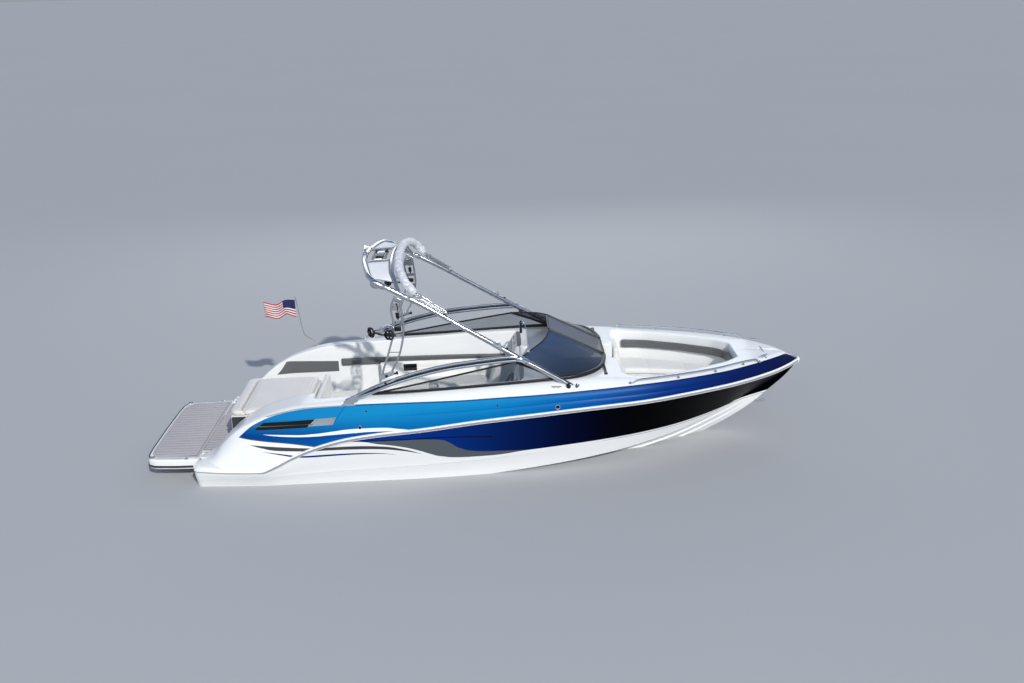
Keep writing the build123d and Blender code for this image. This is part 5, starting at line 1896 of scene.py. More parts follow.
def build_pods():
    """Dash pods either side of the walk-through: one moulding each, with an instrument panel."""
    out = []
    for name, s, node in (("helm_dash", -1, "helm_console"), ("port_dash", 1, "port_console")):
        B = Build()
        pts = [(4.0735, .802), (4.148, .802), (4.148, 1.205), (4.118, 1.205), (4.092, 1.186), (4.052, 1.045), (4.052, 1.02)]
        V, Fc = prism(pts, *sorted((s * .932, s * .318)), .014, 4)
        B.add(V, Fc, 0)
        if s < 0:
            # dark instrument panel, raised bezel, switch row, radio face, grab handle
            up = Vector((.3906, 0, .9205))
            c = Vector((4.0835, -.62, 1.118))
            def pan(cy, cu, w, h, t, mat, r=.012):
                o_ = c + up * cu + Vector((0, cy + .62, 0)) * 1.0
                o_.y = cy
                ol = round_loop([(-w / 2, -h / 2), (w / 2, -h / 2), (w / 2, h / 2), (-w / 2, h / 2)], r)
                V, Fc = slab(ol, -.002, t, min(.003, t * .5), 2)
                B.add([o_ + Vector((0, 1, 0)) * x + up * y + FACE * z for x, y, z in V], Fc, mat)
            pan(-.745, .012, .34, .120, .004, 1, .03)
            for y in (-.85, -.745, -.64):
                p = c + up * .020
                p.y = y
                V, Fc = lathe(p, FACE, [(.002, .046), (.008, .046), (.012, .042), (.012, .038)], 30)
                B.add(V, Fc, 2)
            pan(-.48, .008, .16, .070, .005, 1, .012)
            pan(-.48, .008, .13, .045, .0065, 3, .006)
            for k in range(6):
                pan(-.86 + k * .040, -.052, .024, .018, .007, 4, .003)
        else:
            up = Vector((.3906, 0, .9205))
            c = Vector((4.0835, .62, 1.118))
            # glove box door with a latch, and a grab rail
            ol = round_loop([(-.20, -.055), (.20, -.055), (.20, .05), (-.20, .05)], .02)
            V, Fc = slab(ol, -.002, .007, .003, 2)
            B.add([c + Vector((0, 1, 0)) * x + up * y + FACE * z for x, y, z in V], Fc, 0)
            ol = round_loop([(-.03, -.045), (.03, -.045), (.03, -.025), (-.03, -.025)], .006)
            V, Fc = slab(ol, .004, .012, .003, 2)
            B.add([c + Vector((0, 1, 0)) * x + up * y + FACE * z for x, y, z in V], Fc, 2)
            g = [c + Vector((0, y, 0)) + up * u + FACE * f for y, u, f in ((-.14, .066, -.004), (-.13, .070, .035), (0, .072, .045), (.13, .070, .035), (.14, .066, -.004))]
            V, Fc = sweep(resample(g, .015), circle(.010, 12))
            B.add(V, Fc, 2)
        # padded brow along the top of the pod, out to the side wall
        brow = [(4.150, s * y, z) for y, z in ((.325, 1.208), (.60, 1.212), (.925, 1.206))]
        V, Fc = sweep(resample(brow, .05), rrect(.060, .022, .010, 4), up=(0, 0, 1))
        B.add(V, Fc, 5)
        o = B.obj(name, [M["console"], M["black"], M["chrome"], M["glossblack"], M["grey"], M["vinyl_grey"]])
        recalc(o, 0)
        sharp(o, 38)
        out.append((o, node))
    return out


def build_gauges():
    B = Build()
    for y in (-.85, -.745):
        p = Vector((4.092, y, 1.140)) + FACE * .0015
        V, Fc = lathe(p, FACE, [(0, .040), (.008, .040), (.010, .037)], 30)
        B.add(V, Fc, 1)
        V, Fc = lathe(p + FACE * .008, FACE, [(0, .0365), (.0012, .0365), (.0012, 0)], 30)
        B.add(V, Fc, 0)
        up = Vector((.3906, 0, .9205))
        for k in range(9):
            a = math.radians(-30 + 240 * k / 8)
            d = Vector((0, 1, 0)) * math.cos(a) + up * math.sin(a)
            q = p + FACE * .0095
            V, Fc = sweep([q + d * .027, q + d * .033], rrect(.0022, .001, .0003, 1), up=tuple(FACE))
            B.add(V, Fc, 2)
        q = p + FACE * .0102
        d = (Vector((0, 1, 0)) * math.cos(2.2) + up * math.sin(2.2))
        V, Fc = sweep([q - d * .006, q + d * .025], rrect(.0022, .001, .0003, 1), up=tuple(FACE))
        B.add(V, Fc, 3)
        V, Fc = lathe(q, FACE, [(-.001, .004), (.001, .004), (.0015, .003), (.0015, 0)], 12)
        B.add(V, Fc, 2)
    o = B.obj("gauge_dials", [M["dial"], M["chrome"], M["black"], M["red"]])
    recalc(o, 0)
    return sharp(o, 38)


def build_wheel():
    B = Build()
    C, A = Vector((3.965, -.620, 1.010)), Vector((.906, 0, -.423)).normalized()
    u = Vector((0, 1, 0))
    w = A.cross(u).normalized()
    ring = [C + (u * math.cos(t) + w * math.sin(t)) * .170 for t in np.linspace(0, 2 * math.pi, 73)[:-1]]
    V, Fc = sweep(ring, circle(.0150, 14), closed=True)
    B.add(V, Fc, 0)
    # stitched inner seam of the grip
    ring2 = [C - A * .0 + (u * math.cos(t) + w * math.sin(t)) * .1565 for t in np.linspace(0, 2 * math.pi, 73)[:-1]]
    V, Fc = sweep(ring2, circle(.0022, 6), closed=True)
    B.add(V, Fc, 3)
    for k, a in enumerate((math.pi / 2, math.pi * 7 / 6, math.pi * 11 / 6)):
        d = u * math.cos(a) + w * math.sin(a)
        side = A.cross(d)
        for s in (-1, 1):
            V, Fc = sweep(resample([C + d * .030 + side * s * .012 + A * .004, C + d * .09 + side * s * .016 + A * .010, C + d * .158 + side * s * .022 + A * .002], .02), rrect(.016, .006, .002, 2), up=tuple(A))
            B.add(V, Fc, 1)
    V, Fc = lathe(C, A, [(-.012, 0), (-.012, .026), (-.006, .038), (.010, .042), (.022, .040), (.026, .024)], 28)
    B.add(V, Fc, 0)
    V, Fc = lathe(C - A * .0125, -A, [(-.002, .024), (.001, .024), (.003, .020), (.003, 0)], 24)
    B.add(V, Fc, 1)
    V, Fc = lathe(C + A * .010, A, [(0, .024), (.020, .022), (.030, .018), (.064, .018)], 22)
    B.add(V, Fc, 2)
    o = B.obj("helm_wheel_trimmed", [M["rubber"], M["chrome"], M["black"], M["grey"]])
    recalc(o, 0)
    return sharp(o, 38)


def build_throttle():
    B = Build()
    V, Fc = rbox(3.932, 4.047, -.900, -.876, .822, .850, .005)
    B.add(V, Fc, 1)
    V, Fc = lathe((3.945, -.903, .838), (0, 1, 0), [(0, .022), (.003, .028), (.026, .028), (.030, .022), (.030, 0)], 22)
    B.add(V, Fc, 0)
    V, Fc = sweep(resample([(3.943, -.888, .838), (3.940, -.888, .90), (3.942, -.887, .975)], .02), rrect(.014, .020, .005, 3), up=(0, 1, 0))
    B.add(V, Fc, 0)
    V, Fc = lathe((3.942, -.905, .985), (0, 1, 0), [(0, .010), (.003, .016), (.014, .018), (.030, .017), (.038, .013), (.040, 0)], 20)
    B.add(V, Fc, 0)
    o = B.obj("throttle_lever", [M["black"], M["chrome"]])
    recalc(o, 0)
    return sharp(o, 38)


def build_pedestal():
    B = Build()
    V, Fc = lathe((3.20, -.60, .2625), (0, 0, 1), [(0, .170), (.006, .170), (.014, .160), (.018, .085), (.030, .064), (.16, .060), (.165, .052), (.285, .052), (.290, .070), (.302, .070)], 36)
    B.add(V, Fc, 0)
    V, Fc = slab(round_loop([(3.052, -.758), (3.378, -.758), (3.378, -.442), (3.052, -.442)], .03), .564, .592, .006, 3)
    B.add(V, Fc, 1)
    V, Fc = lathe((3.26, -.60, .40), (.5, -.8, .1), [(.045, .012), (.09, .010), (.11, .016), (.13, .016), (.134, 0)], 14)
    B.add(V, Fc, 1)
    for k in range(6):
        a = k * math.pi / 3
        bolt(B, (3.20 + .14 * math.cos(a), -.60 + .14 * math.sin(a), .270), (0, 0, 1), .010, .006, 0)
    o = B.obj("seat_pedestal", [M["tower"], M["black"]])
    recalc(o, 0)
    return sharp(o, 38)
# =====================================================================  padded pieces
from mathutils.bvhtree import BVHTree
from mathutils.kdtree import KDTree

CUSH = []


def cushion(name, shells, body, nodes, mat, voxel=.017, cap=.012, pin=None, seams=(), pipes=(), pleats=None):
    """Queues a padded piece: closed shells, then remesh, a short cloth inflation, seams and piping."""
    B = Build()
    for V, Fc in shells:
        B.add(V, Fc)
    o = B.obj(name, [M[mat], M["vinyl_seam"]])
    recalc(o, 1e-6)
    CUSH.append(dict(o=o, name=name, body=body, nodes=nodes, voxel=voxel, cap=cap, pin=pin, seams=seams, pipes=pipes))


def eval_mesh(o):
    dg = bpy.context.evaluated_depsgraph_get()
    return bpy.data.meshes.new_from_object(o.evaluated_get(dg), depsgraph=dg)


def set_mesh(o, me):
    old = o.data
    o.modifiers.clear()
    o.data = me
    bpy.data.meshes.remove(old)


def coords(me):
    a = np.empty(len(me.vertices) * 3)
    me.vertices.foreach_get("co", a)
    return a.reshape(-1, 3)


def put_coords(me, a):
    me.vertices.foreach_set("co", np.asarray(a, float).reshape(-1))
    me.update()


def vnormals(me):
    a = np.empty(len(me.vertices) * 3)
    me.vertices.foreach_get("normal", a)
    return a.reshape(-1, 3)


def run_cushions():
    scene = bpy.context.scene
    for c in CUSH:
        o = c["o"]
        m_ = o.modifiers.new("remesh", "REMESH")
        m_.mode = "VOXEL"
        m_.voxel_size = c["voxel"]
        m_.use_smooth_shade = True
        set_mesh(o, eval_mesh(o))
        c["base"] = coords(o.data)
        w = np.array([1.0 if (c["pin"] and c["pin"](*p)) else 0.0 for p in c["base"]])
        c["w"] = w
        g = o.vertex_groups.new(name="rest")
        idx = [int(i) for i in np.nonzero(w > .5)[0]]
        if idx:
            g.add(idx, 1.0, "REPLACE")
        cl = o.modifiers.new("cloth", "CLOTH")
        s = cl.settings
        s.quality = 4
        s.mass = .3
        s.tension_stiffness = s.compression_stiffness = 18
        s.shear_stiffness = 8
        s.bending_stiffness = .8
        s.use_pressure = True
        s.uniform_pressure_force = 4.0
        s.effector_weights.gravity = 0
        if idx:
            s.vertex_group_mass = "rest"
        cl.collision_settings.use_collision = False
        cl.point_cache.frame_start, cl.point_cache.frame_end = 1, 20
    for f in range(1, 21):
        scene.frame_set(f)
    dg = bpy.context.evaluated_depsgraph_get()
    for c in CUSH:
        o = c["o"]
        nr = vnormals(o.data)
        me = bpy.data.meshes.new_from_object(o.evaluated_get(dg), depsgraph=dg)
        d = coords(me) - c["base"]
        bpy.data.meshes.remove(me)
        L = np.linalg.norm(d, axis=1) + 1e-12
        d *= (np.minimum(L, c["cap"]) / L)[:, None]
        d *= (1 - c["w"])[:, None]
        c["d"] = d
    scene.frame_set(1)
    for c in CUSH:
        o = c["o"]
        o.modifiers.clear()
        o.vertex_groups.clear()
        put_coords(o.data, c["base"] + c["d"])
        # relax the remesh steps, then one subdivision
        bm = bmesh.new()
        bm.from_mesh(o.data)
        for _ in range(2):
            bmesh.ops.smooth_vert(bm, verts=bm.verts, factor=.5, use_axis_x=True, use_axis_y=True, use_axis_z=True)
        bm.to_mesh(o.data)
        bm.free()
        sd = o.modifiers.new("sub", "SUBSURF")
        sd.levels = sd.render_levels = 1
        set_mesh(o, eval_mesh(o))
        me = o.data
        P = coords(me)
        N = vnormals(me)
        # sewn seams: the line is found on the surface, then pressed in
        def tree():
            return BVHTree.FromPolygons([tuple(p) for p in coords(me)], [tuple(p.vertices) for p in me.polygons])
        bvh = tree()
        disp = np.zeros(len(P))
        for pts, direction, depth, width in c["seams"]:
            hit = trace(bvh, pts, direction)
            if len(hit) < 2:
                continue
            kd = KDTree(len(hit))
            for i, h in enumerate(hit):
                kd.insert(h, i)
            kd.balance()
            for i in range(len(P)):
                _, _, dist = kd.find(P[i])
                if dist < width * 3:
                    disp[i] = max(disp[i], depth * math.exp(-(dist / width) ** 2))
        if disp.any():
            put_coords(me, P - N * disp[:, None])
            bvh = tree()
        if c["pipes"]:
            X = Build()
            for pts, direction, r in c["pipes"]:
                hit = trace(bvh, pts, direction)
                if len(hit) >= 3:
                    dv = Vector(direction).normalized()
                    V, Fc = sweep([h + dv * (r * .25) for h in hit], circle(r, 7))
                    X.add(V, Fc, 1)
            if X.v:
                x = X.obj("tmp", [])
                bm = bmesh.new()
                bm.from_mesh(me)
                bm.from_mesh(x.data)
                bm.to_mesh(me)
                bm.free()
                bpy.data.objects.remove(x)
        me.polygons.foreach_set("use_smooth", [True] * len(me.polygons))
        me.update()
        piece(o, c["body"], c["nodes"])
    print("cushion triangles", sum(sum(len(p.vertices) - 2 for p in c["o"].data.polygons) for c in CUSH))


def trace(bvh, pts, direction, step=.008):
    """Points of a line laid over a cushion, followed down onto its surface along a direction."""
    d = Vector(direction).normalized()
    out = []
    P = [Vector(p) for p in pts]
    for i in range(len(P) - 1):
        k = max(1, int((P[i + 1] - P[i]).length / step))
        for j in range(k + (1 if i == len(P) - 2 else 0)):
            q = P[i] + (P[i + 1] - P[i]) * (j / k)
            h = bvh.ray_cast(q - d * .5, d)
            if h[0] is not None:
                out.append(h[0])
    return out


def soft_prism(pts, y0, y1, r):
    return prism(pts, y0, y1, r, 4)


def rect_seam(x0, x1, y0, y1, r, z):
    lp = round_loop([(x0, y0), (x1, y0), (x1, y1), (x0, y1)], r)
    return [(x, y, z) for x, y in lp + [lp[0]]]


DOWN = (0, 0, -1)


def offset_line(pts, d):
    """A plan line moved sideways by d (to the left of its direction)."""
    P = [Vector(p[:2]) for p in pts]
    out = []
    for i in range(len(P)):
        a = (P[i] - P[i - 1]).normalized() if i else (P[1] - P[0]).normalized()
        b = (P[i + 1] - P[i]).normalized() if i < len(P) - 1 else a
        na, nb = Vector((-a.y, a.x)), Vector((-b.y, b.x))
        q = (na + nb).normalized()
        out.append(P[i] + q * (d / max(.6, q.dot(na))))
    return [tuple(p) for p in out]


def strip_shell(line, d0, d1, z0, z1, r, lean=0.0):
    """A bolster that follows a plan line, between two offsets from it, with rounded edges."""
    P = resample([(p[0], p[1], 0) for p in line], .03)
    m_ = [(p.x, p.y) for p in P]
    a, b = offset_line(m_, d0), offset_line(m_, d1)
    w, h = abs(d1 - d0), z1 - z0
    prof = rrect(w, h, r, 4)
    n = len(m_)
    V = []
    for i in range(n):
        A, Bp = Vector(a[i]), Vector(b[i])
        s = (Bp - A).normalized()
        c = (A + Bp) / 2
        e = min(1.0, min(i, n - 1 - i) / 1.6 + .55)
        for u, v in prof:
            q = c + s * (u * e + lean * (v / h))
            V.append((q.x, q.y, (z0 + z1) / 2 + v * (.72 + .28 * e)))
    k = len(prof)
    Fc = []
    for i in range(n - 1):
        for j in range(k):
            Fc.append((i * k + j, (i + 1) * k + j, (i + 1) * k + (j + 1) % k, i * k + (j + 1) % k))
    Fc.append(tuple(reversed(range(k))))
    Fc.append(tuple(range((n - 1) * k, n * k)))
    return V, Fc


def build_cushions():
    # sun pad with its rounded aft corners, and the roll that wraps them
    pad = round_loop([(.537, -.741), (1.383, -.741), (1.383, .431), (.537, .431)], [.10, .05, .05, .10], .05)
    seams = [(rect_seam(.600, 1.315, -.672, .362, .06, 1.0), DOWN, .0075, .009)]
    for k in range(1, 9):
        y = -.672 + k * .1149
        seams.append(([(.615, y, 1.0), (1.30, y, 1.0)], DOWN, .0030, .010))
    cushion("sun_pad_cover", [slab(pad, .774, .836, .020, 4)], "hatch", "sun_pad", "vinyl_sand", .0175, .011, lambda x, y, z: z < .781, seams,
            [(rect_seam(.600, 1.315, -.672, .362, .06, 1.0), DOWN, .0022)])
    roll = round_loop([(.404, -.741), (.612, -.741), (.612, -.735), (.560, -.715), (.530, -.640), (.530, .330), (.560, .405), (.612, .425), (.612, .431), (.404, .431)],
                      [.13, .003, .003, .03, .07, .07, .03, .003, .003, .13], .04)
    cushion("aft_bolster_cover", [slab(roll, .774, .842, .026, 4)], "hatch", "aft_bolster", "vinyl_sand", .0135, .008, lambda x, y, z: z < .780, [], [])
    # aft bench
    seat = [(1.569, .530), (1.972, .530), (1.974, .618), (1.958, .628), (1.58, .610), (1.568, .60)]
    back = [(1.461, .530), (1.547, .530), (1.523, .876), (1.508, .882), (1.463, .880)]
    sm = []
    for y in (-.47, -.02):
        sm.append(([(1.60, y, .9), (1.96, y, .9)], DOWN, .007, .009))
        sm.append(([(1.9, y, .56), (1.9, y, .86)], (-1, 0, 0), .007, .009))
    sm.append(([(1.90, y, .9) for y in np.linspace(-.90, .39, 50)], DOWN, .0065, .009))
    sm.append(([(1.9, y, .80) for y in np.linspace(-.90, .39, 50)], (-1, 0, 0), .006, .009))
    cushion("bench_cushions", [soft_prism(seat, -.928, .415, .020), soft_prism(back, -.922, .415, .018)], "boat", "aft_bench", "vinyl", .0165, .010,
            lambda x, y, z: (z < .536) or x < 1.466, sm, [([(1.90, y, .9) for y in np.linspace(-.90, .39, 60)], DOWN, .0022)])
    # port lounge: seat, back bolster along the side, and the dash end backrest
    s1 = rbox(2.160, 3.690, .480, .832, .509, .610, .024, 4)
    s2 = rbox(2.160, 3.690, .852, .916, .509, .840, .022, 4)
    s3 = soft_prism([(3.713, .510), (3.842, .510), (3.890, .850), (3.798, .850)], .490, .890, .022)
    sm = []
    for x in (2.67, 3.18):
        sm.append(([(x, .49, .9), (x, .825, .9)], DOWN, .007, .009))
        sm.append(([(x, .5, .63), (x, .5, .83)], (0, 1, 0), .007, .009))
    sm.append(([(x, .545, .9) for x in np.linspace(2.19, 3.66, 60)], DOWN, .006, .009))
    sm.append(([(x, .5, .76) for x in np.linspace(2.19, 3.66, 60)], (0, 1, 0), .006, .009))
    sm.append(([(3.5, y, .78) for y in np.linspace(.51, .87, 20)], (1, 0, 0), .006, .009))
    cushion("lounge_cushions", [s1, s2, s3], "boat", "port_lounge", "vinyl", .0165, .009, lambda x, y, z: z < .516 or (y > .908), sm,
            [([(x, .545, .9) for x in np.linspace(2.19, 3.66, 80)], DOWN, .0022)])
    # coaming pads: grey bands along both cockpit walls
    coam = [(1.60, -.984), (1.9, -.994), (2.5, -1.008), (3.3, -.998), (3.96, -.962)]
    sh = strip_shell(coam, .010, .036, .776, .892, .011)
    shp = ([(x, -y, z) for x, y, z in sh[0]], [tuple(reversed(f)) for f in sh[1]])
    cushion("coaming_cushions", [sh, shp], "boat", "coaming_pads", "vinyl_grey", .0115, .005, lambda x, y, z: abs(y) > .972 + .030 * min(1, max(0, (x - 1.6) / .9)),
            [([(x, 0, .835) for x in np.linspace(1.63, 3.92, 120)], (0, 1, 0), .0035, .007), ([(x, 0, .835) for x in np.linspace(1.63, 3.92, 120)], (0, -1, 0), .0035, .007)])
    # helm bucket seat: base, back and two side wings
    s_ = round_loop([(2.89, -.840), (3.475, -.840), (3.475, -.360), (2.89, -.360)], [.06, .14, .14, .06])
    base = slab(s_, .602, .704, .030, 4)
    bk = soft_prism([(2.962, .715), (3.035, .715), (3.048, 1.070), (2.960, 1.072)], -.838, -.362, .026)
    w1 = soft_prism([(2.97, .70), (3.40, .70), (3.34, .745), (3.10, .80), (3.055, 1.00), (2.98, 1.02)], -.842, -.782, .020)
    w2 = soft_prism([(2.97, .70), (3.40, .70), (3.34, .745), (3.10, .80), (3.055, 1.00), (2.98, 1.02)], -.418, -.358, .020)
    cushion("helm_seat_cover", [base, bk, w1, w2], "boat", "helm_seat", "vinyl", .0145, .009, lambda x, y, z: z < .607,
            [([(3.15, y, .9) for y in np.linspace(-.76, -.44, 30)], DOWN, .007, .009), ([(3.33, y, .9) for y in np.linspace(-.78, -.42, 30)], DOWN, .007, .009),
             ([(3.6, y, .86) for y in np.linspace(-.77, -.43, 30)], (-1, 0, 0), .007, .009), ([(3.6, y, .99) for y in np.linspace(-.80, -.40, 30)], (-1, 0, 0), .006, .009)])
    # bow seats: port and starboard runs that meet at the front
    outer = [(5.452, .872), (5.90, .814), (6.39, .618), (6.775, .412), (6.955, .235)]
    inner = [(5.452, .357), (5.905, .327), (6.405, .214), (6.672, .072)]
    out = round_loop(outer + [(6.955, -.235)] + [(x, -y) for x, y in reversed(outer[:-1])] + [(x, -y) for x, y in inner] + [(6.672, .072)] + [(x, y) for x, y in reversed(inner[:-1])],
                     [.06, .5, .5, .3, .10, .10, .3, .5, .5, .06, .05, .4, .3, .035, .035, .3, .4, .05], .04)
    sm = []
    for s in (1, -1):
        for x, ya, yb in ((5.93, .34, .80), (6.42, .215, .60)):
            sm.append(([(x, ya * s, 1.2), (x, yb * s, 1.2)], DOWN, .008, .009))
        ed = [(5.47, .405), (5.92, .376), (6.43, .262), (6.72, .10)]
        sm.append(([(p.x, p.y * s, 1.2) for p in resample([(a, b, 0) for a, b in ed], .05)], DOWN, .0065, .009))
        sm.append(([(6.70, .10 * s, 1.2), (6.93, .20 * s, 1.2)], DOWN, .008, .009))
    cushion("bow_seat_cushions", [slab(out, .727, .800, .024, 4)], "boat", "bow_cushions", "vinyl", .0185, .010, lambda x, y, z: z < .733, sm,
            [(q[0], q[1], .0022) for q in sm if len(q[0]) > 4])
    # backrests at the aft end of each bow seat
    bks = []
    for s in (1, -1):
        y0, y1 = sorted((.350 * s, .820 * s))
        bks.append(soft_prism([(5.438, .819), (5.550, .819), (5.494, 1.120), (5.440, 1.120)], y0, y1, .024))
    sm = []
    for s in (1, -1):
        sm.append(([(6.0, y * s, 1.03) for y in np.linspace(.36, .81, 24)], (-1, 0, 0), .007, .009))
        for y in (.50, .67):
            sm.append(([(6.0, y * s, .85), (6.0, y * s, 1.02)], (-1, 0, 0), .006, .009))
    cushion("bow_backrest_cushions", bks, "boat", "bow_backrests", "vinyl", .0155, .009, lambda x, y, z: x < 5.443, sm)
    # grey bolster round the bow coaming
    wall = [(5.60, -.872), (5.90, -.832), (6.15, -.737), (6.40, -.634), (6.60, -.530), (6.80, -.424), (6.90, -.345), (6.952, -.268), (6.984, -.190), (6.994, -.10), (6.994, 0)]
    wall = wall + [(x, -y) for x, y in reversed(wall[:-1])]
    sh = strip_shell(wall, .010, .040, .945, 1.070, .012)
    cushion("bow_coaming_cushions", [sh], "boat", "bow_side_pads", "vinyl_grey", .0115, .005, None,
            [([(p.x, 0, 1.008) for p in resample([(5.63, 0, 0), (6.88, 0, 0)], .02)], (0, 1, 0), .0035, .007), ([(p.x, 0, 1.008) for p in resample([(5.63, 0, 0), (6.88, 0, 0)], .02)], (0, -1, 0), .0035, .007)])
    # folded sun top in its boot
    bt = [(2.876, -.966, 2.386), (2.830, -.970, 2.452), (2.780, -.955, 2.520), (2.738, -.885, 2.575), (2.700, -.770, 2.612), (2.672, -.600, 2.642), (2.655, -.40, 2.668), (2.649, -.2, 2.684), (2.648, 0, 2.690)]
    path = hoop(resample(bt, .03))
    n = len(path)
    sc = []
    for i in range(n):
        s = i / (n - 1)
        e = min(1.0, .80 + min(s, 1 - s) * 8)
        sc.append(e * (1 + .040 * math.sin(s * 61) + .035 * math.sin(s * 143 + 1)))
    V, Fc = sweep(path, circle(.051, 22, .055), scale=sc)
    seams = []
    for i in range(4, n - 4, 4):
        p = path[i]
        t = (path[i + 1] - path[i - 1]).normalized()
        a, b = t.cross(Vector((.3, 0, 1))).normalized(), None
        b = a.cross(t)
        for ang, lenn in (((i * 37) % 360, 1.7), ((i * 71 + 90) % 360, 1.2)):
            ln = []
            for k in range(9):
                th = math.radians(ang) + lenn * (k / 8 - .5)
                ln.append(p + (a * math.cos(th) + b * math.sin(th)) * .052 + t * (.018 * (k / 8 - .5)))
            seams.append(("free", ln, .006, .010))
    cushion("sun_top_boot_cover", [(V, Fc)], "tower", "sun_top_boot", "canvas", .0105, .006, None, [])
    CUSH[-1]["free"] = seams


def crease_boot():
    c = CUSH[-1]
    me = c["o"].data
    P, N = coords(me), vnormals(me)
    pts = [q for _, ln, _, _ in c["free"] for q in resample(ln, .006)]
    kd = KDTree(len(pts))
    for i, q in enumerate(pts):
        kd.insert(q, i)
    kd.balance()
    d = np.zeros(len(P))
    for i in range(len(P)):
        _, _, dist = kd.find(P[i])
        if dist < .03:
            d[i] = .0150 * math.exp(-(dist / .013) ** 2)
    wob = np.array([noise.noise(Vector((p[0] * 14, p[1] * 22, p[2] * 14))) for p in P]) * .007
    put_coords(me, P - N * (d + wob)[:, None])
# =====================================================================  stern
PLAT = [(-.003, .984), (-.300, .980), (-.560, .957), (-.640, .914), (-.680, .820), (-.695, .600), (-.700, 0)]
PADL = [(-.008, .915), (-.520, .893), (-.560, .870), (-.622, .800), (-.648, .700), (-.656, .560), (-.658, 0)]


def full_outline(half):
    return half + [(x, -y) for x, y in reversed(half[:-1])]


def build_platform():
    B = Build()
    rr = [.02, .5, .10, .05, .08, .4, 0, .4, .08, .05, .10, .5, .02]
    loop = round_loop(full_outline(PLAT), rr, .05)
    V, Fc = slab(loop, .1605, .2995, .026, 5, .034)
    B.add(V, Fc, 0)
    rim = [Vector((x, y, .205)) for x, y in loop if x < -.03]
    V, Fc = sweep([p + Vector((-.0005, 0, 0)) for p in rim], rrect(.008, .030, .0035, 3), up=(0, 0, 1))
    B.add(V, Fc, 1)
    # dark edging on the aft rim and a chrome rubbing strip with an end fitting on each side
    top = [Vector((x + .012, y * .988, .2985)) for x, y in loop if x < -.62]
    V, Fc = sweep(top, rrect(.018, .006, .002, 2), up=(0, 0, 1))
    B.add(V, Fc, 1)
    for s in (1, -1):
        V, Fc = sweep(resample([(-.560, .925 * s, .3005), (-.40, .938 * s, .3005), (-.175, .948 * s, .3005)], .05), rrect(.014, .010, .004, 3), up=(0, 0, 1))
        B.add(V, Fc, 2)
        V, Fc = slab(round_loop([(-.175, (.948 - .020) * s), (-.125, (.950 - .020) * s), (-.125, (.950 + .020) * s), (-.175, (.948 + .020) * s)], .010), .2985, .309, .004, 3, .001)
        B.add(V, Fc, 2)
    o = B.obj("platform_shell", [M["gel"], M["darkgrey"], M["chrome"]])
    recalc(o, 1e-5)
    return sharp(o, 40)


def build_decking():
    B = Build()
    half = [Vector((p[0], p[1])) for p in round_loop(full_outline(PADL), [.02, .3, .05, .05, .08, .3, 0, .3, .08, .05, .05, .3, .02], .04)]
    lp = [tuple(p) for p in half]

    def edge(y):
        y = abs(y)
        P = [(p[1], p[0]) for p in lp if p[1] >= 0 and p[0] < -.2]
        P.sort()
        return float(np.interp(y, [p[0] for p in P], [p[1] for p in P]))
    V, Fc = slab(lp, .3000, .3028, .0008, 2, 0)
    B.add(V, Fc, 1)
    # border ring
    m_ = len(lp)
    area = sum(lp[i][0] * lp[(i + 1) % m_][1] - lp[(i + 1) % m_][0] * lp[i][1] for i in range(m_))
    if area < 0:
        lp = lp[::-1]
    inn = [tuple(q) for q in offset_closed(lp, .030)]
    inn2 = [tuple(q) for q in offset_closed(lp, .0035)]
    z0, z1 = .3025, .3058
    rows = [(lp, z0), (inn2, z1), (offset_closed(lp, .027), z1), (inn, z0)]
    V = []
    for r_, z in rows:
        V += [(p[0], p[1], z) for p in r_]
    Fc = []
    for k in range(3):
        for i in range(m_):
            j = (i + 1) % m_
            Fc.append((k * m_ + i, k * m_ + j, (k + 1) * m_ + j, (k + 1) * m_ + i))
    B.add(V, Fc, 0)
    n = 22
    w = 1.74 / n
    for k in range(n):
        a, b = -.87 + k * w + .0052, -.87 + (k + 1) * w - .0052
        ys = np.linspace(a, b, 3)
        xe = [edge(y) + .033 for y in ys]
        if max(xe) > -.1:
            continue
        xfw = -.042
        pts = [(xfw, ys[0]), (xfw, ys[-1])] + [(e, y) for y, e in reversed(list(zip(ys, xe)))]
        V, Fc = slab(pts, .3025, .3060, .0012, 2, 0)
        B.add(V, Fc, 0)
    for x0, x1, ya, yb, za in ((.006, .408, -.733, .423, .310), (.006, 1.378, .457, .868, .290)):
        V, Fc = slab(round_loop([(x0, ya), (x1, ya), (x1, yb), (x0, yb)], .02), za, za + .0028, .0008, 2, 0)
        B.add(V, Fc, 1)
        nn = max(1, round((yb - ya - .02) / .077))
        ww = (yb - ya - .012) / nn
        for k in range(nn):
            a, b = ya + .006 + k * ww + .0052, ya + .006 + (k + 1) * ww - .0052
            V, Fc = slab([(x0 + .006, a), (x1 - .006, a), (x1 - .006, b), (x0 + .006, b)], za + .0025, za + .0060, .0012, 2, 0)
            B.add(V, Fc, 0)
    o = B.obj("decking_panels", [M["foam"], M["groove"]])
    recalc(o, 0)
    return sharp(o, 40)


def offset_closed(loop, d):
    """A counter-clockwise plan loop moved inward by d."""
    P = [Vector(p[:2]) for p in loop]
    n = len(P)
    out = []
    for i in range(n):
        a, b = (P[i] - P[i - 1]).normalized(), (P[(i + 1) % n] - P[i]).normalized()
        na, nb = Vector((-a.y, a.x)), Vector((-b.y, b.x))
        q = na + nb
        q = q.normalized() if q.length > 1e-6 else na
        out.append(tuple(P[i] + q * (d / max(.5, q.dot(na)))))
    return out


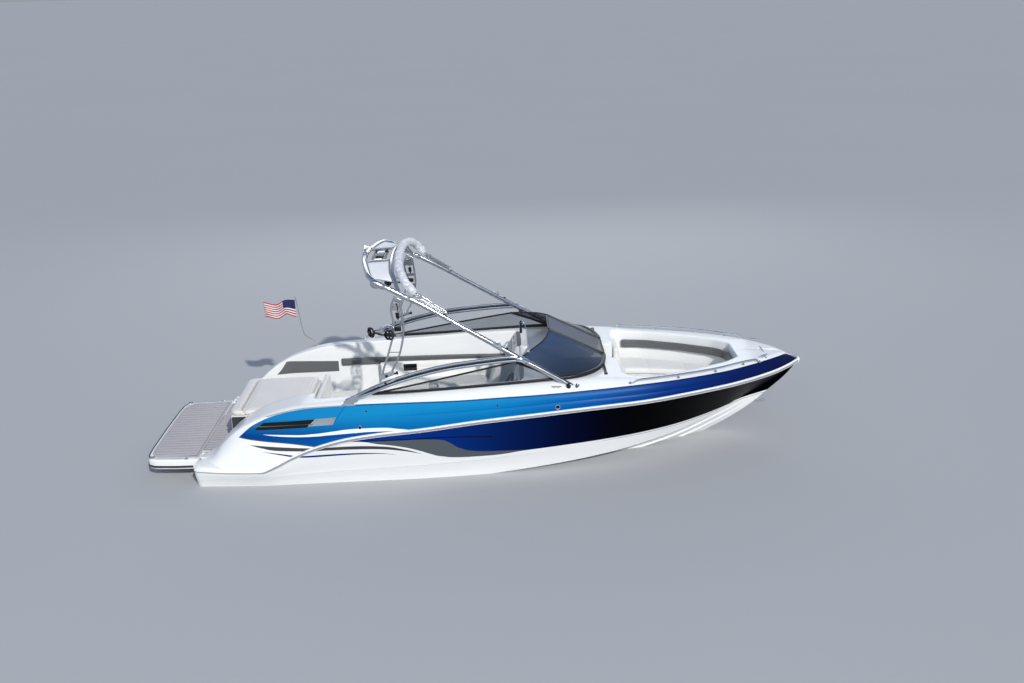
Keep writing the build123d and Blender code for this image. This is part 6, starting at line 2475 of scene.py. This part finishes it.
def build_platform_cleats():
    B = Build()
    for s in (1, -1):
        y0, y1 = sorted((.881 * s, .919 * s))
        V, Fc = slab(round_loop([(-.634, y0), (-.560, y0), (-.560, y1), (-.634, y1)], .018, .008), .2995, .3215, .007, 4, .001)
        B.add(V, Fc, 0)
        for x in (-.615, -.579):
            disc(B, (x, (y0 + y1) / 2, .3206), (0, 0, 1), .0115, .0014, 1, 18, 0)
    o = B.obj("platform_corner_fittings", [M["chrome"], M["glossblack"]])
    return sharp(recalc(o, 0), 40)


def build_engine_box():
    B = Build()
    # four walls with a rounded rim, a kick strip aft and cooling slots forward
    for x0, x1, y0, y1 in ((.435, .466, -.749, .437), (1.368, 1.399, -.749, .437), (.466, 1.368, -.749, -.722), (.466, 1.368, .410, .437)):
        V, Fc = rbox(x0, x1, y0, y1, .311, .449, .006, 2)
        B.add(V, Fc, 0)
    V, Fc = rbox(.4345, .440, -.735, .423, .330, .435, .0018, 1)
    B.add(V, Fc, 1)
    for k in range(5):
        V, Fc = rbox(.4340, .4365, -.60 + k * .22, -.46 + k * .22, .366, .384, .0008, 1)
        B.add(V, Fc, 2)
    o = B.obj("engine_box_walls", [M["liner"], M["darkgrey"], M["glossblack"]])
    return sharp(recalc(o, 0), 40)


def build_hatch():
    B = Build()
    ring = [(.422, .457), (.422, .769), (1.394, .769), (1.394, .457), (1.381, .457), (1.381, .757), (.435, .757), (.435, .457)]
    V, Fc = prism(ring, -.747, .437, .003, 2)
    B.add(V, Fc, 0)
    side = [(.423, .458), (.423, .768), (1.393, .768), (1.393, .458)]
    for y in (-.747, .425):
        V, Fc = prism(side, y, y + .012, .003, 2)
        B.add(V, Fc, 0)
    for ya, yb in ((-.620, -.540), (.220, .300)):
        V, Fc = lathe((.420, ya, .452), (0, 1, 0), [(0, .0035), (.0015, .0064), (yb - ya - .0015, .0064), (yb - ya, .0035)], 18)
        B.add(V, Fc, 1)
    V, Fc = rbox(1.3935, 1.3948, -.25, -.10, .60, .66, .0005, 1)
    B.add(V, Fc, 1)
    for b in ((.4202, .426, -.742, .432, .470, .762), (.426, .760, -.7478, -.742, .560, .762), (.426, .760, .432, .4378, .560, .762)):
        V, Fc = rbox(*b, .0018, 1)
        B.add(V, Fc, 2)
    o = B.obj("hatch_moulding", [M["liner"], M["chrome"], M["darkgrey"]])
    return sharp(recalc(o, 0), 40)


def build_bases():
    out = []
    B = Build()
    V, Fc = prism([(1.453, .263), (1.899, .263), (1.939, .519), (1.453, .519)], -.959, .424, .010, 3)
    B.add(V, Fc, 0)
    for y0, y1 in ((-.88, -.50), (-.42, -.04), (.03, .38)):
        a = Vector((1.9115, 0, .33)), Vector((1.9335, 0, .475))
        for off, ins, mt in ((.0022, 0, 0), (.0034, .016, 0)):
            n = Vector((.988, 0, -.154))
            P = [Vector((a[0].x, y0 + ins, a[0].z + ins * .9)), Vector((a[0].x, y1 - ins, a[0].z + ins * .9)), Vector((a[1].x, y1 - ins, a[1].z - ins * .9)), Vector((a[1].x, y0 + ins, a[1].z - ins * .9))]
            V = [p - n * .004 for p in P] + [p + n * off for p in P]
            B.add(V, [(0, 1, 2, 3), (7, 6, 5, 4), (0, 4, 5, 1), (1, 5, 6, 2), (2, 6, 7, 3), (3, 7, 4, 0)], mt)
        disc(B, (1.9245, (y0 + y1) / 2, .44), (.988, 0, -.154), .016, .004, 1, 18, .2)
    V, Fc = rbox(1.8985, 1.9035, -.94, .405, .270, .300, .001, 1)
    B.add(V, Fc, 2)
    o = B.obj("bench_box", [M["liner"], M["chrome"], M["darkgrey"]])
    out.append((sharp(recalc(o, 0), 40), "bench_base"))
    B = Build()
    V, Fc = rbox(2.151, 3.699, .481, .929, .263, .499, .010, 3)
    B.add(V, Fc, 0)
    for x0, x1 in ((2.24, 2.66), (2.74, 3.14), (3.22, 3.62)):
        V, Fc = rbox(x0, x1, .4785, .486, .315, .470, .003, 2)
        B.add(V, Fc, 0)
        V, Fc = rbox(x0 + .02, x1 - .02, .4768, .482, .332, .453, .0015, 1)
        B.add(V, Fc, 0)
        disc(B, ((x0 + x1) / 2, .4765, .435), (0, -1, 0), .016, .004, 1, 18, .2)
    V, Fc = rbox(2.16, 3.69, .4800, .484, .268, .296, .001, 1)
    B.add(V, Fc, 2)
    o = B.obj("lounge_box", [M["liner"], M["chrome"], M["darkgrey"]])
    out.append((sharp(recalc(o, 0), 40), "port_lounge_base"))
    return out


# =====================================================================  fittings set on the skin of the boat
def skin_tree(*objs):
    V, P = [], []
    for o in objs:
        n = len(V)
        V += [v.co.copy() for v in o.data.vertices]
        P += [tuple(i + n for i in f.vertices) for f in o.data.polygons]
    return BVHTree.FromPolygons(V, P)


def side_at(tree, x, z, s=-1, start=3.0):
    h = tree.ray_cast(Vector((x, s * start, z)), Vector((0, -s, 0)))
    return (h[0], h[1]) if h[0] is not None else (None, None)


def side_patch(tree, corners, nu, nv, s, out=.0, start=3.0):
    """A grid over four (x, z) corners laid on the side skin: rows of points."""
    a, b, c, d = [Vector(p) for p in corners]
    G = []
    for i in range(nu + 1):
        row = []
        for j in range(nv + 1):
            u, v = i / nu, j / nv
            p = (a * (1 - u) + b * u) * (1 - v) + (d * (1 - u) + c * u) * v
            h, n = side_at(tree, p.x, p.y, s, start)
            if h is None:
                h = Vector((p.x, s * 1.0, p.y))
            row.append(Vector((h.x, h.y + s * out, h.z)))
        G.append(row)
    return G


def block_on(B, G, t, s, mat):
    """A plate of thickness t over a skin grid."""
    a, b = len(G), len(G[0])
    V = [p - Vector((0, s * .003, 0)) for r_ in G for p in r_] + [p + Vector((0, s * t, 0)) for r_ in G for p in r_]
    o = a * b
    Fc = []
    for i in range(a - 1):
        for j in range(b - 1):
            q = (i * b + j, (i + 1) * b + j, (i + 1) * b + j + 1, i * b + j + 1)
            Fc.append(tuple(reversed(q)))
            Fc.append(tuple(o + k for k in q))
    rim = [i * b for i in range(a)] + [(a - 1) * b + j for j in range(1, b)] + [i * b + b - 1 for i in range(a - 2, -1, -1)] + [j for j in range(b - 2, 0, -1)]
    for k in range(len(rim)):
        p, q = rim[k], rim[(k + 1) % len(rim)]
        Fc.append((p, q, o + q, o + p))
    B.add(V, Fc, mat)


def build_vents(tree):
    B = Build()
    for s in (-1, 1):
        cor = [(.827, .781), (1.483, .829), (1.578, .916), (.941, .865)]
        block_on(B, side_patch(tree, cor, 16, 5, s), .004, s, 0)
        # rim and slats
        P = [Vector(c) for c in cor]
        for i in range(4):
            a, b = P[i], P[(i + 1) % 4]
            pts = []
            for k in range(13):
                q = a + (b - a) * (k / 12)
                h, _ = side_at(tree, q.x, q.y, s)
                if h is not None:
                    pts.append(Vector((h.x, h.y + s * .005, h.z)))
            if len(pts) > 2:
                V, Fc = sweep(pts, circle(.0045, 8))
                B.add(V, Fc, 0)
        for v in (.22, .40, .58, .76):
            a = P[0] + (P[3] - P[0]) * v
            b = P[1] + (P[2] - P[1]) * v
            pts = []
            for k in range(15):
                q = a + (b - a) * (.025 + .95 * k / 14)
                h, _ = side_at(tree, q.x, q.y, s)
                if h is not None:
                    pts.append(Vector((h.x, h.y + s * .007, h.z)))
            V, Fc = sweep(pts, rrect(.008, .010, .003, 2), up=(0, 0, 1))
            B.add(V, Fc, 2 if v == .40 else 0)
        block_on(B, side_patch(tree, [(.815, .815), (1.561, .862), (1.566, .869), (.822, .823)], 16, 1, s), .0100, s, 3)
        block_on(B, side_patch(tree, [(1.498, .837), (1.808, .857), (1.857, .944), (1.594, .924)], 8, 4, s), .004, s, 1)
        for x, z in ((1.540, .852), (1.79, .868), (1.83, .930), (1.612, .913)):
            h, n = side_at(tree, x, z, s)
            if h is not None:
                disc(B, (h.x, h.y + s * .004, h.z), (0, s, 0), .005, .0018, 0, 12, .2)
    o = B.obj("side_vents", [M["glossblack"], M["chrome"], M["darkgrey"], M["midgrey"]])
    return sharp(recalc(o, 0), 40)


def build_side_fittings(tree, sides=(-1, 1)):
    B = Build()
    for x, z, r in ((4.565, .985, .032), (2.141, .820, .026), (3.832, 1.027, .014), (2.225, 1.004, .016)):
        for s in sides:
            h, n = side_at(tree, x, z, s)
            if h is None:
                continue
            c = h + Vector((0, s * .0005, 0))
            V, Fc = lathe(c, (0, s, 0), [(-.004, r), (.002, r), (.0055, r * .93), (.0065, r * .84), (.0052, r * .78), (.0045, r * .72)], 30)
            B.add(V, Fc, 0)
            V, Fc = lathe(c, (0, s, 0), [(.001, r * .74), (.0048, r * .72), (.0080 if r > .02 else .005, r * .45), (.0092 if r > .02 else .0055, 0)], 30)
            B.add(V, Fc, 1)
    o = B.obj("side_lamps", [M["chrome"], M["glossblack"]])
    return sharp(recalc(o, 0), 40)


def build_wall_stripe(tree):
    """Grey inset panel inside the port quarter, and the grey step on each stern corner."""
    B = Build()
    G = []
    n = 26
    for i in range(n + 1):
        t = i / n
        row = []
        for j in range(6):
            v = j / 5
            x = (.668 + .150 * v ** .8) * (1 - t) + 1.560 * t
            z = (.675 + .016 * t) * (1 - v) + (.862 - .018 * t) * v
            h = tree.ray_cast(Vector((x, .60, z)), Vector((0, 1, 0)))
            p = h[0] if h[0] is not None else Vector((x, .98, z))
            row.append(Vector((p.x, p.y - .0008, p.z)))
        G.append(row)
    block_on(B, G, .006, -1, 0)
    for s in (1, -1):
        block_on(B, side_patch(tree, [(.080, .290), (.400, .288), (.262, .334), (.040, .340)], 18, 5, s), .003, s, 2)
    # pocket in the port seat's side cushion
    V, Fc = rbox(2.500, 2.690, .835, .850, .712, .812, .006, 2)
    B.add(V, Fc, 1)
    o = B.obj("inset_panels", [M["midgrey"], M["glossblack"], M["nonskid"]])
    return sharp(recalc(o, 0), 40)


# =====================================================================  bow and deck hardware
RAILP = [(5.480, -1.085, 1.140), (5.560, -1.068, 1.205), (6.100, -.945, 1.210), (6.600, -.780, 1.210), (7.000, -.572, 1.206), (7.180, -.485, 1.200), (7.240, -.455, 1.140)]


def build_bow_rails():
    B = Build()
    P = [Vector(p) for p in RAILP]
    path = [P[0], P[0] + (P[1] - P[0]) * .45]
    path += [P[1] + Vector((.0, 0, -.012)), P[1] + Vector((.030, -.004, .003))]
    path += resample(P[1:6], .05)[2:-1]
    path += [P[5] + Vector((.012, -.006, -.002)), P[5] + (P[6] - P[5]) * .5, P[6]]
    V, Fc = sweep(resample(path, .018), circle(.0125, 16))
    B.add(V, Fc, 0)
    for x, y, z in ((5.480, -1.085, 0), (6.100, -.945, 1.210), (6.600, -.780, 1.210), (7.000, -.572, 1.206), (7.240, -.455, 0)):
        zd = float(H(x, abs(y)))
        if z:
            V, Fc = sweep([(x, y, zd - .002), (x, y, (zd + z) / 2), (x, y, z - .002)], circle(.0095, 14))
            B.add(V, Fc, 0)
        V, Fc = lathe((x, y, zd - .002), (0, 0, 1), [(0, .024), (.004, .024), (.007, .021), (.009, .0165), (.018, .0155), (.020, .0125)], 24)
        B.add(V, Fc, 0)
    B.mirror()
    o = B.obj("bow_rail_tubes", [M["chrome"]])
    return sharp(recalc(o, 0), 40)


def build_cleats():
    B = Build()
    for x, y, z, ang in ((7.330, .330, 1.150, -.55), (4.560, 1.168, 1.148, -.02)):
        zd = min(z + .004, float(H(x, y)) + .001)
        d = Vector((math.cos(ang), math.sin(ang), 0))
        c = Vector((x, y, zd))
        s = Vector((-d.y, d.x, 0))
        n = 14
        path = [c + d * t + Vector((0, 0, z + .042 - zd + .004 * (abs(t) / .07) ** 2)) for t in np.linspace(-.068, .068, n)]
        sc = [.35 + .65 * min(1, (1 - abs(2 * i / (n - 1) - 1)) * 3.2) for i in range(n)]
        V, Fc = sweep(path, circle(.0112, 14), scale=sc)
        B.add(V, Fc, 0)
        for t in (-.024, .024):
            q = c + d * t
            V, Fc = lathe(q, (0, 0, 1), [(0, .019), (.003, .018), (.008, .0120), (z + .036 - zd, .0100)], 16)
            B.add(V, Fc, 0)
        lp = [(c + d * a + s * b) for a, b in rrect(.112, .042, .0205, 6)]
        V, Fc = slab([(p.x, p.y) for p in lp], zd - .003, zd + .004, .002, 2, 0)
        B.add(V, Fc, 0)
    B.mirror()
    o = B.obj("cleat_castings", [M["chrome"]])
    return sharp(recalc(o, 0), 40)


def build_anchor_lid():
    B = Build()
    lp = round_loop([(7.103, -.141), (7.391, -.128), (7.391, .128), (7.103, .141)], [.02, .05, .05, .02], .03)
    # dark grey flange under the lid that shows as a dark line round it: painted shadow of the gap
    V, Fc = slab(lp, 1.1497, 1.1560, .001, 1, .001)
    B.add(V, Fc, 3)
    lq = round_loop([(7.109, -.134), (7.384, -.121), (7.384, .121), (7.109, .134)], [.02, .05, .05, .02], .03)
    V, Fc = slab(lq, 1.1555, 1.1606, .003, 3, 0)
    B.add(V, Fc, 0)
    inn = round_loop([(7.128, -.116), (7.368, -.105), (7.368, .105), (7.128, .116)], [.02, .04, .04, .02], .03)
    V, Fc = slab(inn, 1.1602, 1.1612, .0006, 1, 0)
    B.add(V, Fc, 1)
    for s in (1, -1):
        y0, y1 = sorted((.056 * s, .104 * s))
        V, Fc = lathe((7.096, y0, 1.161), (0, 1, 0), [(0, .003), (.001, .005), (y1 - y0 - .001, .005), (y1 - y0, .003)], 16)
        B.add(V, Fc, 2)
        V, Fc = rbox(7.0965, 7.128, y0 + .002, y1 - .002, 1.1590, 1.1630, .0012, 1)
        B.add(V, Fc, 2)
    # dark grey strip along the lid's forward edge: painted shade of the step there
    V, Fc = rbox(7.3765, 7.3905, -.112, .112, 1.1560, 1.1616, .0015, 1)
    B.add(V, Fc, 3)
    disc(B, (7.345, 0, 1.1606), (0, 0, 1), .018, .002, 2, 24, .1)
    o = B.obj("locker_lid", [M["gel"], M["nonskid"], M["chrome"], M["darkgrey"]])
    return sharp(recalc(o, 0), 40)


def build_stem():
    B = Build()
    V, Fc = rbox(7.8705, 7.8995, -.0295, .0295, .956, 1.029, .0125, 4)
    B.add(V, Fc, 0)
    V, Fc = rbox(7.8790, 7.9010, -.0300, .0300, .984, 1.001, .006, 3)
    B.add(V, Fc, 1)
    o = B.obj("stem_end_cap", [M["railwhite"], M["rail"]])
    return sharp(recalc(o, 0), 45)


def ring_path(c, n, r, k=28):
    n = Vector(n).normalized()
    q = Vector((0, 0, 1)) if abs(n.z) < .9 else Vector((1, 0, 0))
    u = n.cross(q).normalized()
    w = n.cross(u)
    return [Vector(c) + (u * math.cos(2 * math.pi * i / k) + w * math.sin(2 * math.pi * i / k)) * r for i in range(k)]


def build_eyes():
    B = Build()
    V, Fc = sweep(ring_path((7.440, 0, .420), (0, 1, 0), .0215), circle(.0075, 12), closed=True)
    B.add(V, Fc, 0)
    V, Fc = rbox(7.330, 7.428, -.008, .008, .400, .440, .004, 2)
    B.add(V, Fc, 0)
    o = B.obj("bow_ring", [M["chrome"]])
    C = Build()
    for s in (1, -1):
        V, Fc = sweep(ring_path((-.034, .850 * s, .040), (0, 1, 0), .0200), circle(.0070, 12), closed=True)
        C.add(V, Fc, 0)
        V, Fc = rbox(-.012, .001, .850 * s - .020, .850 * s + .020, .004, .076, .005, 2)
        C.add(V, Fc, 0)
    p = C.obj("stern_rings", [M["chrome"]])
    return sharp(recalc(o, 0), 40), sharp(recalc(p, 0), 40)


# =====================================================================  flag
def build_staff():
    B = Build()
    P = [Vector((1.252, 1.150, 1.035)), Vector((1.252, 1.150, 1.082)), Vector((1.220, 1.140, 1.120)), Vector((1.120, 1.107, 1.190)), Vector((1.093, 1.100, 1.225)), Vector((1.013, 1.100, 1.776))]
    V, Fc = sweep(resample(P, .02), circle(.0068, 14))
    B.add(V, Fc, 0)
    d = (P[-1] - P[-2]).normalized()
    V, Fc = lathe(P[-1] - d * .004, d, [(0, .0070), (.004, .0098), (.012, .0102), (.017, .0070), (.019, 0)], 18)
    B.add(V, Fc, 0)
    zd = float(H(1.252, 1.150))
    V, Fc = lathe((1.252, 1.150, max(1.010, zd - .004)), (0, 0, 1), [(0, .022), (.005, .022), (.008, .014), (.040, .0125), (.045, .0090)], 22)
    B.add(V, Fc, 0)
    o = B.obj("staff_tube", [M["chrome"]])
    return sharp(recalc(o, 0), 40)


def build_flag():
    """Thirteen stripes and a canton, flying aft from the staff with three soft waves."""
    nu, per = 56, 3
    nv = 13 * per
    V, Fc, ms = [], [], []
    for i in range(nu + 1):
        u = i / nu
        for j in range(nv + 1):
            v = j / nv
            droop = .070 * u ** 1.25 - .030 * math.sin(u * 7.2 + .3) * min(1, u * 2.5)
            x = 1.001 - .425 * u - .016 * math.sin(u * 7.4 + v * 1.2) * u + .020 * v * u * (1 - u)
            y = 1.100 + .0155 * min(1, u * 3.0) * math.sin(u * 11.0 + v * 2.4)
            z = 1.766 - droop - (.262 - .040 * math.sin(u * 3.1) - .030 * u) * v - .010 * math.sin(u * 10.5 + v * 1.5) * min(1, u * 3) - .020 * (1 - u)
            V.append((max(.5465, min(x, 1.0025)), y, max(1.4715, min(z, 1.7665))))
    for i in range(nu):
        for j in range(nv):
            q = i * (nv + 1) + j
            Fc.append((q, q + 1, q + nv + 2, q + nv + 1))
            k = j // per
            ms.append(2 if (i < nu * .4 and k < 7) else (k % 2))
    o = new_obj("flag_cloth", V, Fc, [M["flag_red"], M["flag_white"], M["flag_blue"]], ms)
    th = o.modifiers.new("t", "SOLIDIFY")
    th.thickness = .0016
    th.offset = 0
    set_mesh(o, eval_mesh(o))
    return o


# =====================================================================  drive
def loft(B, rings, mat=0, cap=True):
    n = len(rings[0])
    V = [p for r_ in rings for p in r_]
    Fc = [(k * n + i, k * n + (i + 1) % n, (k + 1) * n + (i + 1) % n, (k + 1) * n + i) for k in range(len(rings) - 1) for i in range(n)]
    if cap:
        Fc += [tuple(reversed(range(n))), tuple((len(rings) - 1) * n + i for i in range(n))]
    B.add(V, Fc, mat)


def foil(x0, x1, w, y, z, n=10, dz=0.0):
    """A streamlined section in plan from x0 (blunt, forward) to x1 (aft), half width w."""
    out = []
    for i in range(n + 1):
        t = i / n
        th = w * (2.97 * math.sqrt(max(t, 0)) - 1.26 * t - 3.52 * t * t + 2.84 * t ** 3 - 1.03 * t ** 4) * .98
        out.append((x0 + (x1 - x0) * t, y + max(th, .0015), z + dz * t))
    for i in range(n - 1, 0, -1):
        t = i / n
        th = w * (2.97 * math.sqrt(t) - 1.26 * t - 3.52 * t * t + 2.84 * t ** 3 - 1.03 * t ** 4) * .98
        out.append((x0 + (x1 - x0) * t, y - max(th, .0015), z + dz * t))
    return out


def build_propeller():
    B = Build()
    c = (-.537, 0, -.66)
    V, Fc = lathe(c, (-1, 0, 0), [(0, .040), (.002, .051), (.010, .0518), (.096, .046), (.100, .043), (.1045, .034), (.1048, .024), (.060, .020)], 40)
    B.add(V, Fc, 0)
    for k in range(4):
        th0 = math.pi / 2 * k + .3
        rings = []
        for j in range(13):
            t = j / 12
            r = .046 + (.1835 - .046) * t
            chord = .098 * (1 - .12 * t) * math.sqrt(max(.0, 1 - t ** 6 * .94)) * (.78 + .5 * t * (1.35 - t))
            pitch = math.atan2(.30 / (2 * math.pi) * 1.0, r)
            rake = -.018 * t * t
            sk = .30 * t * t
            ring = []
            thick_ = .0062 * (1 - t * .72)
            m_ = 9
            for side in (1, -1):
                rr = range(m_ + 1) if side > 0 else range(m_ - 1, 0, -1)
                for i in rr:
                    s = i / m_ - .5
                    hgt = thick_ * math.sqrt(max(0, 1 - (2 * s) ** 2)) * side * .5 + .010 * (1 - (2 * s) ** 2) * t * .4
                    ax = s * chord * math.sin(pitch) + hgt * math.cos(pitch)
                    tg = s * chord * math.cos(pitch) - hgt * math.sin(pitch)
                    a = th0 + sk + tg / r
                    ring.append((max(-.640, min(-.538, -.588 + ax + rake)), r * math.cos(a), -.66 + r * math.sin(a)))
            rings.append(ring)
        loft(B, rings, 0)
    o = B.obj("propeller_cast", [M["prop"]])
    return sharp(recalc(o, 0), 40)
# =====================================================================  the pieces
hull = piece(build_hull(), replaces="hull")
band = piece(build_band(), replaces="deck")
deck = piece(build_deck())
liner = piece(build_liner(), replaces=("console_bases", "bow_seat_base"))
rail = piece(build_rail(), replaces="rub_rail")
SKIN = skin_tree(band, deck)

piece(build_legs(), replaces="tower_legs")
piece(build_braces(), replaces="rear_braces")
piece(build_arch(), "tower", "tower_arch")
piece(build_front_hoop(), "tower", "front_hoop")
piece(build_cross(), "tower", "hoop_crossbars")
piece(build_roof(), "tower", "tower_gussets")
piece(build_tow_pin(), "tower", "tow_pin")
piece(build_struts(), "tower", "tower_struts")
piece(build_racks(), "tower", "board_racks")
piece(build_stays(), "tower", "sun_top_stays")

piece(build_glass_front(), replaces="windshield_glass")
piece(build_glass_side(), replaces="windshield_glass")
piece(build_shield_frame(), replaces="windshield_frame")
dfr, dgl = build_door()
piece(dfr, "centre_panel", "windshield_door_frame")
piece(dgl, "centre_panel", "windshield_door_glass")
piece(build_mirror(), replaces="rear_view_mirror")
for o_, node in build_pods():
    piece(o_, replaces=node)
piece(build_gauges(), replaces="gauges")
piece(build_wheel(), "helm_wheel", "steering_wheel")
piece(build_throttle(), replaces="throttle")
piece(build_pedestal(), replaces="helm_pedestal")

piece(build_platform(), replaces="swim_platform")
piece(build_decking(), replaces="platform_decking")
piece(build_platform_cleats(), replaces="platform_cleats")
piece(build_engine_box(), replaces="engine_box")
piece(build_hatch(), "hatch", "engine_hatch_lid")
for o_, node in build_bases():
    piece(o_, replaces=node)
piece(build_vents(SKIN))
piece(build_side_fittings(SKIN), replaces="side_fittings")
piece(build_wall_stripe(SKIN))
piece(build_bow_rails(), replaces="bow_rails")
piece(build_cleats(), replaces="cleats")
piece(build_anchor_lid(), "anchor_lid", "anchor_hatch")
piece(build_stem(), replaces="stem_cap")
e1, e2 = build_eyes()
piece(e1, replaces="bow_eye")
piece(e2, replaces="stern_eyes")
piece(build_staff(), replaces="flag_staff")
piece(build_flag(), replaces="flag")
piece(build_propeller(), "prop", "propeller")
build_cushions()
run_cushions()
crease_boot()
# =====================================================================  plain materials for the nodes that stay as CAD
KEEP = {
    "cockpit_floor": "nonskid", "bow_floor": "nonskid", "engine_block": "engine", "drive_mount": "drive", "drive_gimbal": "drive", "drive_leg": "drive",
}
for name, o in NODES.items():
    if name in DONE:
        continue
    mt = M[KEEP.get(name, "gel")]
    o.data.materials.clear()
    o.data.materials.append(mt)
    for p in o.data.polygons:
        p.material_index = 0

# =====================================================================  floor and light
floor_me = bpy.data.meshes.new("floor")
floor_me.from_pydata([(-900, -300, 0), (900, -300, 0), (900, 1900, 0), (-900, 1900, 0)], [], [(0, 1, 2, 3)])
floor = bpy.data.objects.new("floor", floor_me)
bpy.context.scene.collection.objects.link(floor)
FN = Nodes("floor_pale")
FN.color(FN.mix(FN.noise(.12, 2), lin(.70, .705, .71), lin(.685, .69, .70)))
FN.set(Roughness=.92)
FN.set(Specular_IOR_Level=.2)
floor_me.materials.append(FN.mat)

world = bpy.data.worlds.new("studio")
bpy.context.scene.world = world
world.use_nodes = True
WT = world.node_tree
bg = WT.nodes["Background"]
tc = WT.nodes.new("ShaderNodeTexCoord")
sp = WT.nodes.new("ShaderNodeSeparateXYZ")
rp = WT.nodes.new("ShaderNodeValToRGB")
WT.links.new(tc.outputs["Generated"], sp.inputs[0])
WT.links.new(sp.outputs[2], rp.inputs[0])
WT.links.new(rp.outputs[0], bg.inputs[0])
el = rp.color_ramp.elements
el[0].position, el[0].color = 0.0, (*lin(.66, .68, .71), 1)
el[1].position, el[1].color = 1.0, (*lin(.50, .58, .72), 1)
for q, c in ((.06, (.84, .86, .88)), (.30, (.70, .76, .84)), (.60, (.58, .66, .78))):
    e_ = el.new(q)
    e_.color = (*lin(*c), 1)
bg.inputs[1].default_value = .78


def area(name, loc, target, size, power, col=(1, 1, 1)):
    d = bpy.data.lights.new(name, "AREA")
    d.shape = "RECTANGLE"
    d.size, d.size_y = size
    d.energy = power
    d.color = col
    o = bpy.data.objects.new(name, d)
    o.location = loc
    o.rotation_euler = (Vector(target) - Vector(loc)).to_track_quat("-Z", "Y").to_euler()
    bpy.context.scene.collection.objects.link(o)
    return o


sun = bpy.data.lights.new("sun", "SUN")
sun.energy = 2.95
sun.angle = math.radians(1.2)
sun.color = (1, .975, .93)
so = bpy.data.objects.new("sun", sun)
so.rotation_euler = (Vector((0, 0, 0)) - Vector((3.6, -8.6, 6.2))).to_track_quat("-Z", "Y").to_euler()
bpy.context.scene.collection.objects.link(so)
area("sky_panel", (2, -14, 10), (4, 0, .8), (12, 4), 260, (.95, .98, 1))
area("far_panel", (4, 13, 7), (4, 0, 1.2), (14, 3), 260, (.96, .98, 1))
vs = bpy.context.scene.view_settings
vs.view_transform = "Standard"
vs.look = "None"
vs.exposure = 0.0
vs.gamma = 1.0

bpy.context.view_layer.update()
